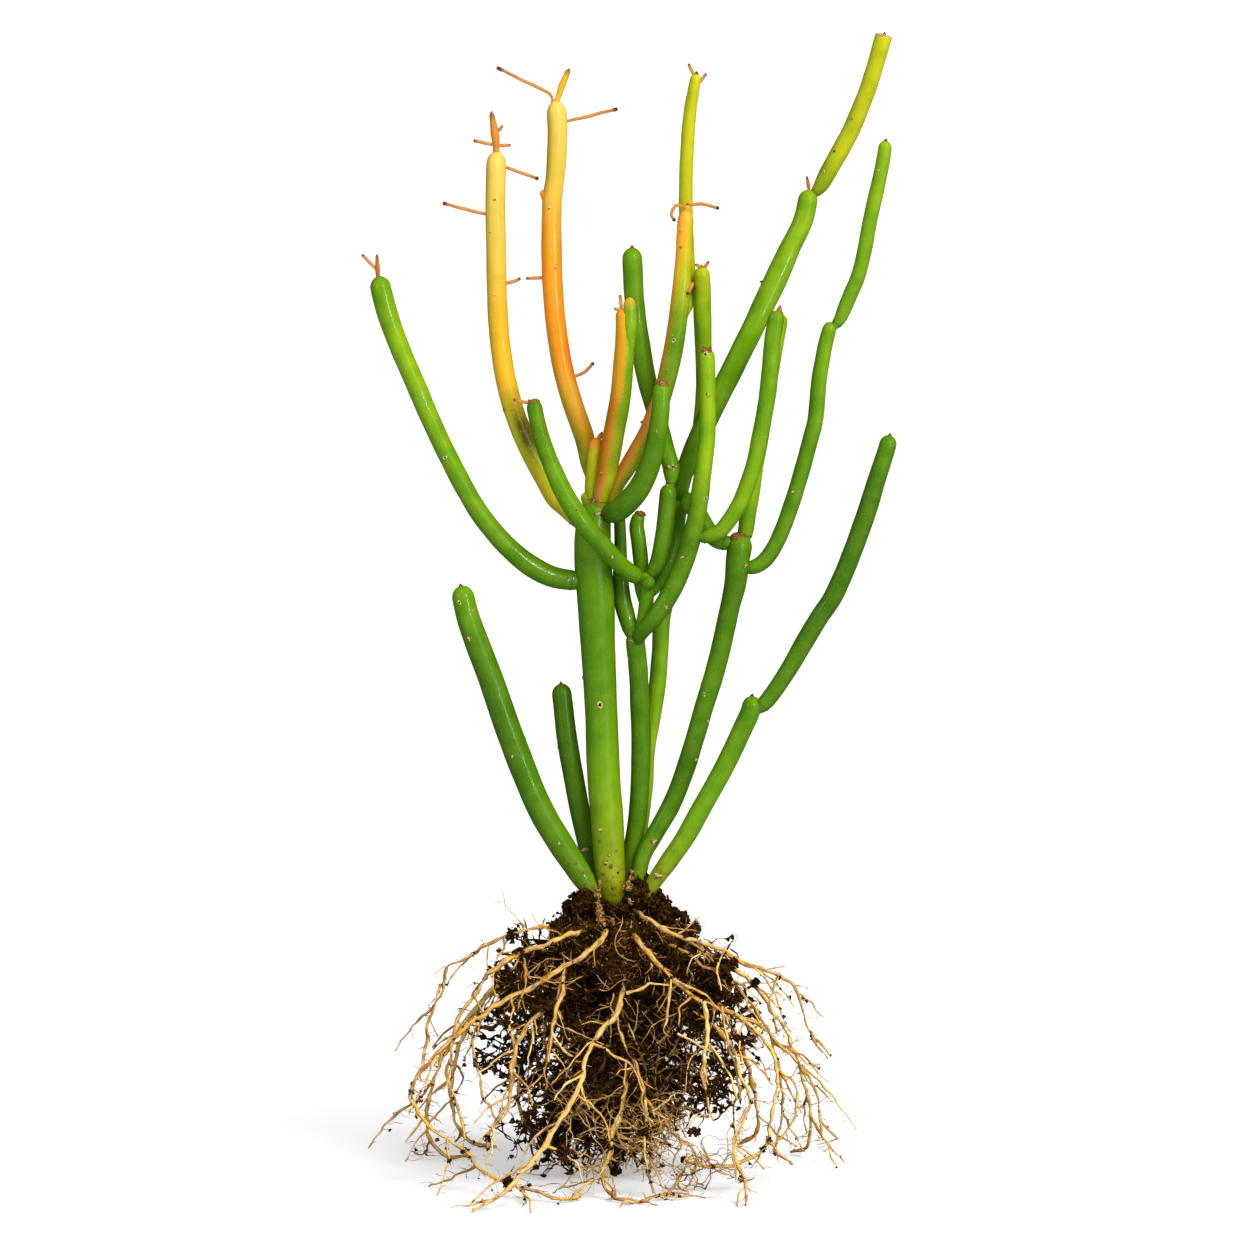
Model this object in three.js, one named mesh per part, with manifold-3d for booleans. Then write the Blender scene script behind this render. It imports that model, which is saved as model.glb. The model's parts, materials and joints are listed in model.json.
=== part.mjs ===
// Bare-root pencil cactus: smooth leafless stems rising from a clod of soil in a spread of roots.
// Millimetres, +Z up, the front towards -Y. The origin is on the floor under the soil's foot.
import * as THREE from "three";
import { mergeVertices } from "three/addons/utils/BufferGeometryUtils.js";
import Module from "manifold-3d";

const wasm = await Module();
wasm.setup();

// Driving dimensions
const SIGHT_ANGLE = THREE.MathUtils.degToRad(8); // the routes' heights are as seen from 8 degrees above
const GAP = 0.3; // clearance between neighbouring solids
const STEM_STEP = 10.5; // distance between rings along a stem
const ROOT_STEP = 11; // distance between rings along a root
const STEM_SIDES = 8;
const TRUNK_SIDES = 10;
const ROOT_SIDES = 5;
const TWIG_SIDES = 4;
const SIDE_ROOT_SIDES = 3;
const SIDE_ROOT_STEP = 20; // one ring at the knee of a side root
const DOME_TURNS = [0.6, 1.15]; // angles of the two rings of a domed end, in radians
const LEAF_RADIUS = 0.45;
const FLOOR_SIZE = 400;
const FLOOR_THICKNESS = 20;

// How side roots leave a main root
const SIDE_ROOT = {
  firstShare: 0.26, // of the main root's length, where they start
  bearingShare: 0.68, // of its length, which bears them
  scatter: 0.6, // of the gap between two
  leastTurn: 0.7, // away from straight outwards, in radians
  moreTurn: 0.9,
  leastLength: 16,
  moreLength: 18,
  leastDroop: 0.5,
  moreDroop: 0.5,
  knee: { along: 0.4, down: 0.35, radius: 0.6, lowest: 0.8 }, // along and down are shares of the length
  tip: { along: 0.2, out: 0.15, down: 0.5, radius: 0.45, lowest: 0.5 },
  radius: 0.75,
};

// Finishes
const FINISHES = {
  stem_green: { color: "#4c8c1e", roughness: 0.42 },
  shoot_green: { color: "#74b82a", roughness: 0.4 },
  shoot_yellow: { color: "#f0bd2c", roughness: 0.42 },
  shoot_orange: { color: "#f0892a", roughness: 0.42 },
  shoot_bronze: { color: "#a98a2c", roughness: 0.42 },
  root: { color: "#b98a45", roughness: 0.75 },
  soil: { color: "#2c1c10", roughness: 0.95 },
};

// Each stem's route: [across, height as seen, depth away from the viewer, radius]
const STEMS = [
  {
    name: "trunk",
    finish: "stem_green",
    sides: TRUNK_SIDES,
    route: [
      [-0.4, 84, 0, 3.2], [-1.1, 97.3, 0, 4], [-1.4, 102.2, 0, 5.1], [-1.8, 107.1, 0, 5.4],
      [-2.8, 125.3, 0, 5.8], [-3.9, 139.3, 0, 5.8], [-5, 166.6, 0, 5.7], [-6.1, 188.3, 0, 6.1],
      [-6.7, 202.3, 0, 6.6], [-7.7, 216.3, 0, 6.5], [-7.7, 226.1, 0, 6.4], [-6.7, 233.8, 0, 5.3],
      [-6, 238.3, 0, 4],
    ],
    twigs: [[[-8.1, 233.1, -0.5, 1.9], [-10.9, 239.8, -0.5, 1.8]]],
  },
  {
    name: "branch_low_left",
    finish: "stem_green",
    route: [
      [-11.5, 208.6, 0, 3.4], [-22.1, 210.4, -1, 3.8], [-29.4, 214.2, -2, 3.8], [-36.4, 219.8, -2.5, 3.6],
      [-43.8, 227.9, -3, 3.5], [-50.1, 237, -3, 3.4], [-58.1, 252, -3.5, 3.3], [-64.4, 265.3, -3.5, 3.4],
      [-70.4, 279.3, -4, 3.4], [-76.3, 293.3, -4, 3.5], [-80.2, 304.9, -4, 3.7], [-82.6, 315, -4, 3.5],
    ],
    twigs: [
      [[-82.6, 313, -4, 1.1], [-83, 322.4, -4, 0.5]],
      [[-83.2, 317.5, -4, 0.6], [-88.2, 322.7, -4, LEAF_RADIUS]],
    ],
  },
  {
    name: "branch_orange",
    finish: "shoot_orange",
    route: [
      [-7, 231, 2.5, 2.6], [-6.8, 238, 5.2, 3], [-6.9, 244.5, 6.6, 3.3], [-8.8, 250.6, 6.8, 3.5],
      [-10.5, 258.3, 7.2, 3.6], [-15.2, 272.3, 8, 3.6], [-17.9, 282.1, 8.5, 3.6], [-20, 293.3, 9, 3.6],
      [-21.5, 307.3, 10, 3.6], [-22.1, 321.3, 11, 3.6], [-21.9, 342.3, 12, 3.5], [-20.9, 350.5, 12, 3.3],
      [-20.1, 366.8, 12, 3.6], [-20.7, 376.6, 12, 3.6],
    ],
    twigs: [
      [[-20.7, 375, 12, 1.4], [-18.6, 381.5, 12, 1.1], [-16.1, 387.5, 12, 0.9]],
      [
        [-22, 374, 12, 0.7], [-22.3, 378.2, 12, 0.5], [-31.5, 383.3, 12, LEAF_RADIUS],
        [-41.3, 388.2, 12, LEAF_RADIUS],
      ],
      [[-18.5, 369, 12, 0.6], [-7.4, 371.7, 12, LEAF_RADIUS], [1, 373.8, 12, LEAF_RADIUS]],
      [[-23, 340.5, 12, 1.6], [-25.6, 345.5, 12, 1.2]],
      [[-23.9, 315, 11, 0.6], [-31.2, 314.7, 11, LEAF_RADIUS]],
      [[-15.5, 279.9, 8, 0.6], [-10.5, 282.1, 8, LEAF_RADIUS], [-7.4, 285.3, 8, LEAF_RADIUS]],
    ],
  },
  {
    name: "branch_yellow",
    finish: "shoot_yellow",
    route: [
      [-11, 228, 0, 2.8], [-17.2, 234.5, 1.5, 3.4], [-21, 238.4, 3, 3.6], [-24.2, 244.3, 4, 3.6],
      [-29.8, 254.8, 5, 3.6], [-34.3, 265.3, 6, 3.6], [-38.2, 279.3, 7, 3.6], [-40.3, 293.3, 8, 3.5],
      [-41.2, 307.3, 8, 3.5], [-41.5, 321.3, 8, 3.5], [-41.8, 342.3, 8, 3.5], [-41.3, 359.1, 8, 3.5],
    ],
    twigs: [
      [[-41.3, 357, 8, 1.6], [-41.7, 363.3, 8, 1.5], [-43.1, 372.4, 8, 0.8]],
      [[-41.5, 361, 8, 0.6], [-49.4, 362.6, 8, LEAF_RADIUS]],
      [[-41, 360.9, 8, 0.6], [-36.4, 360.9, 8, LEAF_RADIUS]],
      [[-43.5, 336.6, 8, 0.6], [-52.5, 338.8, 8, LEAF_RADIUS], [-60.2, 340.9, 8, LEAF_RADIUS]],
      [[-40, 354, 8, 0.6], [-31.5, 351, 8, LEAF_RADIUS], [-26.6, 349.2, 7, LEAF_RADIUS]],
      [[-40, 312.5, 8, 0.6], [-35.4, 313.6, 8, LEAF_RADIUS], [-32.9, 314.7, 8, LEAF_RADIUS]],
    ],
  },
  {
    name: "branch_edged",
    finish: "shoot_orange",
    route: [
      [-3, 234, 1.5, 1.8], [0.7, 242.6, 1.2, 2.8], [3.9, 247.8, 0.5, 3], [7.7, 254.1, 0, 3.1],
      [11.6, 261.1, 0, 3.2], [14, 267.1, 0, 3.3], [16.1, 272.3, 0, 3.3], [19.7, 286.3, 0, 3.4],
      [22.2, 302.1, 0, 3.4], [23.9, 319.6, 1, 3], [24.5, 331.8, 1, 2.9], [24.9, 338.5, 1, 2.7],
    ],
    twigs: [
      [[24.9, 337, 1, 1.2], [25.4, 340.3, 0.5, 0.9]],
      [[25, 339.6, 0.5, 0.6], [30, 340.4, 0.3, LEAF_RADIUS], [36.4, 338.8, 0, LEAF_RADIUS]],
      [
        [24.6, 339.2, 0.3, 0.6], [21.4, 339.9, -0.5, LEAF_RADIUS], [19.6, 336.7, -1, LEAF_RADIUS],
        [21, 334.3, -3, LEAF_RADIUS],
      ],
    ],
  },
  {
    name: "shoot_short",
    finish: "shoot_green",
    route: [[-8.1, 234, -0.3, 2], [-8.1, 240.8, -0.4, 2.6], [-7.4, 249.6, 0, 2.7], [-6.3, 259, 0, 2.6]],
    twigs: [[[-6.3, 257.5, 0, 1.1], [-4.6, 260.7, 0, 0.6]]],
  },
  {
    name: "branch_bronze",
    finish: "shoot_bronze",
    route: [
      [-5.2, 232.5, -1.5, 1.8], [-4.7, 239.1, -3.2, 2.8], [-3.2, 244.3, -4.2, 3.4],
      [-2.1, 250.6, -4.8, 3.6], [-0.8, 258.3, -5.2, 3.7], [1.8, 272.3, -6, 3.7],
      [2.8, 282.8, -7, 3.6], [3.3, 293.3, -7.5, 3.3],
      [2.3, 303.8, -8, 2.1],
    ],
    twigs: [
      [[4.2, 286, -8, 2.2], [5.1, 298.6, -8.3, 2.5], [5.1, 307.7, -8.3, 2]],
      [[2.2, 302.5, -8, 0.6], [1.9, 308.5, -8, LEAF_RADIUS]],
    ],
  },
  {
    name: "branch_front",
    finish: "stem_green",
    route: [
      [-3.5, 232, -3, 3.4], [0.4, 233.1, -5.8, 4], [5.3, 237.3, -8.2, 4.1], [8.8, 241.9, -9.2, 4],
      [12.3, 249.6, -10, 3.7], [14.4, 258.3, -11, 3.4], [15.8, 267.1, -11, 3.2], [16.3, 278.3, -10.5, 2.9],
    ],
  },
  {
    name: "stem_second",
    finish: "stem_green",
    route: [
      [3.5, 88, 6.6, 2.8], [4.9, 104, 6.4, 3.1], [5.6, 113.4, 6.2, 3.1], [7.7, 125.3, 5, 3.2],
      [8.6, 135.8, 4.5, 3.3], [9.1, 151.9, 4, 3.5], [8.6, 168, 3, 3.4], [8.1, 177.8, 2, 3.4],
      [7.1, 188.3, 0.5, 3.4], [6.9, 191.2, 0.2, 3.2],
    ],
  },
  {
    name: "twig_left",
    finish: "stem_green",
    route: [
      [6.4, 188.6, 0.6, 2.5], [4.4, 195.3, 2.2, 3.1], [2.6, 202.3, 4.3, 3.2], [1.9, 212.8, 5, 2.6],
      [1.9, 221.6, 5, 2.2], [1.6, 232.5, 4.6, 2],
    ],
  },
  {
    name: "branch_knuckle",
    finish: "stem_green",
    route: [[8, 188.5, 0, 1.8], [10.3, 197.6, -0.5, 2.5], [11, 203, -0.5, 2.6], [11.5, 212.3, -0.5, 2.6]],
  },
  {
    name: "branch_crossing",
    finish: "shoot_green",
    route: [
      [10.5, 209.6, -0.9, 2.6], [7.7, 210.4, -1.8, 3], [3.5, 213.2, -3.8, 3.1], [0, 216.5, -6.8, 3.1],
      [-3.2, 220.2, -9.4, 3.1], [-9.5, 227.2, -12, 3.4], [-13.7, 232.9, -13, 3.4], [-16.8, 237.7, -13, 3.3],
      [-20, 244.3, -13, 3.2], [-24.3, 254.8, -12.5, 2.9], [-27.3, 265.3, -12, 2.8], [-28.5, 272, -11, 2.7],
    ],
    twigs: [[[-29, 270.8, -11, 0.6], [-35.4, 272, -11, LEAF_RADIUS]]],
  },
  {
    name: "twig_upright",
    finish: "stem_green",
    route: [
      [10.4, 200, 1, 1.7], [8.7, 207.5, 4, 2.1], [9.1, 214.6, 5, 2.7], [8.2, 223.3, 5, 2.7],
      [7.6, 229, 5, 2.7], [9, 233, 4.6, 2],
    ],
  },
  {
    name: "branch_post",
    finish: "stem_green",
    end: "flat",
    route: [
      [11.6, 209.6, -0.6, 2.2], [14.9, 215.1, -0.5, 3], [16.2, 219.8, -0.5, 3.1], [17.4, 227.2, -0.5, 3.1],
      [18.2, 234.5, -0.5, 3.1], [18.8, 242.8, -1, 3.1],
    ],
  },
  {
    name: "branch_dark_tip",
    finish: "stem_green",
    route: [
      [19.4, 243.2, -1, 2.4], [19.7, 247.8, -0.8, 3.2], [18.6, 252.4, 1, 3], [16.1, 261.1, 5.4, 3.1],
      [14.6, 266.8, 7.4, 3.2], [13, 272.3, 8.7, 3.3], [11, 280, 9.8, 3.4], [9.1, 289.8, 11, 3.5],
      [7.5, 300.3, 12, 3.5], [6.5, 310.8, 12, 3.5], [6.1, 320.6, 12, 3.5], [6, 325.5, 12, 3.4],
    ],
  },
  {
    name: "branch_link_back",
    finish: "stem_green",
    route: [
      [11.2, 203.5, 0.8, 1.9], [14, 206.8, 3.4, 2.2], [16.5, 211.4, 5.2, 2.5], [18.2, 214.6, 7, 2.6],
      [20.7, 223.3, 8.6, 2.8], [22.1, 231.7, 9.2, 2.8], [23, 238, 9.4, 2.7],
    ],
  },
  {
    name: "branch_arching",
    finish: "stem_green",
    route: [
      [23, 236.5, 9.4, 2.2], [23.8, 245, 8.2, 3.1], [26.3, 252, 6.8, 3.5], [29.8, 260.1, 6, 3.7],
      [35, 270.9, 7, 3.8], [39.6, 280, 8.5, 3.9], [44.5, 290, 10.5, 3.9], [48, 296.8, 12, 3.9],
      [51.8, 305.2, 14, 4], [56.4, 314.7, 16, 4.1], [61.3, 325.5, 18, 3.7], [65.8, 335, 19, 3.5],
      [68.2, 345.8, 20, 3.4],
    ],
    twigs: [
      [[54, 313, 15.5, 1.5], [51.2, 313.6, 15.5, 0.9]],
      [[68.1, 344.5, 20, 0.8], [67.2, 350.2, 20, LEAF_RADIUS]],
    ],
  },
  {
    name: "branch_top",
    finish: "shoot_green",
    end: "flat",
    route: [
      [69.5, 344.2, 20, 2.2], [71.8, 346.9, 20, 2.6], [74.6, 352.1, 20, 3.1], [77, 356.3, 20, 3.1],
      [81.6, 364.7, 20, 3.1], [85.4, 373.2, 20, 3], [88.6, 381.5, 20, 3], [91.7, 391.7, 20, 3],
      [94, 399.7, 20, 3],
    ],
  },
  {
    name: "branch_leaning",
    finish: "shoot_green",
    route: [
      [7.6, 187.5, -0.8, 2.3], [9.1, 190.6, -3.4, 2.6], [13, 195.3, -5.6, 3.1], [16.5, 199.9, -6, 3.2],
      [20, 205.8, -6, 3.3], [23.1, 212.8, -6, 3.3], [25.6, 219.8, -6.2, 3.4], [28.4, 230.3, -7, 3.3],
      [29.4, 237.3, -7.2, 3.2], [30.4, 244.3, -7.5, 3.1], [31.3, 251.3, -8, 3], [32.1, 258.3, -8, 2.9],
      [32.3, 272.3, -8, 2.9], [32.2, 284.6, -8, 2.8], [31.9, 289.8, -8, 2.7],
    ],
  },
  {
    name: "branch_red_bud",
    finish: "shoot_green",
    route: [
      [28.6, 224.2, -6.8, 2.2], [32.2, 224.4, -7, 2.6], [36.1, 225.8, -7.2, 2.8], [39.6, 229.6, -7.6, 2.8],
      [43.4, 235.9, -8, 2.8], [46.2, 242.6, -8.5, 2.8], [48.7, 250.6, -9, 2.8], [50.4, 258.3, -9, 2.9],
      [53, 272.3, -9.5, 3], [54.1, 282.8, -10, 3], [55, 293.3, -10, 2.9], [56.7, 303.1, -10, 2.8],
    ],
    twigs: [[[56.8, 301.5, -10, 1.1], [57.6, 304.6, -10, 0.7]]],
  },
  {
    name: "stem_third",
    finish: "stem_green",
    route: [
      [7, 90, 11.5, 2.2], [7.6, 103, 11.4, 2.3], [8.3, 114.8, 11.4, 2.4], [9.5, 125.3, 11.4, 2.5],
      [11, 139.3, 11.4, 2.6], [11.2, 147.7, 11.2, 2.7], [13, 159.6, 11, 2.8], [14.7, 171.3, 11, 3],
      [15.8, 184.1, 11, 3], [16.6, 197.1, 11.5, 3], [18.9, 205.1, 12.8, 3], [21.7, 211.1, 13.4, 3],
      [24.9, 218.1, 13.6, 3], [27.7, 226.8, 13.6, 3], [28.4, 232, 13.6, 2.7],
    ],
  },
  {
    name: "branch_behind",
    finish: "stem_green",
    route: [
      [28.6, 229.5, 13.6, 2], [29.8, 235.6, 13.8, 2.8], [30.5, 244.3, 13.8, 3], [30.1, 253.1, 13.8, 3.1],
      [30.1, 261.8, 13.8, 3.1], [31, 272.3, 13, 3], [31.2, 282.8, 9.5, 3], [30.8, 293.3, 6.8, 3],
      [30.5, 303.8, 3.8, 3.2], [30.5, 311.9, 2, 3], [30.1, 318.5, 1, 2.8],
    ],
    twigs: [[[30.3, 317, 1, 0.7], [32.9, 320.5, 0.5, LEAF_RADIUS]]],
  },
  {
    name: "shoot_thin",
    finish: "shoot_green",
    route: [
      [24.6, 302, 1.5, 1.7], [25.5, 305.8, 3.8, 2.1], [26, 311.5, 6, 2.3], [25.7, 318.5, 7, 2.4],
      [25.2, 326.6, 7, 2.4], [24.7, 340.6, 6.2, 2.4], [25, 356.3, 4, 2.4], [26.3, 373.5, 3, 2.2],
      [27.7, 381.5, 2, 2], [28.4, 385.7, 2, 1.7],
    ],
    twigs: [
      [[28, 384, 2, 0.6], [25.6, 389.2, 2, LEAF_RADIUS]],
      [[28.4, 381.5, 2, 0.6], [31.9, 385.7, 2, LEAF_RADIUS]],
    ],
  },
  {
    name: "stem_fourth",
    finish: "stem_green",
    route: [
      [7.2, 93, 1.2, 2.6], [9.8, 112, 1.4, 2.7], [13.9, 119.9, 3, 3.1], [19.8, 130.6, 4, 3.3],
      [24.1, 141.4, 4.2, 3.3], [27.5, 152, 4, 3.3], [31.2, 164.9, 3.5, 3.4], [34.6, 175.7, 3, 3.5],
      [37.3, 186.3, 2, 3.5], [40.3, 200.2, 1, 3.5], [42, 207.6, 0.5, 3.9], [42.9, 216.3, 0, 4.2],
      [43.6, 221.6, 0, 4.5], [43.5, 225.4, 0, 4],
    ],
  },
  {
    name: "branch_link_left",
    finish: "shoot_green",
    route: [
      [42, 222, 0.2, 2.5], [37.2, 222.6, 0.8, 3], [35, 223.7, 1, 3], [32.6, 226.5, 1.2, 3.1],
      [29.8, 231, 1.5, 3.2], [26.3, 236.3, 2, 3.3], [23.9, 239.2, 2, 3],
    ],
  },
  {
    name: "branch_slim",
    finish: "shoot_green",
    route: [
      [44.2, 221.5, 1.2, 2.4], [45.7, 226.4, 1.2, 2.8], [46.6, 233.8, 1.2, 3], [48, 241.5, 0.7, 2.9],
      [49.4, 250.3, 0, 2.7], [51.5, 262.2, -1, 2.8], [53.6, 275.8, -1.5, 2.8], [56, 291.2, -2, 2.8],
      [58.1, 302.1, -2, 2.7],
    ],
  },
  {
    name: "branch_right",
    finish: "stem_green",
    route: [
      [44.5, 213.2, 0, 2.2], [48.7, 213.9, 0, 2.6], [52.2, 216, 0, 2.8], [55.3, 220.2, 0, 2.8],
      [58.1, 225.8, 0, 2.8], [60.9, 233.1, 0, 2.8], [63.7, 241.9, 0, 2.8], [66.4, 251.3, 0, 2.8],
      [68.3, 258.3, 0, 2.8], [70, 265.3, 0, 2.8], [71.3, 279.3, 0, 2.8], [72.5, 286.3, 0, 2.7],
      [73.9, 293.3, 0, 2.6], [75.6, 299.3, 0, 2.4],
    ],
  },
  {
    name: "branch_right_tip",
    finish: "shoot_green",
    route: [
      [75.6, 297, 0, 1.7], [78.1, 299.6, 0, 2.1], [79.8, 303.1, 0, 2.6], [82.3, 309.1, 0, 2.6],
      [84.7, 314.7, 0, 2.6], [87.2, 324.8, 0, 2.6], [88.9, 334.3, 0, 2.6], [90.7, 342.3, 0, 2.6],
      [92.4, 350, 0, 2.5], [93.8, 357.4, 0, 2.4], [94.4, 362.3, 0, 2.2],
    ],
  },
  {
    name: "stem_right",
    finish: "stem_green",
    route: [
      [7.4, 91, -3.4, 2.4], [13.7, 103.3, -3, 2.8], [18.6, 110.3, -3, 3.3], [24.4, 118.8, -3, 3.5],
      [29.2, 127.4, -3, 3.5], [34.6, 137, -3, 3.5], [39.4, 146.1, -3, 3.5], [44.8, 157.5, -3, 3.5],
      [47.6, 163.8, -3, 3.5], [48, 168.7, -3, 3.3],
    ],
  },
  {
    name: "branch_far_right",
    finish: "stem_green",
    route: [
      [48.6, 163.4, -3, 2.1], [51.8, 165.6, -3, 2.8], [56, 170.8, -3.5, 3], [60.9, 178.2, -4, 3.1],
      [66.5, 188, -4.5, 3.3], [71.8, 196.7, -5, 3.3], [75.6, 202.3, -5, 3.4], [79.8, 211.1, -5, 3.4],
      [83, 219.1, -5, 3.4], [85.8, 226.8, -5, 3.4], [88.4, 234.2, -5, 3.4], [92.1, 246.4, -5, 3.2],
      [95, 255.5, -5, 3.1], [95.9, 259.7, -5, 3],
    ],
  },
  {
    name: "stem_left",
    finish: "stem_green",
    sides: TRUNK_SIDES,
    route: [
      [-7.4, 91, -3.2, 2.6], [-9.2, 100.8, -3.4, 3.2], [-12.1, 106.1, -3.2, 4.2], [-18.9, 116.6, -3, 4.5],
      [-25.9, 128.5, -3, 4.6], [-32.3, 143.5, -3, 4.6], [-37.6, 157.5, -3, 4.6], [-43.1, 173.6, -3, 4.5],
      [-48.3, 187.3, -3, 4.4], [-51.7, 197.1, -3, 4.1], [-53.9, 207.2, -3, 3.9],
    ],
  },
  {
    name: "stem_small",
    finish: "stem_green",
    route: [
      [-6.6, 91, 8.4, 2.6], [-8.8, 110.6, 8.4, 3.2], [-11.7, 125.3, 8.2, 3.5], [-14.4, 139.3, 8, 3.6],
      [-16.9, 154.2, 8, 3.6], [-19, 172.9, 8, 3.4],
    ],
  },
];

// Each root's route, given as the stems' routes are; forks and spurs are fused to the root they leave
const ROOTS = [
  {
    name: "root_left_outer",
    seed: 11,
    twigs: 7,
    routes: [
      [
        [-2, 88, -16, 1.6], [-5.3, 83, -28, 1.7], [-12.6, 77, -31, 1.7], [-24.5, 69.7, -33, 1.7],
        [-37.2, 63.1, -33, 1.6], [-50.1, 54.6, -33, 1.5], [-59.9, 46, -31, 1.4], [-66.2, 39.6, -29, 1.3],
        [-71.1, 31.5, -27, 1.2], [-70.5, 25.6, -27, 1.1], [-65.1, 18.2, -28, 1.1], [-57.6, 12.7, -30, 1.1],
        [-52.3, 9.5, -32, 1.1], [-46.9, 3.2, -37, 1.1], [-39.4, -0.7, -42, 1], [-28.7, -3.6, -49, 1],
        [-18, -6.8, -54, 0.9], [-11.6, -5.5, -49, 0.8],
      ],
      [
        [-17, 74.4, -31.5, 1], [-20.1, 63.1, -33, 0.9], [-21.7, 53.6, -35, 0.8],
        [-23.9, 42.7, -37, 0.7], [-24.2, 31, -38, 0.6],
      ],
    ],
  },
  {
    name: "root_left_middle",
    seed: 23,
    twigs: 6,
    routes: [
      [
        [-9, 87, -13, 1.4], [-18, 84.5, -24, 1.5], [-28.7, 80.2, -24, 1.5], [-41.7, 73.9, -22, 1.4],
        [-45.9, 68.6, -21, 1.3], [-51.2, 60.9, -20, 1.3], [-55.5, 53.6, -19.5, 1.2], [-57.8, 42.7, -20, 1.1],
        [-57.8, 34.3, -21, 1.1], [-54.4, 23.5, -24, 1], [-52.6, 13.5, -28, 0.9],
      ],
    ],
  },
  {
    name: "root_left_high",
    seed: 37,
    twigs: 5,
    routes: [
      [
        [-16, 88, -3, 1.1], [-29.8, 86.8, -8, 1.1], [-39.6, 84, -8, 1], [-46.9, 80.2, -7, 1],
        [-53.3, 76, -6, 0.9], [-58.8, 73.5, -5, 0.9], [-60.9, 65.2, -4, 0.8], [-63.5, 58.9, -3, 0.8],
        [-66.2, 50.5, -3, 0.8], [-67.2, 38, -3, 0.6],
      ],
    ],
  },
  {
    name: "root_front",
    seed: 41,
    twigs: 8,
    routes: [
      [
        [3, 69, -22, 1.6], [2.4, 63.1, -31, 1.7], [-0.4, 56.7, -34, 1.8], [-6.3, 50.2, -37, 1.7],
        [-10.5, 41.7, -41, 1.6], [-12.1, 33.3, -45, 1.6], [-15.8, 26.7, -49, 1.6], [-21.2, 17.2, -54, 1.7],
        [-26.6, 9.5, -58, 1.6], [-33, 2.1, -62, 1.4], [-37.2, -2.8, -65, 1.3], [-44.8, -7.6, -70, 1.2],
        [-49.6, -9.7, -75, 1],
      ],
      [
        [0.6, 59, -33, 1], [2.4, 48.1, -36, 0.9], [6.7, 41.7, -38, 0.9], [8.8, 36.4, -40, 0.8],
        [9.8, 25.6, -43, 0.8], [11.9, 15, -46, 0.6],
      ],
      [[-12, 34, -44.5, 0.9], [-8.9, 24.5, -47, 0.7]],
    ],
  },
  {
    name: "root_front_left",
    seed: 53,
    twigs: 5,
    routes: [
      [
        [-16, 62, -22, 1.3], [-26, 58, -32, 1.3], [-33, 50, -37, 1.3], [-35.7, 41.3, -39, 1.3],
        [-35.7, 33.3, -40, 1.3], [-37.8, 25.9, -41, 1.2], [-43.4, 17.5, -42, 1], [-44.5, 10.6, -44, 0.9],
      ],
    ],
  },
  {
    name: "root_right_outer",
    seed: 67,
    twigs: 8,
    routes: [
      [
        [4, 89, -15, 1.4], [8.8, 82.4, -28, 1.5], [14.2, 76, -31, 1.5], [20.6, 69.7, -32, 1.5],
        [29.1, 63.1, -31, 1.4], [38.8, 58.8, -29, 1.3], [48.3, 54.6, -27, 1.2], [56, 48.1, -25, 1],
        [62.3, 42.7, -24, 0.9], [67.7, 36.4, -23, 0.8], [70.9, 27.7, -23, 0.7], [72.5, 19.7, -24, 0.7],
        [78.4, 13.3, -26, 0.6],
      ],
      [
        [43, 57, -28, 1.2], [51.5, 48.5, -29, 1.2], [56.4, 40.6, -30, 1.2], [56.4, 29.9, -31, 1.1],
        [54.9, 20.3, -31, 1.1], [53.8, 13.8, -31, 1.1], [48.3, 7.4, -31, 1.1], [38.8, 4.2, -31, 1.1],
        [31.2, 4.2, -31, 1.1], [23.8, 6.9, -32, 1],
      ],
      [
        [30.5, 62, -31, 1], [32.4, 53.6, -34, 0.9], [30.8, 42.7, -36, 0.9],
        [31.3, 32, -38, 0.8], [34.3, 20.3, -40, 0.7],
      ],
      [[32.2, 48, -35, 0.8], [38.9, 39.6, -37, 0.7], [42.7, 27.7, -40, 0.6]],
      [[53.6, 12.8, -31, 0.9], [57, 9, -36, 0.8], [62.3, 5.3, -42, 0.7]],
    ],
  },
  {
    name: "root_right_spur",
    seed: 71,
    twigs: 4,
    routes: [
      [
        [24, 60, -20, 1.2], [34, 54, -27, 1.2], [40, 47.5, -31.5, 1.2], [43.8, 37, -35.5, 1.2],
        [47, 27, -38, 1.1], [44.4, 18.9, -39.5, 1.1], [42.2, 11.6, -40.5, 1.1], [42.7, 5.6, -42, 1.1],
        [45.2, 1, -48, 1], [45.9, -8.2, -63, 1],
      ],
    ],
  },
  {
    name: "root_right_high",
    seed: 83,
    twigs: 6,
    routes: [
      [
        [6, 94, -8, 1.3], [10.4, 91.5, -17, 1.4], [18.4, 86.1, -23, 1.5], [27, 83.4, -25, 1.5],
        [36.7, 80.2, -24, 1.4], [46.2, 75.4, -21, 1.3], [57.1, 71.1, -18, 1.1], [61.3, 68.5, -17, 1],
        [64.4, 63.1, -16, 0.9], [66.2, 56.7, -15, 0.8], [68.8, 50.2, -15, 0.7], [72, 47, -15, 0.7],
        [75.3, 42.7, -15, 0.6],
      ],
      [
        [46.6, 75.2, -20.5, 0.8], [52.9, 69.7, -21, 0.7], [56, 64.1, -21, 0.7],
        [58.1, 57.8, -20, 0.6], [61.3, 51.5, -19, 0.6],
      ],
    ],
  },
  {
    name: "root_right_middle",
    seed: 97,
    twigs: 5,
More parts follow.
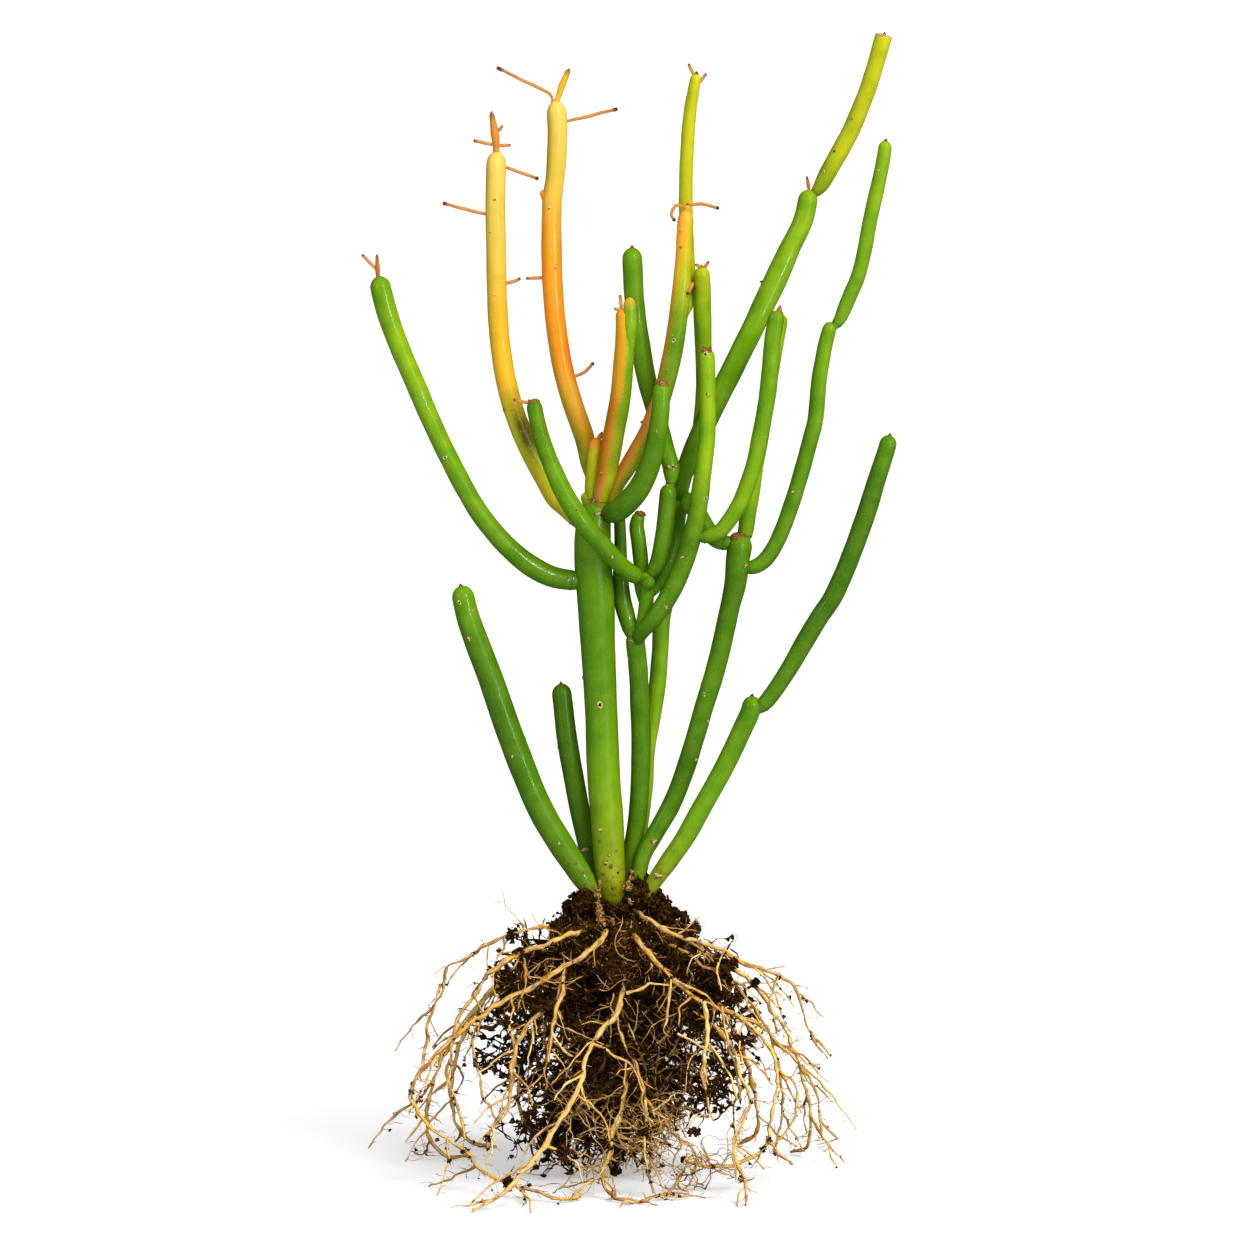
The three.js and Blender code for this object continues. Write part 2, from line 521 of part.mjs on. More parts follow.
    routes: [
      [
        [14, 83, -8, 1.2], [24.9, 79.2, -17, 1.1], [31.3, 73.9, -19, 1.1], [38.8, 70.7, -18, 1],
        [44.1, 65.2, -17, 1], [50.6, 56.7, -16, 0.9], [53.8, 51.5, -15, 0.9], [57.5, 38, -13, 0.8],
        [58.5, 22, -11, 0.8], [56, 8, -9, 0.7],
      ],
    ],
  },
  {
    name: "root_floor_loop",
    seed: 101,
    twigs: 5,
    routes: [
      [
        [4, 38, -24, 1.2], [3.2, 30.1, -32, 1.3], [2.1, 21.7, -36, 1.3], [-0.5, 16.1, -39, 1.3],
        [-1.9, 7.7, -42, 1.3], [-4.6, 0.2, -45, 1.2], [-0.8, -5.6, -51, 1.1], [6.7, -7.3, -57, 1],
        [13, -6.3, -52, 1], [19.5, -3.9, -45, 1], [23.8, 2.8, -38, 0.9],
      ],
    ],
  },
  {
    name: "root_back_left",
    seed: 113,
    twigs: 6,
    routes: [
      [
        [-7, 85, 10, 1.6], [-22, 78.5, 24, 1.6], [-38, 70, 34, 1.5], [-50, 55.4, 42, 1.4],
        [-57, 38.2, 47, 1.2], [-58, 22.8, 50, 1.1], [-52, 11.1, 54, 1.1], [-42, 8.2, 57, 1.1],
      ],
    ],
  },
  {
    name: "root_back_middle_left",
    seed: 127,
    twigs: 6,
    routes: [
      [
        [-4, 81, 14, 1.6], [-12, 75.8, 32, 1.6], [-22, 63.8, 46, 1.5], [-30, 47.4, 56, 1.4],
        [-34, 30.4, 62, 1.2], [-32, 15.6, 66, 1.1], [-24, 9.8, 68, 1.1],
      ],
    ],
  },
  {
    name: "root_back_middle",
    seed: 131,
    twigs: 6,
    routes: [
      [
        [2, 79, 14, 1.7], [4, 74, 34, 1.7], [8, 60.4, 50, 1.6], [12, 44, 60, 1.4],
        [14, 25, 66, 1.2], [12, 12.1, 69, 1.1], [6, 10.1, 70, 1.1],
      ],
    ],
  },
  {
    name: "root_back_middle_right",
    seed: 149,
    twigs: 6,
    routes: [
      [
        [8, 82, 12, 1.5], [20, 77.2, 28, 1.5], [33, 65.3, 42, 1.4], [43, 48.7, 51, 1.3],
        [49, 29.4, 55, 1.2], [50, 13.4, 58, 1.1], [44, 9, 62, 1.1],
      ],
    ],
  },
  {
    name: "root_back_right",
    seed: 157,
    twigs: 6,
    routes: [
      [
        [11, 86, 6, 1.4], [28, 80.5, 16, 1.4], [44, 70.7, 24, 1.3], [57, 55.7, 30, 1.2],
        [65, 38.3, 33, 1.1], [69, 20.8, 36, 1.1], [68, 9.2, 40, 1.1], [62, 6.8, 46, 1.1],
      ],
    ],
  },
  {
    name: "root_side_left",
    seed: 163,
    twigs: 6,
    routes: [
      [
        [-12, 80, 3, 1.4], [-30, 72.7, 10, 1.4], [-46, 61.6, 16, 1.3], [-58, 46.4, 20, 1.2],
        [-65, 29.1, 24, 1.1], [-66, 13.8, 28, 1.1], [-60, 6.2, 32, 1.1], [-52, 5.8, 38, 1.1],
      ],
    ],
  },
];

// The soil's outline from the foot up: [radius, height]
const SOIL_PROFILE = [
  [6.5, 0], [8.5, 5], [13, 11], [20, 18.5], [26.5, 27], [29.5, 36], [31, 46], [32.5, 56], [33.5, 66],
  [33.5, 75], [31, 82], [26, 87.5], [20.5, 92], [16, 96.5], [12.5, 99.5], [7, 98.5],
];
const SOIL_CROWN = 98.5;
const SOIL_SEGMENTS = 24;
const SOIL_LUMP = 2.6; // how far the clods stand out
const SOIL_CORE = 20; // within this radius they stand out less
const SOIL_SHIFT = 3; // the mass leans this far to the right of the foot
const SOIL_FLATNESS = 0.96; // its depth as a share of its width
const CLOD = { at: [8.2, -4.6, 103.5], radius: 3.2, height: 7.5 };

// The place of a route's point
function seen(across, height, depth) {
  const z = (height - depth * Math.sin(SIGHT_ANGLE)) / Math.cos(SIGHT_ANGLE);
  return new THREE.Vector3(across, depth, z);
}

// A closed geometry as a solid that can be joined and cut
function toSolid(geometry) {
  geometry.deleteAttribute("normal");
  geometry.deleteAttribute("uv");
  const merged = mergeVertices(geometry, 1e-4);
  const triangles = [];
  for (let i = 0; i < merged.index.count; i += 3) {
    const corner = [0, 1, 2].map((k) => merged.index.getX(i + k));
    const flat = corner[0] === corner[1] || corner[1] === corner[2] || corner[0] === corner[2];
    if (!flat) triangles.push(...corner);
  }
  const solidMesh = new wasm.Mesh({
    numProp: 3,
    vertProperties: new Float32Array(merged.attributes.position.array),
    triVerts: new Uint32Array(triangles),
  });
  return new wasm.Manifold(solidMesh);
}

// The largest body of a solid that cutting has left in pieces
function largestBody(solid) {
  return solid.decompose().reduce((best, body) => (body.volume() > best.volume() ? body : best));
}

// Radius at a share of the route, between the radii given at its points
function radiusAlong(route, share) {
  const points = route.map(([x, h, y]) => seen(x, h, y));
  const reach = [0];
  for (let i = 1; i < points.length; i += 1) reach.push(reach[i - 1] + points[i].distanceTo(points[i - 1]));
  const target = THREE.MathUtils.clamp(share, 0, 1) * reach[reach.length - 1];
  let i = 1;
  while (i < points.length - 1 && reach[i] < target) i += 1;
  const part = (target - reach[i - 1]) / (reach[i] - reach[i - 1]);
  return THREE.MathUtils.lerp(route[i - 1][3], route[i][3], part);
}

// A round limb along a route: a turned profile with a domed, pointed or cut end, bent along the curve
function limb(route, { sides, step, end = "dome", grow = 0 }) {
  const curve = new THREE.CatmullRomCurve3(route.map(([x, h, y]) => seen(x, h, y)), false, "centripetal");
  const length = curve.getLength();
  const radius = (along) => radiusAlong(route, along / length) + grow;
  const foot = radius(0) * 0.5;
  const dome = end === "flat" ? 0 : radius(length);
  const profile = [new THREE.Vector2(0, -grow), new THREE.Vector2(radius(0) * 0.75, foot * 0.3 - grow)];
  const rings = Math.max(1, Math.round((length - foot - dome) / step));
  for (let i = 0; i <= rings; i += 1) {
    const along = THREE.MathUtils.lerp(foot, length - dome, i / rings);
    const cut = end === "flat" && i === rings ? grow : 0;
    profile.push(new THREE.Vector2(radius(along), along + cut));
  }
  if (end === "dome") {
    for (const turn of DOME_TURNS) {
      const along = length - dome + (dome + grow) * Math.sin(turn);
      profile.push(new THREE.Vector2(radius(length) * Math.cos(turn), along));
    }
  }
  profile.push(new THREE.Vector2(0, length + grow));
  const geometry = new THREE.LatheGeometry(profile, sides);
  bendAlong(geometry, curve, profile, sides);
  return toSolid(geometry);
}

// Bends a turned shape so that its axis follows a curve
function bendAlong(geometry, curve, profile, sides) {
  const length = curve.getLength();
  const position = geometry.attributes.position;
  const frames = [];
  let tangent = curve.getTangentAt(0);
  let side = new THREE.Vector3(0, 1, 0).cross(tangent);
  if (side.lengthSq() < 0.01) side = new THREE.Vector3(1, 0, 0).cross(tangent);
  side.normalize();
  for (const point of profile) {
    const share = THREE.MathUtils.clamp(point.y / length, 0, 1);
    const next = curve.getTangentAt(share);
    side.applyQuaternion(new THREE.Quaternion().setFromUnitVectors(tangent, next)).normalize();
    tangent = next;
    const centre = curve.getPointAt(share).addScaledVector(tangent, point.y - share * length);
    frames.push({ centre, side: side.clone(), other: side.clone().cross(tangent) });
  }
  for (let i = 0; i < position.count; i += 1) {
    const ring = i % profile.length;
    const { centre, side: across, other } = frames[ring];
    const place = centre.clone();
    place.addScaledVector(across, position.getX(i)).addScaledVector(other, position.getZ(i));
    if (i >= sides * profile.length) place.fromBufferAttribute(position, ring);
    position.setXYZ(i, place.x, place.y, place.z);
  }
}

// One branch with its buds and small leaves fused to it
function branch(stem, grow) {
  const sides = stem.sides ?? STEM_SIDES;
  const body = limb(stem.route, { sides, step: STEM_STEP, end: stem.end, grow });
  const shape = { sides: TWIG_SIDES, step: STEM_STEP, end: "point", grow };
  const twigs = (stem.twigs ?? []).map((route) => limb(route, shape));
  return twigs.reduce((whole, twig) => whole.add(twig), body);
}

// A repeatable draw between 0 and 1
function drawFrom(seed) {
  let state = seed >>> 0;
  return () => {
    state = (Math.imul(state, 1664525) + 1013904223) >>> 0;
    return state / 4294967296;
  };
}

// Side roots leave a root on alternate sides and droop outwards
function sideRoots(root) {
  const draw = drawFrom(root.seed);
  const main = root.routes[0];
  const curve = new THREE.CatmullRomCurve3(main.map(([x, h, y]) => seen(x, h, y)), false, "centripetal");
  const found = [];
  for (let i = 0; i < root.twigs; i += 1) {
    const strayed = i + SIDE_ROOT.scatter * draw();
    const share = SIDE_ROOT.firstShare + (SIDE_ROOT.bearingShare * strayed) / root.twigs;
    const start = curve.getPointAt(share);
    const turn = (i % 2 === 0 ? 1 : -1) * (SIDE_ROOT.leastTurn + SIDE_ROOT.moreTurn * draw());
    const outward = new THREE.Vector3(start.x, start.y, 0).normalize();
    const across = outward.clone().applyAxisAngle(new THREE.Vector3(0, 0, 1), turn);
    const length = SIDE_ROOT.leastLength + SIDE_ROOT.moreLength * draw();
    const droop = SIDE_ROOT.leastDroop + SIDE_ROOT.moreDroop * draw();
    const knee = start.clone().addScaledVector(across, length * SIDE_ROOT.knee.along);
    knee.z -= length * SIDE_ROOT.knee.down * droop;
    const tip = knee.clone().addScaledVector(across, length * SIDE_ROOT.tip.along);
    tip.addScaledVector(outward, length * SIDE_ROOT.tip.out);
    tip.z -= length * SIDE_ROOT.tip.down * droop;
    knee.z = Math.max(knee.z, SIDE_ROOT.knee.lowest);
    tip.z = Math.max(tip.z, SIDE_ROOT.tip.lowest);
    found.push([start, knee, tip]);
  }
  return found;
}

// A place and a radius as a point of a route, the opposite of seen
function unseen(point, radius) {
  const height = point.z * Math.cos(SIGHT_ANGLE) + point.y * Math.sin(SIGHT_ANGLE);
  return [point.x, height, point.y, radius];
}

// One main root with its forks and side roots fused to it
function rootBranch(root, grow) {
  const shape = { sides: ROOT_SIDES, step: ROOT_STEP, end: "point", grow };
  const limbs = root.routes.map((route) => limb(route, shape));
  for (const [start, knee, tip] of sideRoots(root)) {
    const { radius, knee: bend, tip: end } = SIDE_ROOT;
    const route = [unseen(start, radius), unseen(knee, bend.radius), unseen(tip, end.radius)];
    limbs.push(limb(route, { sides: SIDE_ROOT_SIDES, step: SIDE_ROOT_STEP, end: "point", grow }));
  }
  return limbs.reduce((whole, next) => whole.add(next));
}

// Broad clods, from a few waves round the mass and up it
function lump(angle, z) {
  const broad = Math.sin(angle * 3 + z * 0.11) * Math.cos(z * 0.16 + angle);
  const small = Math.sin(angle * 7 - z * 0.31) * 0.55 + Math.cos(angle * 5 + z * 0.43) * 0.45;
  return broad * 0.55 + small * 0.6;
}

// The soil's mass, turned about its axis and then made uneven
function soilBody() {
  const profile = [new THREE.Vector2(0, 0)];
  for (const [radius, height] of SOIL_PROFILE) profile.push(new THREE.Vector2(radius, height));
  profile.push(new THREE.Vector2(0, SOIL_CROWN));
  const geometry = new THREE.LatheGeometry(profile, SOIL_SEGMENTS);
  geometry.rotateX(Math.PI / 2);
  const position = geometry.attributes.position;
  for (let i = 0; i < position.count; i += 1) {
    const x = position.getX(i);
    const y = position.getY(i);
    const z = position.getZ(i);
    const radius = Math.hypot(x, y);
    const reach = Math.min(1, radius / SOIL_CORE);
    const seam = Math.floor(i / profile.length) % SOIL_SEGMENTS;
    const angle = (seam / SOIL_SEGMENTS) * Math.PI * 2;
    const swell = radius > 0.01 ? 1 + (SOIL_LUMP * reach * lump(angle, z)) / radius : 1;
    const shift = SOIL_SHIFT * Math.sin(Math.PI * THREE.MathUtils.clamp(z / SOIL_CROWN, 0, 1));
    position.setXYZ(i, x * swell + shift, y * swell * SOIL_FLATNESS, z);
  }
  return toSolid(geometry);
}

// The clod at the foot of the right-hand stem
function clodBody() {
  const geometry = new THREE.IcosahedronGeometry(CLOD.radius, 1);
  geometry.scale(1, 1, CLOD.height / CLOD.radius);
  geometry.translate(...CLOD.at);
  return toSolid(geometry);
}

// What lies under the floor, which the roots are cut off at
function floorBlock() {
  const geometry = new THREE.BoxGeometry(FLOOR_SIZE, FLOOR_SIZE, FLOOR_THICKNESS);
  geometry.translate(0, 0, -FLOOR_THICKNESS / 2);
  return toSolid(geometry);
}

// Adds a solid to the group as a named mesh in its finish
function addNode(group, name, finish, solid) {
  const { vertProperties, triVerts } = solid.getMesh();
  const geometry = new THREE.BufferGeometry();
  geometry.setAttribute("position", new THREE.BufferAttribute(new Float32Array(vertProperties), 3));
  geometry.setIndex(new THREE.BufferAttribute(new Uint32Array(triVerts), 1));
  geometry.computeVertexNormals();
  const { color, roughness } = FINISHES[finish];
  const material = new THREE.MeshStandardMaterial({ color, roughness, metalness: 0 });
  const mesh = new THREE.Mesh(geometry, material);
  mesh.name = name;
  group.add(mesh);
}

// Each piece is cut clear of the pieces before it, and the soil of them all
function buildPlant() {
  const group = new THREE.Group();
  const floor = floorBlock();
  let taken = null;
  const claim = (name, finish, solid, grown) => {
    const carved = taken ? solid.subtract(taken) : solid;
    addNode(group, name, finish, largestBody(carved.subtract(floor)));
    taken = taken ? taken.add(grown) : grown;
  };
  for (const stem of STEMS) claim(stem.name, stem.finish, branch(stem, 0), branch(stem, GAP));
  for (const root of ROOTS) claim(root.name, "root", rootBranch(root, 0), rootBranch(root, GAP));
  addNode(group, "soil", "soil", largestBody(soilBody().add(clodBody()).subtract(taken)));
  return group;
}

export default buildPlant();
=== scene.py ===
"""A bare-root pencil cactus: waxy leafless stems on a clod of soil, in a spread of tan roots.

Metres, +Z up, the front towards -Y. The tables of places and sizes are in millimetres, and are
turned to metres where they are read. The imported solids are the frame, and the stems, the roots
and the soil made here replace them, along the same routes.
"""
import json
import logging
import math
from collections.abc import Callable, Iterable, Iterator
from dataclasses import dataclass, field, replace
from enum import Enum
from functools import cache, partial

import bpy
import numpy as np
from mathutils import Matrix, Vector

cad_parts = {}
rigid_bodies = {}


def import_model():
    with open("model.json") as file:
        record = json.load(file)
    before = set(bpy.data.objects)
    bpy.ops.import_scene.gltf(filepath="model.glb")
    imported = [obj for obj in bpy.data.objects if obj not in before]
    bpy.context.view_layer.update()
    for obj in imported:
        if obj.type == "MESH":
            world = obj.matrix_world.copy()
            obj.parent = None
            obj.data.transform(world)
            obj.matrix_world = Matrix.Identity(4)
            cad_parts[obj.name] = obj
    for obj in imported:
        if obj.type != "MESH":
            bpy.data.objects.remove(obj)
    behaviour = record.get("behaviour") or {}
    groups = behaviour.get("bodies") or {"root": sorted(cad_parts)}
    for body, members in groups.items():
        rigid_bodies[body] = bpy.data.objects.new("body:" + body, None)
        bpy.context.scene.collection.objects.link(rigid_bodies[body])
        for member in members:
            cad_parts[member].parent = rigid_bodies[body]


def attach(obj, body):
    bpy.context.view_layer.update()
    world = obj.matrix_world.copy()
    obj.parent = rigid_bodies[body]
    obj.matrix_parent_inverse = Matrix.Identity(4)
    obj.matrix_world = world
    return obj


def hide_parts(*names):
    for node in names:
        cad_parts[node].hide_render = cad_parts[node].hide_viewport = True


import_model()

log = logging.getLogger("pencil_cactus")
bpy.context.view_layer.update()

PER_METRE = 1000  # the tables are in millimetres
SIGHT_ANGLE = math.radians(8)  # the routes are heights seen from 8 degrees above the floor
SIGHT = np.array([0.0, math.cos(SIGHT_ANGLE), -math.sin(SIGHT_ANGLE)])  # the way the viewer looks
UP = np.array([0.0, 0.0, 1.0])
FLAT = np.array([1.0, 1.0, 0.0])  # what a vector keeps of itself when it is laid flat
PAINTED_LIGHT_WAY = np.array([0.39, -0.83, 0.4])  # the way the painted light comes from: a side facing it is painted lighter, one facing away darker

CURVE_STEPS = 24  # the pieces between two points of a route, before it is stepped evenly
STEM_SIDES = 24
STEM_STEP = 0.0013
SMALL_SIDES = 12
SHOOT_STEP = 0.0006
BLUNT_RADIUS = 0.00115  # a young shoot that ends thicker than this has no pointed bud
LEAF_STEP = 0.0007
LEAF_RADIUS = 0.00055
LEAF_WRINKLE = 0.00007
ROOT_SIDES = 10
ROOT_STEP = 0.0012
SIDE_ROOT_STEP = 0.0004
SIDE_ROOT_RADII = (0.00085, 0.0007, 0.0004)  # at the start, the knee and the tip
ROOTLET_STEP = 0.0017
FLOOR_GAP = 0.0006  # the least height of a rootlet's middle
CLUMP_DEPTH = 0.004
CLUMP_HALF_DEPTH = 0.016
MERGE = 2e-6  # closes the ends of a swept piece
GRAIN_GAP = 0.37  # how far apart the skin coordinates of two strands are
MOST = {1: 0.3, 2: 0.7}  # the span that nearly all of a cloudy value lies in, as inputs of a MapRange

Point = tuple[float, float, float, float]
Route = tuple[Point, ...]
Path = tuple[tuple[float, float, float], ...]


class Slot(Enum):
    """The record's material slots."""

    STEM = "stem_green"
    SHOOT = "shoot_green"
    YELLOW = "shoot_yellow"
    ORANGE = "shoot_orange"
    BRONZE = "shoot_bronze"
    ROOT = "root"
    SOIL = "soil"


PALE_SLOTS = (Slot.YELLOW, Slot.ORANGE)


class Tip(Enum):
    """What a limb ends in."""

    PLAIN = "plain"  # another limb goes on from it
    BUD = "bud"  # a small red-brown bud
    KNOB = "knob"  # a dried, knobby scar
    CUT = "cut"  # a flat, healed cut


class Mark(Enum):
    """A mark on the skin."""

    RIM = "rim"  # a leaf scar: a pale rim round a dark pit
    PIT = "pit"  # a dark hole
    FLECK = "fleck"  # a raised cream fleck
    RED = "red"  # a raised red dot
    SCAB = "scab"  # a raised brown spot


class Shade(Enum):
    """Colours of the skin, in sRGB."""

    EARTH = "#8a7a20"
    OLIVE = "#8f9f1a"
    MOSS = "#7da012"
    FERN = "#659510"
    PINE = "#44750a"
    LEAF = "#558a07"
    GRASS = "#659c06"
    LIME = "#80b004"
    CHARTREUSE = "#bcc40c"
    MUSTARD = "#b9a90e"
    CANARY = "#f6bf22"
    CREAM = "#f9d668"
    BUTTER = "#f7cf4e"
    HONEY = "#fcb738"
    TANGERINE = "#fb9a12"
    AMBER = "#dc902a"
    KHAKI = "#7c9204"
    BRONZE = "#c07a10"
    RUST = "#c4702a"
    FLAME = "#f8760e"
    STONE = "#5f8a2c"
    PEACH = "#e8965a"
    GOLD = "#d8a012"
    IVY = "#4c7f08"
    SPRIG = "#a5b608"
    APRICOT = "#f4a23c"
    # a painted shadow: the shadow of a neighbouring branch on the yellow branch
    PAINTED_SHADOW = "#565200"
    MARIGOLD = "#fca822"


@dataclass(frozen=True)
class SideTint:
    """A colour on one side of a limb: mostly the sun's blush, and on one limb a painted shadow cast by a
    neighbouring branch.

    Args:
        shade: The colour.
        side: 1 for the right side and -1 for the left.
        start: Where it starts, as a share of the limb's length.
        stop: Where it stops.
        from_edge: How far round it reaches: the share of the width, from the middle, that it leaves.
    """

    shade: Shade
    side: int
    start: float
    stop: float
    from_edge: float = 0.1


@dataclass(frozen=True)
class Limb:
    """One stem or branch.

    Args:
        node: The solid that it replaces.
        slot: The slot of its skin.
        route: Points of (across, height as seen, depth, radius), in millimetres.
        shades: The skin's colours, each with its share of the length.
        parent: The limb that it grows from, if any.
        tip: What it ends in.
        sprouts: The colours of the young shoots on it.
        side_tints: Colours on its sides: sun colours, and on one limb a painted shadow.
        shoots: Routes of young shoots on it.
        leaves: Points of (across, height as seen, depth) of its small dry leaves, in millimetres.
        marks: Each mark's kind, and its place across, height as seen and size in millimetres.
    """

    node: str
    slot: Slot
    route: Route
    shades: tuple[tuple[float, Shade], ...]
    parent: str | None = None
    tip: Tip = Tip.PLAIN
    sprouts: tuple[Shade, ...] = ()
    side_tints: tuple[SideTint, ...] = ()
    shoots: tuple[Route, ...] = ()
    leaves: tuple[Path, ...] = ()
    marks: tuple[tuple[Mark, float, float, float], ...] = ()


@dataclass(frozen=True)
class Root:
    """One main root with its forks.

    Args:
        node: The solid that it replaces.
        seed: The draw of its side roots.
        side_count: How many side roots the solid has.
        routes: The main route and those of the forks, in millimetres.
    """

    node: str
    seed: int
    side_count: int
    routes: tuple[Route, ...]


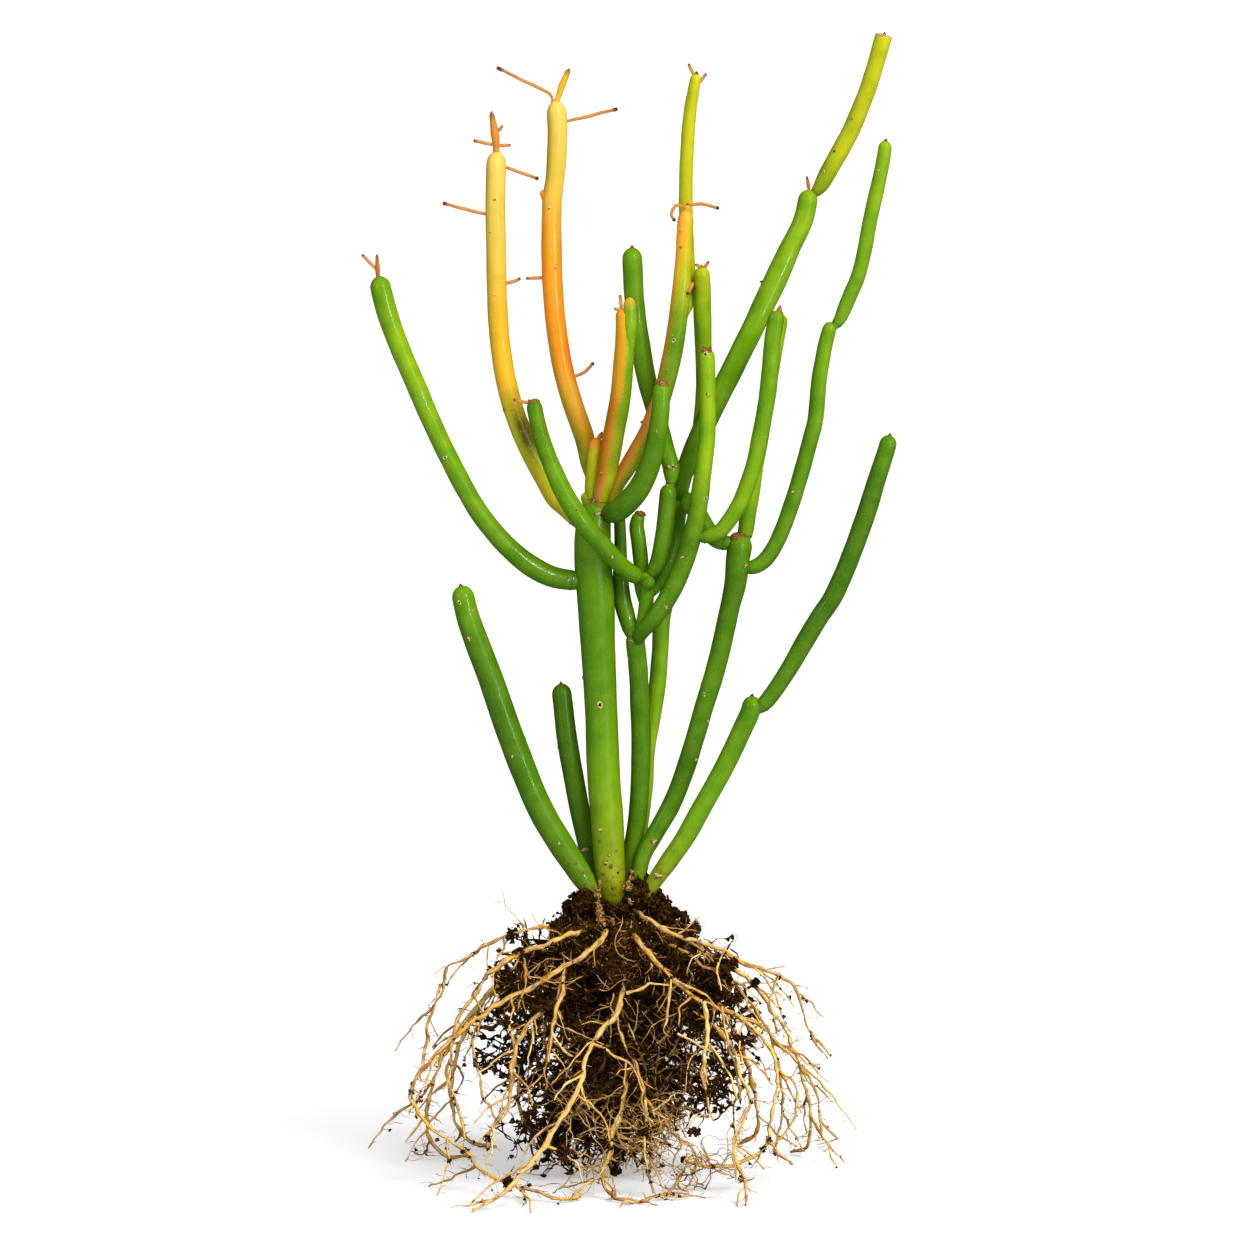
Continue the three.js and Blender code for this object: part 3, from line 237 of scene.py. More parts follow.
# The stems and branches.
LIMBS: tuple[Limb, ...] = (
    Limb("trunk", Slot.STEM, sprouts=(Shade.OLIVE,),
        route=((-0.4, 84, 0, 3.2), (-1.1, 97.3, 0, 4), (-1.4, 102.2, 0, 5.1), (-1.8, 107.1, 0, 5.4),
            (-2.8, 125.3, 0, 5.8), (-3.9, 139.3, 0, 5.8), (-5, 166.6, 0, 5.7), (-6.1, 188.3, 0, 6.1),
            (-6.7, 202.3, 0, 6.6), (-7.7, 216.3, 0, 6.5), (-7.7, 226.1, 0, 6.4), (-6.7, 233.8, 0, 5.3),
            (-6, 238.3, 0, 4)),
        shades=((0, Shade.EARTH), (0.08, Shade.OLIVE), (0.2, Shade.MOSS), (0.4, Shade.GRASS),
            (0.55, Shade.LEAF), (0.85, Shade.LEAF), (0.93, Shade.FERN), (1, Shade.STONE)),
        shoots=(((-8.1, 233.1, -0.5, 1.9), (-10.9, 239.8, -0.5, 1.8)),),
        marks=((Mark.RIM, -5.3, 166.6, 3), (Mark.FLECK, -5.3, 122.5, 1.6), (Mark.SCAB, -5.3, 118.6, 1.5),
            (Mark.FLECK, -7.5, 236.6, 2.2), (Mark.FLECK, -5.8, 232.7, 2.4), (Mark.FLECK, -3.2, 110.6, 1.7),
            (Mark.SCAB, -1.4, 109.2, 1.8), (Mark.SCAB, -4.2, 107.4, 1.5), (Mark.PIT, 1, 107.1, 1.2),
            (Mark.SCAB, -0.7, 101.5, 1.6), (Mark.FLECK, -2.1, 113, 1), (Mark.SCAB, 0.3, 115.5, 1))),
    Limb("branch_low_left", Slot.STEM, parent="trunk", tip=Tip.BUD, sprouts=(Shade.RUST,),
        route=((-11.5, 208.6, 0, 3.4), (-22.1, 210.4, -1, 3.8), (-29.4, 214.2, -2, 3.8),
            (-36.4, 219.8, -2.5, 3.6), (-43.8, 227.9, -3, 3.5), (-50.1, 237, -3, 3.4),
            (-58.1, 252, -3.5, 3.3), (-64.4, 265.3, -3.5, 3.4), (-70.4, 279.3, -4, 3.4),
            (-76.3, 293.3, -4, 3.5), (-80.2, 304.9, -4, 3.7), (-82.6, 315, -4, 3.5)),
        shades=((0, Shade.IVY), (0.2, Shade.LEAF), (0.5, Shade.GRASS), (0.8, Shade.LIME), (1, Shade.GRASS)),
        shoots=(((-82.6, 313, -4, 1.1), (-83, 322.4, -4, 0.5)),),
        leaves=(((-83.2, 317.5, -4), (-88.2, 322.7, -4)),),
        marks=((Mark.RIM, -59.8, 252, 2), (Mark.FLECK, -16.4, 208.6, 1.4))),
    Limb("branch_orange", Slot.ORANGE, parent="trunk", sprouts=(Shade.CANARY, Shade.TANGERINE),
        route=((-7, 231, 2.5, 2.6), (-6.8, 238, 5.2, 3), (-6.9, 244.5, 6.6, 3.3), (-8.8, 250.6, 6.8, 3.5),
            (-10.5, 258.3, 7.2, 3.6), (-15.2, 272.3, 8, 3.6), (-17.9, 282.1, 8.5, 3.6),
            (-20, 293.3, 9, 3.6), (-21.5, 307.3, 10, 3.6), (-22.1, 321.3, 11, 3.6), (-21.9, 342.3, 12, 3.5),
            (-20.9, 350.5, 12, 3.3), (-20.1, 366.8, 12, 3.6), (-20.7, 376.6, 12, 3.6)),
        shades=((0, Shade.OLIVE), (0.1, Shade.MUSTARD), (0.22, Shade.GOLD), (0.32, Shade.HONEY),
            (0.42, Shade.TANGERINE), (0.6, Shade.MARIGOLD), (0.72, Shade.HONEY), (0.82, Shade.BUTTER),
            (1, Shade.CREAM)),
        side_tints=(SideTint(Shade.FLAME, 1, 0.32, 0.47, 0.35), SideTint(Shade.OLIVE, -1, 0.02, 0.26, 0.1),
            SideTint(Shade.GOLD, -1, 0.24, 0.5, 0.3), SideTint(Shade.TANGERINE, -1, 0.5, 0.74, 0.2),
            SideTint(Shade.TANGERINE, 1, 0.5, 0.72, 0.3), SideTint(Shade.MUSTARD, -1, 0.8, 1, 0.45)),
        shoots=(((-20.7, 375, 12, 1.4), (-18.6, 381.5, 12, 1.1), (-16.1, 387.5, 12, 0.9)),
            ((-23, 340.5, 12, 1.6), (-25.6, 345.5, 12, 1.2))),
        leaves=(((-22, 374, 12), (-22.3, 378.2, 12), (-31.5, 383.3, 12), (-41.3, 388.2, 12)),
            ((-18.5, 369, 12), (-7.4, 371.7, 12), (1, 373.8, 12)), ((-23.9, 315, 11), (-31.2, 314.7, 11)),
            ((-15.5, 279.9, 8), (-10.5, 282.1, 8), (-7.4, 285.3, 8))),
        marks=((Mark.RIM, -23.1, 339.6, 1.5), (Mark.FLECK, -20.8, 318.1, 1))),
    Limb("branch_yellow", Slot.YELLOW, parent="trunk", sprouts=(Shade.AMBER,),
        route=((-11, 228, 0, 2.8), (-17.2, 234.5, 1.5, 3.4), (-21, 238.4, 3, 3.6), (-24.2, 244.3, 4, 3.6),
            (-29.8, 254.8, 5, 3.6), (-34.3, 265.3, 6, 3.6), (-38.2, 279.3, 7, 3.6), (-40.3, 293.3, 8, 3.5),
            (-41.2, 307.3, 8, 3.5), (-41.5, 321.3, 8, 3.5), (-41.8, 342.3, 8, 3.5), (-41.3, 359.1, 8, 3.5)),
        shades=((0, Shade.MUSTARD), (0.1, Shade.MUSTARD), (0.3, Shade.CHARTREUSE), (0.42, Shade.CANARY),
            (0.6, Shade.CANARY), (0.75, Shade.BUTTER), (1, Shade.CREAM)),
        # The first colour on the right side is a painted shadow, cast by a neighbouring branch.
        side_tints=(SideTint(Shade.PAINTED_SHADOW, 1, 0.22, 0.37, -0.6), SideTint(Shade.AMBER, 1, 0.04, 0.6, 0.75),
            SideTint(Shade.MUSTARD, -1, 0.3, 1, 0.6)),
        shoots=(((-41.3, 357, 8, 1.6), (-41.7, 363.3, 8, 1.5), (-43.1, 372.4, 8, 0.8)),),
        leaves=(((-41.5, 361, 8), (-49.4, 362.6, 8)), ((-41, 360.9, 8), (-36.4, 360.9, 8)),
            ((-43.5, 336.6, 8), (-52.5, 338.8, 8), (-60.2, 340.9, 8)), ((-40, 354, 8), (-31.5, 351, 8),
            (-26.6, 349.2, 7)), ((-40, 312.5, 8), (-35.4, 313.6, 8), (-32.9, 314.7, 8)), ((-40.6, 365.8, 8),
            (-39.2, 367.9, 8))),
        marks=((Mark.SCAB, -39.2, 268.1, 1.6), (Mark.FLECK, -42.1, 341.9, 1), (Mark.RIM, -43.7, 330.4, 1.3),
            (Mark.RIM, -42, 308.7, 1))),
    Limb("branch_edged", Slot.ORANGE, parent="trunk", sprouts=(Shade.HONEY,),
        route=((-3, 234, 1.5, 1.8), (0.7, 242.6, 1.2, 2.8), (3.9, 247.8, 0.5, 3), (7.7, 254.1, 0, 3.1),
            (11.6, 261.1, 0, 3.2), (14, 267.1, 0, 3.3), (16.1, 272.3, 0, 3.3), (19.7, 286.3, 0, 3.4),
            (22.2, 302.1, 0, 3.4), (23.9, 319.6, 1, 3), (24.5, 331.8, 1, 2.9), (24.9, 338.5, 1, 2.7)),
        shades=((0, Shade.CHARTREUSE), (0.16, Shade.CHARTREUSE), (0.32, Shade.LIME), (0.5, Shade.MOSS),
            (0.62, Shade.GRASS), (0.8, Shade.CHARTREUSE), (0.9, Shade.CANARY), (1, Shade.HONEY)),
        side_tints=(SideTint(Shade.APRICOT, -1, 0.06, 0.42, -0.2), SideTint(Shade.AMBER, -1, 0.4, 0.8, 0.45),
            SideTint(Shade.HONEY, -1, 0.76, 1, 0.3), SideTint(Shade.CHARTREUSE, 1, 0.74, 0.98, 0.2)),
        shoots=(((24.9, 337, 1, 1.2), (25.4, 340.3, 0.5, 0.9)),),
        leaves=(((25, 339.6, 0.5), (30, 340.4, 0.3), (36.4, 338.8, 0)), ((24.6, 339.2, 0.3),
            (21.4, 339.9, -0.5), (19.6, 336.7, -1), (21, 334.3, -3)), ((10.9, 263.9, -1),
            (8.8, 264.6, -1.5))),
        marks=((Mark.RIM, 20.6, 293.1, 1.9), (Mark.SCAB, 22.7, 331.1, 1), (Mark.SCAB, 22.9, 325.5, 1))),
    Limb("shoot_short", Slot.SHOOT, parent="trunk", tip=Tip.BUD, sprouts=(Shade.AMBER,),
        route=((-8.1, 234, -0.3, 2), (-8.1, 240.8, -0.4, 2.6), (-7.4, 249.6, 0, 2.7), (-6.3, 259, 0, 2.6)),
        shades=((0, Shade.LIME), (0.6, Shade.CHARTREUSE), (0.82, Shade.CHARTREUSE), (0.93, Shade.PEACH),
            (1, Shade.AMBER)),
        shoots=(((-6.3, 257.5, 0, 1.1), (-4.6, 260.7, 0, 0.6)),)),
    Limb("branch_bronze", Slot.BRONZE, parent="trunk", tip=Tip.BUD, sprouts=(Shade.LIME,),
        route=((-5.2, 232.5, -1.5, 1.8), (-4.7, 239.1, -3.2, 2.8), (-3.2, 244.3, -4.2, 3.4),
            (-2.1, 250.6, -4.8, 3.6), (-0.8, 258.3, -5.2, 3.7), (1.8, 272.3, -6, 3.7),
            (2.8, 282.8, -7, 3.6), (3.3, 293.3, -7.5, 3.3), (2.3, 303.8, -8, 2.1)),
        shades=((0, Shade.SPRIG), (0.14, Shade.SPRIG), (0.3, Shade.KHAKI), (0.6, Shade.FERN),
            (0.85, Shade.LIME), (1, Shade.AMBER)),
        side_tints=(SideTint(Shade.BRONZE, -1, 0.12, 1, -0.15), SideTint(Shade.PEACH, -1, 0, 0.18, -0.1),
            SideTint(Shade.GOLD, -1, 0.6, 1, -0.4)),
        shoots=(((4.2, 286, -8, 2.2), (5.1, 298.6, -8.3, 2.5), (5.1, 307.7, -8.3, 2)),),
        leaves=(((2.2, 302.5, -8), (1.9, 308.5, -8)), ((1.8, 303.4, -8), (-0.5, 303.8, -8.5))),
        marks=((Mark.FLECK, -7.3, 237.3, 2), (Mark.FLECK, 6.3, 305.2, 1.4), (Mark.FLECK, -4.6, 246.7, 1.2))),
    Limb("branch_front", Slot.STEM, parent="trunk", tip=Tip.KNOB,
        route=((-3.5, 232, -3, 3.4), (0.4, 233.1, -5.8, 4), (5.3, 237.3, -8.2, 4.1), (8.8, 241.9, -9.2, 4),
            (12.3, 249.6, -10, 3.7), (14.4, 258.3, -11, 3.4), (15.8, 267.1, -11, 3.2),
            (16.3, 278.3, -10.5, 2.9)),
        shades=((0, Shade.PINE), (0.55, Shade.IVY), (0.8, Shade.LEAF), (1, Shade.GRASS)),
        marks=((Mark.FLECK, 14.7, 261.1, 1.2), (Mark.RIM, 16.8, 277.5, 2.4))),
    Limb("stem_second", Slot.STEM, tip=Tip.KNOB,
        route=((3.5, 88, 6.6, 2.8), (4.9, 104, 6.4, 3.1), (5.6, 113.4, 6.2, 3.1), (7.7, 125.3, 5, 3.2),
            (8.6, 135.8, 4.5, 3.3), (9.1, 151.9, 4, 3.5), (8.6, 168, 3, 3.4), (8.1, 177.8, 2, 3.4),
            (7.1, 188.3, 0.5, 3.4), (6.9, 191.2, 0.2, 3.2)),
        shades=((0, Shade.OLIVE), (0.12, Shade.LEAF), (0.4, Shade.IVY), (0.8, Shade.IVY), (1, Shade.LEAF)),
        marks=((Mark.RIM, 5.6, 188.5, 1.6), (Mark.PIT, 7.3, 191.1, 1.4), (Mark.FLECK, 3.5, 181.6, 1.4))),
    Limb("twig_left", Slot.STEM, parent="stem_second", tip=Tip.KNOB,
        route=((6.4, 188.6, 0.6, 2.5), (4.4, 195.3, 2.2, 3.1), (2.6, 202.3, 4.3, 3.2), (1.9, 212.8, 5, 2.6),
            (1.9, 221.6, 5, 2.2), (1.6, 232.5, 4.6, 2)),
        shades=((0, Shade.LEAF), (1, Shade.PINE))),
    Limb("branch_knuckle", Slot.STEM, parent="stem_second", tip=Tip.KNOB, sprouts=(Shade.LEAF,),
        route=((8, 188.5, 0, 1.8), (10.3, 197.6, -0.5, 2.5), (11, 203, -0.5, 2.6),
            (11.5, 212.3, -0.5, 2.6)),
        shades=((0, Shade.LEAF), (1, Shade.GRASS)),
        shoots=(((11.4, 206.5, -2, 2.1), (11.7, 208.9, -3.5, 2.5), (11.9, 210.7, -3.5, 2.3)),),
        marks=((Mark.FLECK, 7.7, 210.3, 1.5),)),
    Limb("branch_crossing", Slot.SHOOT, parent="branch_knuckle", tip=Tip.KNOB,
        route=((10.5, 209.6, -0.9, 2.6), (7.7, 210.4, -1.8, 3), (3.5, 213.2, -3.8, 3.1),
            (0, 216.5, -6.8, 3.1), (-3.2, 220.2, -9.4, 3.1), (-9.5, 227.2, -12, 3.4),
            (-13.7, 232.9, -13, 3.4), (-16.8, 237.7, -13, 3.3), (-20, 244.3, -13, 3.2),
            (-24.3, 254.8, -12.5, 2.9), (-27.3, 265.3, -12, 2.8), (-28.5, 272, -11, 2.7)),
        shades=((0, Shade.LEAF), (0.4, Shade.LEAF), (0.6, Shade.GRASS), (0.8, Shade.LEAF), (1, Shade.IVY)),
        leaves=(((-29, 270.8, -11), (-35.4, 272, -11)),),
        marks=((Mark.RED, -13.5, 233.7, 1), (Mark.FLECK, -2.1, 219.1, 1.3))),
    Limb("twig_upright", Slot.STEM, parent="branch_knuckle", tip=Tip.KNOB,
        route=((10.4, 200, 1, 1.7), (8.7, 207.5, 4, 2.1), (9.1, 214.6, 5, 2.7), (8.2, 223.3, 5, 2.7),
            (7.6, 229, 5, 2.7), (9, 233, 4.6, 2)),
        shades=((0, Shade.LEAF), (1, Shade.GRASS))),
    Limb("branch_post", Slot.STEM, parent="branch_knuckle",
        route=((11.6, 209.6, -0.6, 2.2), (14.9, 215.1, -0.5, 3), (16.2, 219.8, -0.5, 3.1),
            (17.4, 227.2, -0.5, 3.1), (18.2, 234.5, -0.5, 3.1), (18.8, 242.8, -1, 3.1)),
        shades=((0, Shade.IVY), (1, Shade.LEAF)),
        marks=((Mark.FLECK, 18.5, 243.6, 1.8), (Mark.RED, 19.9, 244, 0.9), (Mark.FLECK, 20.6, 243.4, 1.1))),
    Limb("branch_dark_tip", Slot.STEM, parent="branch_post", tip=Tip.BUD,
        route=((19.4, 243.2, -1, 2.4), (19.7, 247.8, -0.8, 3.2), (18.6, 252.4, 1, 3),
            (16.1, 261.1, 5.4, 3.1), (14.6, 266.8, 7.4, 3.2), (13, 272.3, 8.7, 3.3), (11, 280, 9.8, 3.4),
            (9.1, 289.8, 11, 3.5), (7.5, 300.3, 12, 3.5), (6.5, 310.8, 12, 3.5), (6.1, 320.6, 12, 3.5),
            (6, 325.5, 12, 3.4)),
        shades=((0, Shade.GRASS), (0.4, Shade.LEAF), (1, Shade.GRASS)),
        marks=((Mark.FLECK, 18.9, 248.3, 2), (Mark.RED, 20.1, 248.5, 1), (Mark.RED, 16.4, 247.3, 1.2),
            (Mark.FLECK, 21.3, 248.1, 1))),
    Limb("branch_link_back", Slot.STEM, parent="branch_knuckle",
        route=((11.2, 203.5, 0.8, 1.9), (14, 206.8, 3.4, 2.2), (16.5, 211.4, 5.2, 2.5),
            (18.2, 214.6, 7, 2.6), (20.7, 223.3, 8.6, 2.8), (22.1, 231.7, 9.2, 2.8), (23, 238, 9.4, 2.7)),
        shades=((0, Shade.LEAF), (1, Shade.LEAF))),
    Limb("branch_arching", Slot.STEM, parent="branch_link_back", sprouts=(Shade.LIME, Shade.RUST),
        route=((23, 236.5, 9.4, 2.2), (23.8, 245, 8.2, 3.1), (26.3, 252, 6.8, 3.5), (29.8, 260.1, 6, 3.7),
            (35, 270.9, 7, 3.8), (39.6, 280, 8.5, 3.9), (44.5, 290, 10.5, 3.9), (48, 296.8, 12, 3.9),
            (51.8, 305.2, 14, 4), (56.4, 314.7, 16, 4.1), (61.3, 325.5, 18, 3.7), (65.8, 335, 19, 3.5),
            (68.2, 345.8, 20, 3.4)),
        shades=((0, Shade.LEAF), (0.4, Shade.GRASS), (1, Shade.LIME)),
        shoots=(((54, 313, 15.5, 1.5), (51.2, 313.6, 15.5, 0.9)), ((68.1, 344.5, 20, 0.8),
            (67.2, 350.2, 20, 0.4))),
        marks=((Mark.RIM, 49.7, 312.2, 2),)),
    Limb("branch_top", Slot.SHOOT, parent="branch_arching", tip=Tip.CUT,
        route=((69.5, 344.2, 20, 2.2), (71.8, 346.9, 20, 2.6), (74.6, 352.1, 20, 3.1), (77, 356.3, 20, 3.1),
            (81.6, 364.7, 20, 3.1), (85.4, 373.2, 20, 3), (88.6, 381.5, 20, 3), (91.7, 391.7, 20, 3),
            (94, 399.7, 20, 3)),
        shades=((0, Shade.MOSS), (0.3, Shade.SPRIG), (1, Shade.CHARTREUSE)),
        marks=((Mark.FLECK, 82.3, 370.3, 1.4), (Mark.PIT, 76.3, 359.1, 1.2), (Mark.FLECK, 73, 351.8, 1.2))),
    Limb("branch_leaning", Slot.SHOOT, parent="stem_second", tip=Tip.KNOB,
        route=((7.6, 187.5, -0.8, 2.3), (9.1, 190.6, -3.4, 2.6), (13, 195.3, -5.6, 3.1),
            (16.5, 199.9, -6, 3.2), (20, 205.8, -6, 3.3), (23.1, 212.8, -6, 3.3), (25.6, 219.8, -6.2, 3.4),
            (28.4, 230.3, -7, 3.3), (29.4, 237.3, -7.2, 3.2), (30.4, 244.3, -7.5, 3.1),
            (31.3, 251.3, -8, 3), (32.1, 258.3, -8, 2.9), (32.3, 272.3, -8, 2.9), (32.2, 284.6, -8, 2.8),
            (31.9, 289.8, -8, 2.7)),
        shades=((0, Shade.IVY), (0.4, Shade.IVY), (0.68, Shade.LIME), (1, Shade.LIME)),
        marks=((Mark.FLECK, 23.3, 217.7, 1.5), (Mark.FLECK, 18.5, 199.8, 1.6), (Mark.RIM, 31.8, 238.4, 2.2),
            (Mark.FLECK, 32.5, 274.7, 1.4), (Mark.RIM, 31.5, 288, 2.8))),
    Limb("branch_red_bud", Slot.SHOOT, parent="branch_leaning", tip=Tip.BUD, sprouts=(Shade.RUST,),
        route=((28.6, 224.2, -6.8, 2.2), (32.2, 224.4, -7, 2.6), (36.1, 225.8, -7.2, 2.8),
            (39.6, 229.6, -7.6, 2.8), (43.4, 235.9, -8, 2.8), (46.2, 242.6, -8.5, 2.8),
            (48.7, 250.6, -9, 2.8), (50.4, 258.3, -9, 2.9), (53, 272.3, -9.5, 3), (54.1, 282.8, -10, 3),
            (55, 293.3, -10, 2.9), (56.7, 303.1, -10, 2.8)),
        shades=((0, Shade.LEAF), (0.3, Shade.LIME), (0.55, Shade.GRASS), (1, Shade.GRASS)),
        shoots=(((56.8, 301.5, -10, 1.1), (57.6, 304.6, -10, 0.7)),)),
    Limb("stem_third", Slot.STEM,
        route=((7, 90, 11.5, 2.2), (7.6, 103, 11.4, 2.3), (8.3, 114.8, 11.4, 2.4), (9.5, 125.3, 11.4, 2.5),
            (11, 139.3, 11.4, 2.6), (11.2, 147.7, 11.2, 2.7), (13, 159.6, 11, 2.8), (14.7, 171.3, 11, 3),
            (15.8, 184.1, 11, 3), (16.6, 197.1, 11.5, 3), (18.9, 205.1, 12.8, 3), (21.7, 211.1, 13.4, 3),
            (24.9, 218.1, 13.6, 3), (27.7, 226.8, 13.6, 3), (28.4, 232, 13.6, 2.7)),
        shades=((0, Shade.MOSS), (0.35, Shade.LIME), (0.7, Shade.GRASS), (1, Shade.LEAF))),
    Limb("branch_behind", Slot.STEM, parent="stem_third", tip=Tip.BUD,
        route=((28.6, 229.5, 13.6, 2), (29.8, 235.6, 13.8, 2.8), (30.5, 244.3, 13.8, 3),
            (30.1, 253.1, 13.8, 3.1), (30.1, 261.8, 13.8, 3.1), (31, 272.3, 13, 3), (31.2, 282.8, 9.5, 3),
            (30.8, 293.3, 6.8, 3), (30.5, 303.8, 3.8, 3.2), (30.5, 311.9, 2, 3), (30.1, 318.5, 1, 2.8)),
        shades=((0, Shade.GRASS), (0.5, Shade.LIME), (0.82, Shade.LIME), (1, Shade.SPRIG)),
        leaves=(((30.3, 317, 1), (32.9, 320.5, 0.5)), ((30.1, 318.5, 0.5), (28, 319.4, 0)))),
    Limb("shoot_thin", Slot.SHOOT, parent="branch_edged", tip=Tip.BUD,
        route=((24.6, 302, 1.5, 1.7), (25.5, 305.8, 3.8, 2.1), (26, 311.5, 6, 2.3), (25.7, 318.5, 7, 2.4),
            (25.2, 326.6, 7, 2.4), (24.7, 340.6, 6.2, 2.4), (25, 356.3, 4, 2.4), (26.3, 373.5, 3, 2.2),
            (27.7, 381.5, 2, 2), (28.4, 385.7, 2, 1.7)),
        shades=((0, Shade.LIME), (0.4, Shade.CHARTREUSE), (1, Shade.CHARTREUSE)),
        leaves=(((28, 384, 2), (25.6, 389.2, 2)), ((28.4, 381.5, 2), (31.9, 385.7, 2)), ((27.5, 314.1, 4.5),
            (27, 312.5, 0.5), (26.2, 310.5, -1.8), (25.3, 308.7, -2.6)))),
    Limb("stem_fourth", Slot.STEM, tip=Tip.KNOB,
        route=((7.2, 93, 1.2, 2.6), (9.8, 112, 1.4, 2.7), (13.9, 119.9, 3, 3.1), (19.8, 130.6, 4, 3.3),
            (24.1, 141.4, 4.2, 3.3), (27.5, 152, 4, 3.3), (31.2, 164.9, 3.5, 3.4), (34.6, 175.7, 3, 3.5),
            (37.3, 186.3, 2, 3.5), (40.3, 200.2, 1, 3.5), (42, 207.6, 0.5, 3.9), (42.9, 216.3, 0, 4.2),
            (43.6, 221.6, 0, 4.5), (43.5, 225.4, 0, 4)),
        shades=((0, Shade.OLIVE), (0.12, Shade.LEAF), (0.4, Shade.PINE), (0.62, Shade.LEAF),
            (0.85, Shade.PINE), (1, Shade.LEAF)),
        marks=((Mark.RIM, 31.1, 170.1, 1.8), (Mark.FLECK, 32.9, 159.9, 1.4), (Mark.FLECK, 28.7, 146.6, 1.2),
            (Mark.FLECK, 14, 116.6, 2.2), (Mark.RED, 14.3, 115.8, 1), (Mark.FLECK, 45.8, 215.2, 2))),
    Limb("branch_link_left", Slot.SHOOT, parent="stem_fourth",
        route=((42, 222, 0.2, 2.5), (37.2, 222.6, 0.8, 3), (35, 223.7, 1, 3), (32.6, 226.5, 1.2, 3.1),
            (29.8, 231, 1.5, 3.2), (26.3, 236.3, 2, 3.3), (23.9, 239.2, 2, 3)),
        shades=((0, Shade.LEAF), (1, Shade.GRASS))),
    Limb("branch_slim", Slot.SHOOT, parent="stem_fourth", tip=Tip.BUD,
        route=((44.2, 221.5, 1.2, 2.4), (45.7, 226.4, 1.2, 2.8), (46.6, 233.8, 1.2, 3),
            (48, 241.5, 0.7, 2.9), (49.4, 250.3, 0, 2.7), (51.5, 262.2, -1, 2.8), (53.6, 275.8, -1.5, 2.8),
            (56, 291.2, -2, 2.8), (58.1, 302.1, -2, 2.7)),
        shades=((0, Shade.LEAF), (0.3, Shade.LIME), (0.6, Shade.GRASS), (1, Shade.LIME)),
        marks=((Mark.RED, 45.1, 225.7, 1.6),)),
    Limb("branch_right", Slot.STEM, parent="stem_fourth",
        route=((44.5, 213.2, 0, 2.2), (48.7, 213.9, 0, 2.6), (52.2, 216, 0, 2.8), (55.3, 220.2, 0, 2.8),
            (58.1, 225.8, 0, 2.8), (60.9, 233.1, 0, 2.8), (63.7, 241.9, 0, 2.8), (66.4, 251.3, 0, 2.8),
            (68.3, 258.3, 0, 2.8), (70, 265.3, 0, 2.8), (71.3, 279.3, 0, 2.8), (72.5, 286.3, 0, 2.7),
            (73.9, 293.3, 0, 2.6), (75.6, 299.3, 0, 2.4)),
        shades=((0, Shade.LEAF), (0.5, Shade.LEAF), (0.8, Shade.GRASS), (1, Shade.GRASS)),
        marks=((Mark.FLECK, 62.1, 241, 1.4), (Mark.FLECK, 72.3, 264.9, 1.4))),
    Limb("branch_right_tip", Slot.SHOOT, parent="branch_right", tip=Tip.BUD,
        route=((75.6, 297, 0, 1.7), (78.1, 299.6, 0, 2.1), (79.8, 303.1, 0, 2.6), (82.3, 309.1, 0, 2.6),
            (84.7, 314.7, 0, 2.6), (87.2, 324.8, 0, 2.6), (88.9, 334.3, 0, 2.6), (90.7, 342.3, 0, 2.6),
            (92.4, 350, 0, 2.5), (93.8, 357.4, 0, 2.4), (94.4, 362.3, 0, 2.2)),
        shades=((0, Shade.GRASS), (0.4, Shade.GRASS), (1, Shade.LIME)),
        marks=((Mark.FLECK, 91.7, 352.4, 1.2),)),
    Limb("stem_right", Slot.STEM, tip=Tip.BUD,
        route=((7.4, 91, -3.4, 2.4), (13.7, 103.3, -3, 2.8), (18.6, 110.3, -3, 3.3), (24.4, 118.8, -3, 3.5),
            (29.2, 127.4, -3, 3.5), (34.6, 137, -3, 3.5), (39.4, 146.1, -3, 3.5), (44.8, 157.5, -3, 3.5),
            (47.6, 163.8, -3, 3.5), (48, 168.7, -3, 3.3)),
        shades=((0, Shade.OLIVE), (0.2, Shade.MOSS), (0.5, Shade.GRASS), (1, Shade.LEAF)),
        marks=((Mark.FLECK, 15, 106, 2.8), (Mark.SCAB, 16.1, 105.3, 1.4))),
    Limb("branch_far_right", Slot.STEM, parent="stem_right", tip=Tip.BUD,
        route=((48.6, 163.4, -3, 2.1), (51.8, 165.6, -3, 2.8), (56, 170.8, -3.5, 3), (60.9, 178.2, -4, 3.1),
            (66.5, 188, -4.5, 3.3), (71.8, 196.7, -5, 3.3), (75.6, 202.3, -5, 3.4), (79.8, 211.1, -5, 3.4),
            (83, 219.1, -5, 3.4), (85.8, 226.8, -5, 3.4), (88.4, 234.2, -5, 3.4), (92.1, 246.4, -5, 3.2),
            (95, 255.5, -5, 3.1), (95.9, 259.7, -5, 3)),
        shades=((0, Shade.LEAF), (0.4, Shade.PINE), (0.8, Shade.PINE), (1, Shade.LEAF))),
    Limb("stem_left", Slot.STEM, tip=Tip.BUD,
        route=((-7.4, 91, -3.2, 2.6), (-9.2, 100.8, -3.4, 3.2), (-12.1, 106.1, -3.2, 4.2),
            (-18.9, 116.6, -3, 4.5), (-25.9, 128.5, -3, 4.6), (-32.3, 143.5, -3, 4.6),
            (-37.6, 157.5, -3, 4.6), (-43.1, 173.6, -3, 4.5), (-48.3, 187.3, -3, 4.4),
            (-51.7, 197.1, -3, 4.1), (-53.9, 207.2, -3, 3.9)),
        shades=((0, Shade.OLIVE), (0.12, Shade.LEAF), (0.6, Shade.PINE), (0.82, Shade.IVY),
            (1, Shade.GRASS)),
        marks=((Mark.RIM, -54.6, 201.6, 1.8), (Mark.FLECK, -50, 199.5, 1.2),
            (Mark.FLECK, -51.4, 189.7, 1.8), (Mark.PIT, -42.7, 158.5, 1.3), (Mark.FLECK, -36.4, 148, 1.3),
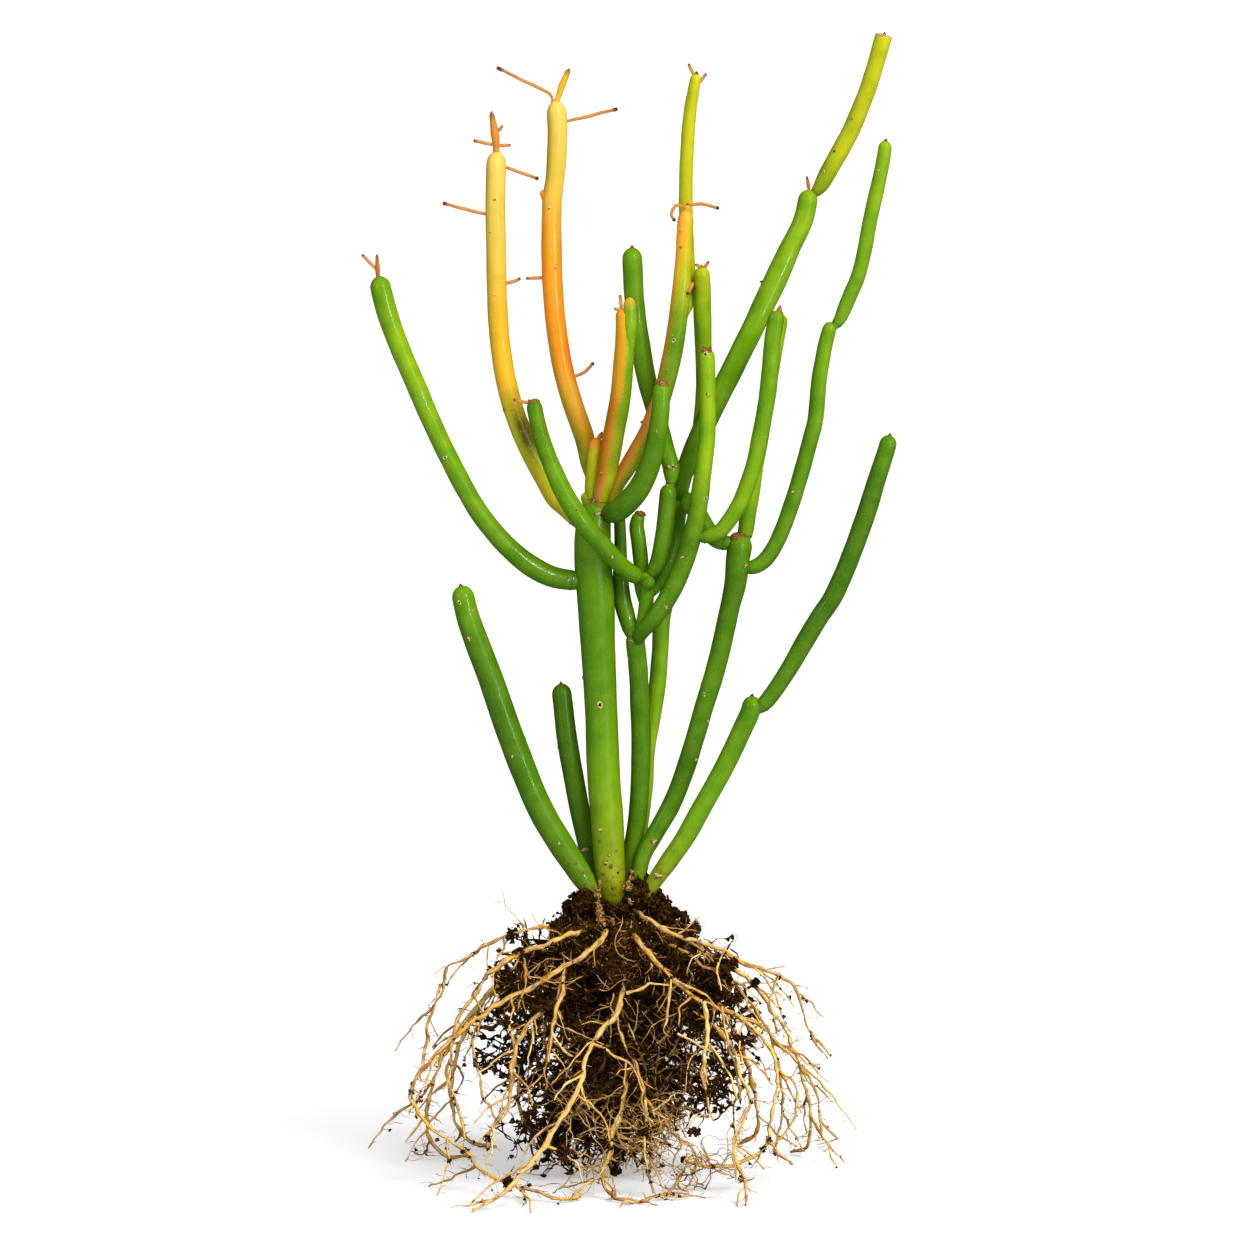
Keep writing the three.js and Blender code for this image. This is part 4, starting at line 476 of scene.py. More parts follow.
            (Mark.FLECK, -19.9, 117.9, 1.4), (Mark.SCAB, -16.4, 109.5, 1.1), (Mark.SCAB, -13.6, 110.3, 1.2),
            (Mark.SCAB, -11.2, 106.7, 1.3), (Mark.SCAB, -10.9, 103.6, 1), (Mark.SCAB, -21.7, 113.7, 0.9))),
    Limb("stem_small", Slot.STEM, tip=Tip.BUD,
        route=((-6.6, 91, 8.4, 2.6), (-8.8, 110.6, 8.4, 3.2), (-11.7, 125.3, 8.2, 3.5),
            (-14.4, 139.3, 8, 3.6), (-16.9, 154.2, 8, 3.6), (-19, 172.9, 8, 3.4)),
        shades=((0, Shade.OLIVE), (0.15, Shade.LEAF), (1, Shade.PINE)),
        marks=((Mark.FLECK, -10.5, 115.8, 2.8),)),
)

# The main roots.
ROOTS: tuple[Root, ...] = (
    Root("root_left_outer", seed=11, side_count=7,
        routes=(((-2, 88, -16, 1.6), (-5.3, 83, -28, 1.7), (-12.6, 77, -31, 1.7), (-24.5, 69.7, -33, 1.7),
            (-37.2, 63.1, -33, 1.6), (-50.1, 54.6, -33, 1.5), (-59.9, 46, -31, 1.4),
            (-66.2, 39.6, -29, 1.3), (-71.1, 31.5, -27, 1.2), (-70.5, 25.6, -27, 1.1),
            (-65.1, 18.2, -28, 1.1), (-57.6, 12.7, -30, 1.1), (-52.3, 9.5, -32, 1.1),
            (-46.9, 3.2, -37, 1.1), (-39.4, -0.7, -42, 1), (-28.7, -3.6, -49, 1), (-18, -6.8, -54, 0.9),
            (-11.6, -5.5, -49, 0.8)), ((-17, 74.4, -31.5, 1), (-20.1, 63.1, -33, 0.9),
            (-21.7, 53.6, -35, 0.8), (-23.9, 42.7, -37, 0.7), (-24.2, 31, -38, 0.6)))),
    Root("root_left_middle", seed=23, side_count=6,
        routes=(((-9, 87, -13, 1.4), (-18, 84.5, -24, 1.5), (-28.7, 80.2, -24, 1.5),
            (-41.7, 73.9, -22, 1.4), (-45.9, 68.6, -21, 1.3), (-51.2, 60.9, -20, 1.3),
            (-55.5, 53.6, -19.5, 1.2), (-57.8, 42.7, -20, 1.1), (-57.8, 34.3, -21, 1.1),
            (-54.4, 23.5, -24, 1), (-52.6, 13.5, -28, 0.9)),)),
    Root("root_left_high", seed=37, side_count=5,
        routes=(((-16, 88, -3, 1.1), (-29.8, 86.8, -8, 1.1), (-39.6, 84, -8, 1), (-46.9, 80.2, -7, 1),
            (-53.3, 76, -6, 0.9), (-58.8, 73.5, -5, 0.9), (-60.9, 65.2, -4, 0.8), (-63.5, 58.9, -3, 0.8),
            (-66.2, 50.5, -3, 0.8), (-67.2, 38, -3, 0.6)),)),
    Root("root_front", seed=41, side_count=8,
        routes=(((3, 69, -22, 1.6), (2.4, 63.1, -31, 1.7), (-0.4, 56.7, -34, 1.8), (-6.3, 50.2, -37, 1.7),
            (-10.5, 41.7, -41, 1.6), (-12.1, 33.3, -45, 1.6), (-15.8, 26.7, -49, 1.6),
            (-21.2, 17.2, -54, 1.7), (-26.6, 9.5, -58, 1.6), (-33, 2.1, -62, 1.4), (-37.2, -2.8, -65, 1.3),
            (-44.8, -7.6, -70, 1.2), (-49.6, -9.7, -75, 1)), ((0.6, 59, -33, 1), (2.4, 48.1, -36, 0.9),
            (6.7, 41.7, -38, 0.9), (8.8, 36.4, -40, 0.8), (9.8, 25.6, -43, 0.8), (11.9, 15, -46, 0.6)),
            ((-12, 34, -44.5, 0.9), (-8.9, 24.5, -47, 0.7)), ((10.5, 28, -46, 1), (11.2, 19.6, -46, 0.9),
            (10.2, 11.2, -46, 0.8), (13.3, -4.9, -44, 0.6)), ((10.2, 28.7, -45, 0.9),
            (17.5, 19.6, -42, 0.8), (23.8, 13.3, -40, 0.8), (29, 7, -38, 0.6)), ((1.8, 22.4, -40, 1.5),
            (-1.1, 15.4, -42, 1.5), (-1.8, 9.1, -43, 1.3), (-5.6, 2.1, -44, 0.9)), ((3.9, 41.3, -40, 0.8),
            (2.8, 28, -43, 0.7), (-0.3, 19.6, -44, 0.6)))),
    Root("root_front_left", seed=53, side_count=5,
        routes=(((-16, 62, -22, 1.3), (-26, 58, -32, 1.3), (-33, 50, -37, 1.3), (-35.7, 41.3, -39, 1.3),
            (-35.7, 33.3, -40, 1.3), (-37.8, 25.9, -41, 1.2), (-43.4, 17.5, -42, 1),
            (-44.5, 10.6, -44, 0.9)), ((-17.9, 71.1, -34, 1.3), (-19.2, 62.6, -39, 1.2),
            (-21.4, 55.3, -41, 1.2), (-22.1, 47.9, -42, 1), (-23.4, 40.6, -42, 0.7)),
            ((-22.1, 51.8, -42, 0.9), (-18.2, 45.5, -43, 0.8), (-14.7, 43, -43, 0.5)), ((-36, 52.2, -26, 1),
            (-35.3, 41.6, -28, 0.9), (-36.4, 34.3, -29, 0.9), (-37.5, 23.8, -30, 0.8),
            (-42.3, 17.5, -32, 0.8), (-47.6, 12.6, -34, 0.6)), ((-50.8, 51.8, -22, 0.9),
            (-48.6, 40.6, -24, 0.8), (-46.5, 30.1, -25, 0.8), (-41.3, 20.3, -26, 0.7)))),
    Root("root_right_outer", seed=67, side_count=8,
        routes=(((4, 89, -15, 1.4), (8.8, 82.4, -28, 1.5), (14.2, 76, -31, 1.5), (20.6, 69.7, -32, 1.5),
            (29.1, 63.1, -31, 1.4), (38.8, 58.8, -29, 1.3), (48.3, 54.6, -27, 1.2), (56, 48.1, -25, 1),
            (62.3, 42.7, -24, 0.9), (67.7, 36.4, -23, 0.8), (70.9, 27.7, -23, 0.7), (72.5, 19.7, -24, 0.7),
            (78.4, 13.3, -26, 0.6)), ((43, 57, -28, 1.2), (51.5, 48.5, -29, 1.2), (56.4, 40.6, -30, 1.2),
            (56.4, 29.9, -31, 1.1), (54.9, 20.3, -31, 1.1), (53.8, 13.8, -31, 1.1), (48.3, 7.4, -31, 1.1),
            (38.8, 4.2, -31, 1.1), (31.2, 4.2, -31, 1.1), (23.8, 6.9, -32, 1)), ((30.5, 62, -31, 1),
            (32.4, 53.6, -34, 0.9), (30.8, 42.7, -36, 0.9), (31.3, 32, -38, 0.8), (34.3, 20.3, -40, 0.7)),
            ((32.2, 48, -35, 0.8), (38.9, 39.6, -37, 0.7), (42.7, 27.7, -40, 0.6)), ((53.6, 12.8, -31, 0.9),
            (57, 9, -36, 0.8), (62.3, 5.3, -42, 0.7)))),
    Root("root_right_spur", seed=71, side_count=4,
        routes=(((24, 60, -20, 1.2), (34, 54, -27, 1.2), (40, 47.5, -31.5, 1.2), (43.8, 37, -35.5, 1.2),
            (47, 27, -38, 1.1), (44.4, 18.9, -39.5, 1.1), (42.2, 11.6, -40.5, 1.1), (42.7, 5.6, -42, 1.1),
            (45.2, 1, -48, 1), (45.9, -8.2, -63, 1)), ((31.1, 62.3, -36, 1.2), (32.5, 52.2, -39, 1.2),
            (31.1, 41.6, -40, 1.1), (31.5, 33.3, -40, 0.8)), ((37.5, 60.5, -31, 1), (38.5, 52.2, -33, 0.9),
            (42.7, 36.4, -34, 0.9), (43.7, 27.3, -34, 0.6)), ((19.6, 70, -38, 0.9), (18.6, 60.5, -40, 0.8),
            (16.8, 52.2, -41, 0.6)), ((3.9, 64.8, -37, 1), (10.2, 66.8, -39, 0.9), (12.6, 68.6, -40, 0.8),
            (18.6, 67.9, -40, 0.6)), ((21.7, 51.1, -40, 0.8), (29, 46.9, -41, 0.7), (34, 44.5, -41, 0.5)),
            ((56.7, 38.5, -22, 0.9), (63, 32.9, -22, 0.9), (63.4, 22.7, -22, 0.8), (58.8, 15.1, -22, 0.8),
            (55, 11.6, -22, 0.5)))),
    Root("root_right_high", seed=83, side_count=6,
        routes=(((6, 94, -8, 1.3), (10.4, 91.5, -17, 1.4), (18.4, 86.1, -23, 1.5), (27, 83.4, -25, 1.5),
            (36.7, 80.2, -24, 1.4), (46.2, 75.4, -21, 1.3), (57.1, 71.1, -18, 1.1), (61.3, 68.5, -17, 1),
            (64.4, 63.1, -16, 0.9), (66.2, 56.7, -15, 0.8), (68.8, 50.2, -15, 0.7), (72, 47, -15, 0.7),
            (75.3, 42.7, -15, 0.6)), ((46.6, 75.2, -20.5, 0.8), (52.9, 69.7, -21, 0.7),
            (56, 64.1, -21, 0.7), (58.1, 57.8, -20, 0.6), (61.3, 51.5, -19, 0.6)))),
    Root("root_right_middle", seed=97, side_count=5,
        routes=(((14, 83, -8, 1.2), (24.9, 79.2, -17, 1.1), (31.3, 73.9, -19, 1.1), (38.8, 70.7, -18, 1),
            (44.1, 65.2, -17, 1), (50.6, 56.7, -16, 0.9), (53.8, 51.5, -15, 0.9), (57.5, 38, -13, 0.8),
            (58.5, 22, -11, 0.8), (56, 8, -9, 0.7)),)),
    Root("root_floor_loop", seed=101, side_count=5,
        routes=(((4, 38, -24, 1.2), (3.2, 30.1, -32, 1.3), (2.1, 21.7, -36, 1.3), (-0.5, 16.1, -39, 1.3),
            (-1.9, 7.7, -42, 1.3), (-4.6, 0.2, -45, 1.2), (-0.8, -5.6, -51, 1.1), (6.7, -7.3, -57, 1),
            (13, -6.3, -52, 1), (19.5, -3.9, -45, 1), (23.8, 2.8, -38, 0.9)),)),
    Root("root_back_left", seed=113, side_count=6,
        routes=(((-7, 85, 10, 1.6), (-22, 78.5, 24, 1.6), (-38, 70, 34, 1.5), (-50, 55.4, 42, 1.4),
            (-57, 38.2, 47, 1.2), (-58, 22.8, 50, 1.1), (-52, 11.1, 54, 1.1), (-42, 8.2, 57, 1.1)),)),
    Root("root_back_middle_left", seed=127, side_count=6,
        routes=(((-4, 81, 14, 1.6), (-12, 75.8, 32, 1.6), (-22, 63.8, 46, 1.5), (-30, 47.4, 56, 1.4),
            (-34, 30.4, 62, 1.2), (-32, 15.6, 66, 1.1), (-24, 9.8, 68, 1.1)),)),
    Root("root_back_middle", seed=131, side_count=6,
        routes=(((2, 79, 14, 1.7), (4, 74, 34, 1.7), (8, 60.4, 50, 1.6), (12, 44, 60, 1.4),
            (14, 25, 66, 1.2), (12, 12.1, 69, 1.1), (6, 10.1, 70, 1.1)),)),
    Root("root_back_middle_right", seed=149, side_count=6,
        routes=(((8, 82, 12, 1.5), (20, 77.2, 28, 1.5), (33, 65.3, 42, 1.4), (43, 48.7, 51, 1.3),
            (49, 29.4, 55, 1.2), (50, 13.4, 58, 1.1), (44, 9, 62, 1.1)),)),
    Root("root_back_right", seed=157, side_count=6,
        routes=(((11, 86, 6, 1.4), (28, 80.5, 16, 1.4), (44, 70.7, 24, 1.3), (57, 55.7, 30, 1.2),
            (65, 38.3, 33, 1.1), (69, 20.8, 36, 1.1), (68, 9.2, 40, 1.1), (62, 6.8, 46, 1.1)),)),
    Root("root_side_left", seed=163, side_count=6,
        routes=(((-12, 80, 3, 1.4), (-30, 72.7, 10, 1.4), (-46, 61.6, 16, 1.3), (-58, 46.4, 20, 1.2),
            (-65, 29.1, 24, 1.1), (-66, 13.8, 28, 1.1), (-60, 6.2, 32, 1.1), (-52, 5.8, 38, 1.1)),)),
)


def linear(colour: str) -> tuple[float, float, float, float]:
    """Turns an sRGB hex colour into linear light.

    Args:
        colour: The colour, such as "#50780a".

    Returns:
        Red, green, blue and alpha.
    """
    levels = [int(colour[i : i + 2], 16) / 255 for i in (1, 3, 5)]
    lit = [c / 12.92 if c <= 0.04045 else ((c + 0.055) / 1.055) ** 2.4 for c in levels]
    return (lit[0], lit[1], lit[2], 1.0)


def rgb(colour: str) -> np.ndarray:
    """Gives the red, green and blue of an sRGB hex colour, in linear light."""
    return np.array(linear(colour)[:3])


def ramp(stops: Iterable[tuple[float, str]], shares: np.ndarray) -> np.ndarray:
    """Blends a row of colours, each with its share of the way, at the given shares.

    Args:
        stops: Each colour's share and sRGB hex code.
        shares: The shares asked for.

    Returns:
        A colour in linear light for each of them.
    """
    places, colours = zip(*stops)
    lit = np.array([rgb(colour) for colour in colours])
    return np.column_stack([np.interp(shares, places, lit[:, k]) for k in range(3)])


def seen(across: float, height: float, depth: float) -> tuple[float, float, float]:
    """Gives the place of a point whose height is as the viewer sees it."""
    rise = (height - depth * math.sin(SIGHT_ANGLE)) / math.cos(SIGHT_ANGLE)
    return (across, depth, rise)


def height_seen(points: np.ndarray) -> np.ndarray:
    """Gives the height at which the viewer sees each point."""
    return points[:, 2] * math.cos(SIGHT_ANGLE) + points[:, 1] * math.sin(SIGHT_ANGLE)


def unit(vectors: np.ndarray) -> np.ndarray:
    """Scales vectors to length one."""
    return vectors / np.maximum(np.linalg.norm(vectors, axis=-1, keepdims=True), 1e-12)


def lengths(line: np.ndarray) -> np.ndarray:
    """Gives the distance from the start to each point of a line."""
    return np.r_[0, np.cumsum(np.linalg.norm(np.diff(line[:, :3], axis=0), axis=1))]


def shares_of(line: np.ndarray) -> np.ndarray:
    """Gives that distance as a share of the line's length."""
    return lengths(line) / lengths(line)[-1]


def trace(places: np.ndarray, radii: np.ndarray, step: float) -> np.ndarray:
    """Runs an evenly stepped line through places on a centripetal curve.

    Args:
        places: The points to pass through.
        radii: The radius at each of them.
        step: The distance between the points of the line.

    Returns:
        Rows of x, y, z and radius.
    """
    first = 2 * places[0] - places[1]
    last = 2 * places[-1] - places[-2]
    knots = np.vstack([first, places, last])
    gaps = np.maximum(np.sqrt(np.linalg.norm(np.diff(knots, axis=0), axis=1)), 1e-6)
    share = np.linspace(0, 1, CURVE_STEPS, endpoint=False)[:, None]
    square, cube = share**2, share**3
    runs = []
    for i in range(1, len(knots) - 2):
        a, b, c, d = knots[i - 1 : i + 3]
        before, here, after = gaps[i - 1 : i + 2]
        leave = ((b - a) / before - (c - a) / (before + here) + (c - b) / here) * here
        arrive = ((c - b) / here - (d - b) / (here + after) + (d - c) / after) * here
        runs.append(
            (2 * cube - 3 * square + 1) * b
            + (cube - 2 * square + share) * leave
            + (3 * square - 2 * cube) * c
            + (cube - square) * arrive
        )
    dense = np.vstack([*runs, places[-1:]])
    reach = lengths(dense)
    count = max(3, int(round(reach[-1] / step)) + 1)
    stops = np.linspace(0, reach[-1], count)
    line = np.column_stack([np.interp(stops, reach, dense[:, k]) for k in range(3)])
    radius = np.interp(stops / reach[-1], shares_of(places), radii)
    return np.column_stack([line, radius])


def follow(route: Route, step: float) -> np.ndarray:
    """Traces a route of the tables, as rows of x, y, z and radius in metres."""
    points = np.array(route) / PER_METRE
    return trace(np.array([seen(*point[:3]) for point in points]), points[:, 3], step)


def smooth(values: np.ndarray, span: int) -> np.ndarray:
    """Averages each value with its neighbours, span of them on either side.

    Args:
        values: The values, in a row.
        span: How many neighbours count on either side.

    Returns:
        The averages.
    """
    padded = np.pad(values, span, mode="edge")
    weights = np.hanning(2 * span + 3)[1:-1]
    return np.convolve(padded, weights / weights.sum(), mode="valid")


def close_ends(line: np.ndarray, foot: float, crown: float) -> np.ndarray:
    """Rounds off both ends of a line, so that its sweep is closed.

    Args:
        line: Rows of x, y, z and radius.
        foot: The length of the rounded start, in radii.
        crown: The length of the rounded end, in radii.

    Returns:
        The line with finer rows at both ends, and no radius at the ends themselves.
    """
    reach = lengths(line)
    low, high = foot * line[0, 3], crown * line[-1, 3]
    turn = np.linspace(0, math.pi / 2, 8)
    start = low * (1 - np.cos(turn))
    end = reach[-1] - high + high * np.sin(turn)
    inner = reach[(reach > low * 1.02) & (reach < reach[-1] - high * 1.02)]
    stops = np.r_[start, inner, end]
    swell = np.r_[np.sin(turn), np.ones(len(inner)), np.cos(turn)]
    swell[0] = swell[-1] = 0
    rows = np.column_stack([np.interp(stops, reach, line[:, k]) for k in range(4)])
    rows[:, 3] *= swell
    return rows


def turned_to(normals: np.ndarray, spin: np.ndarray) -> np.ndarray:
    """Makes axes whose third row is each normal, turned about it by spin.

    Args:
        normals: The normals, of length one.
        spin: The turn about each of them, in radians.

    Returns:
        For each normal, three unit rows at right angles.
    """
    helper = np.where(np.abs(normals[:, 2:3]) > 0.9, [[1.0, 0, 0]], [[0, 0, 1.0]])
    side = unit(np.cross(helper, normals))
    other = np.cross(normals, side)
    c, s = np.cos(spin)[:, None], np.sin(spin)[:, None]
    return np.stack([side * c + other * s, other * c - side * s, normals], axis=1)


def focus(*pieces: bpy.types.Object) -> None:
    """Selects only these pieces, and makes the first one active.

    Args:
        *pieces: The pieces.
    """
    bpy.ops.object.select_all(action="DESELECT")
    for piece in pieces:
        piece.select_set(True)
    bpy.context.view_layer.objects.active = pieces[0]


def add_shape(operator: Callable, **settings: float | tuple) -> bpy.types.Object:
    """Adds a basic mesh with nothing else selected.

    Args:
        operator: Blender's operator for it.
        **settings: The operator's settings.

    Returns:
        The piece.
    """
    bpy.ops.object.select_all(action="DESELECT")
    operator(**settings)
    return bpy.context.object


def merge(piece: bpy.types.Object) -> None:
    """Merges doubled vertices and turns the faces outwards.

    Args:
        piece: The piece.
    """
    focus(piece)
    bpy.ops.object.mode_set(mode="EDIT")
    bpy.ops.mesh.select_all(action="SELECT")
    bpy.ops.mesh.remove_doubles(threshold=MERGE)
    bpy.ops.mesh.normals_make_consistent(inside=False)
    bpy.ops.object.mode_set(mode="OBJECT")


def displace(piece: bpy.types.Object, waves: bpy.types.Texture, strength: float, level: float) -> None:
    """Pushes a piece's skin in and out.

    Args:
        piece: The piece.
        waves: The cloud texture that pushes it.
        strength: How far it goes.
        level: The texture's level that leaves the skin where it is.
    """
    focus(piece)
    modifier = piece.modifiers.new(waves.name, "DISPLACE")
    modifier.texture = waves
    modifier.strength = strength
    modifier.mid_level = level
    bpy.ops.object.modifier_apply(modifier=modifier.name)


def clouds(name: str, size: float, depth: int) -> bpy.types.Texture:
    """Makes a cloud texture whose clouds have about this size.

    Args:
        name: The texture's name.
        size: The clouds' size.
        depth: How finely they break up.

    Returns:
        The texture.
    """
    texture = bpy.data.textures.new(name, "CLOUDS")
    texture.noise_scale = size
    texture.noise_depth = depth
    return texture


def join(pieces: list[bpy.types.Object], name: str = "part") -> bpy.types.Object:
    """Joins pieces into the first of them, under one name.

    Args:
        pieces: The pieces.
        name: The name of the whole.

    Returns:
        The joined piece.
    """
    focus(*pieces)
    if len(pieces) > 1:
        bpy.ops.object.join()
    pieces[0].name = name
    return pieces[0]


def vertices_of(piece: bpy.types.Object) -> tuple[np.ndarray, np.ndarray]:
    """Reads a piece's vertices and their normals.

    Args:
        piece: The piece.

    Returns:
        The vertices and their normals, a row for each.
    """
    mesh = piece.data
    corners = np.zeros(len(mesh.vertices) * 3)
    normals = np.zeros(len(mesh.vertices) * 3)
    mesh.vertices.foreach_get("co", corners)
    mesh.vertex_normals.foreach_get("vector", normals)
    return corners.reshape(-1, 3), normals.reshape(-1, 3)


def tint_of(mesh: bpy.types.Mesh) -> np.ndarray:
    """Reads each vertex's own colour.

    Args:
        mesh: The piece's mesh.

    Returns:
        Red, green and blue in linear light, a row for each vertex.
    """
    colours = np.zeros(len(mesh.vertices) * 4)
    mesh.attributes["tint"].data.foreach_get("color", colours)
    return colours.reshape(-1, 4)[:, :3]


def set_tint(mesh: bpy.types.Mesh, colours: np.ndarray) -> None:
    """Stores each vertex's own colour.

    Args:
        mesh: The piece's mesh.
        colours: Red, green and blue in linear light, a row for each vertex.
    """
    layer = mesh.attributes.get("tint") or mesh.attributes.new("tint", "FLOAT_COLOR", "POINT")
    rows = np.column_stack([colours, np.ones(len(colours))])
    layer.data.foreach_set("color", rows.astype(np.float32).ravel())


def sweep(name: str, lines: list[np.ndarray], sides: int, tints: list[np.ndarray]) -> bpy.types.Object:
    """Sweeps a round section along lines, as one mesh.

    Args:
        name: The piece's name.
        lines: Each line's rows of x, y, z and radius.
        sides: The section's sides, an even number from 4.
        tints: For each line, a colour at each of its points.

    Returns:
        The piece, with the colours in "tint" and flattened skin coordinates in "grain".
    """
    curve = bpy.data.curves.new(name, "CURVE")
    curve.dimensions = "3D"
    curve.bevel_depth = 1.0
    curve.bevel_resolution = (sides - 4) // 2
    for line in lines:
        spline = curve.splines.new("POLY")
        spline.points.add(len(line) - 1)
        rows = np.column_stack([line[:, :3], np.ones(len(line))])
        spline.points.foreach_set("co", rows.astype(np.float32).ravel())
        spline.points.foreach_set("radius", line[:, 3].astype(np.float32))
    piece = bpy.data.objects.new(name, curve)
    bpy.context.scene.collection.objects.link(piece)
    focus(piece)
    bpy.ops.object.convert(target="MESH")
    angles = np.linspace(0, 2 * math.pi, sides, endpoint=False)
    around = np.stack([np.cos(angles), np.sin(angles)], axis=1)
    grain = []
    for i, line in enumerate(lines):
        ring = np.maximum(line[:, 3], line[:, 3].max() * 0.5)[:, None, None] * around
        along = np.broadcast_to((lengths(line) + i * GRAIN_GAP)[:, None, None], (len(line), sides, 1))
        grain.append(np.concatenate([ring, along], axis=2).reshape(-1, 3))
    layer = piece.data.attributes.new("grain", "FLOAT_VECTOR", "POINT")
    layer.data.foreach_set("vector", np.vstack(grain).astype(np.float32).ravel())
    set_tint(piece.data, np.vstack([np.repeat(tint, sides, axis=0) for tint in tints]))
    return piece


def instance(template: bpy.types.Object, places: np.ndarray, axes: np.ndarray, sizes: np.ndarray) -> tuple:
    """Works out copies of a small shape.

    Args:
        template: The shape, one unit in size.
        places: Where each copy goes.
        axes: For each copy, three unit rows that its own axes turn to.
        sizes: For each copy, its size along each of its own axes.

    Returns:
        The copies' vertices and faces.
    """
    corners, _ = vertices_of(template)
    shapes = np.einsum("vk,nk,nkx->nvx", corners, sizes, axes) + places[:, None, :]
    faces = [tuple(face.vertices) for face in template.data.polygons]
    count = len(corners)
    copied = [tuple(v + i * count for v in face) for i in range(len(places)) for face in faces]
    return shapes.reshape(-1, 3), copied


def mesh_piece(name: str, vertices: np.ndarray, faces: list[tuple[int, ...]]) -> bpy.types.Object:
    """Makes a piece from vertices and faces.

    Args:
        name: The piece's name.
        vertices: A row for each vertex.
        faces: Each face's vertices, by number.

    Returns:
        The piece.
    """
    mesh = bpy.data.meshes.new(name)
    mesh.from_pydata(vertices.tolist(), [], faces)
    piece = bpy.data.objects.new(name, mesh)
    bpy.context.scene.collection.objects.link(piece)
    return piece


def add_node(
    tree: bpy.types.NodeTree, kind: str, inputs: dict | None = None, output: int | str = 0, **settings: object
) -> bpy.types.NodeSocket | bpy.types.Node:
    """Adds a node with its settings and links.

    A MapRange's inputs are 0 the value, 1 and 2 the span that it comes from, and 3 and 4 the span
    that it goes to. A Mix of colours has 0 the share, 6 and 7 the colours, and its output 2.

    Args:
        tree: The node tree.
        kind: The node's type, without "ShaderNode".
        inputs: For each input, by name or index, a socket to link from or a value to set.
        output: The output to give, by name or index.
        **settings: Properties of the node.

    Returns:
        The output, or the node where it has none.
    """
    node = tree.nodes.new(f"ShaderNode{kind}")
    for name, value in settings.items():
        setattr(node, name, value)
    for key, source in (inputs or {}).items():
        if isinstance(source, bpy.types.NodeSocket):
            tree.links.new(source, node.inputs[key])
        else:
            node.inputs[key].default_value = source
    return node.outputs[output] if node.outputs else node


@dataclass(frozen=True)
class Finish:
    """What a piece is made of.

    Args:
        name: The material's name.
    """

    name: str

    def paint(self, node: Callable) -> dict:
        """Adds the finish's nodes, and gives the inputs of its shader."""
        raise NotImplementedError


@cache
def material_of(finish: Finish) -> bpy.types.Material:
    """Makes a finish's material, the first time that it is asked for.

    Args:
        finish: The finish.

    Returns:
        The material.
    """
    material = bpy.data.materials.new(finish.name)
    material.use_nodes = True
    material.node_tree.nodes.clear()
    node = partial(add_node, material.node_tree)
    node("OutputMaterial", {"Surface": node("BsdfPrincipled", finish.paint(node))})
    return material


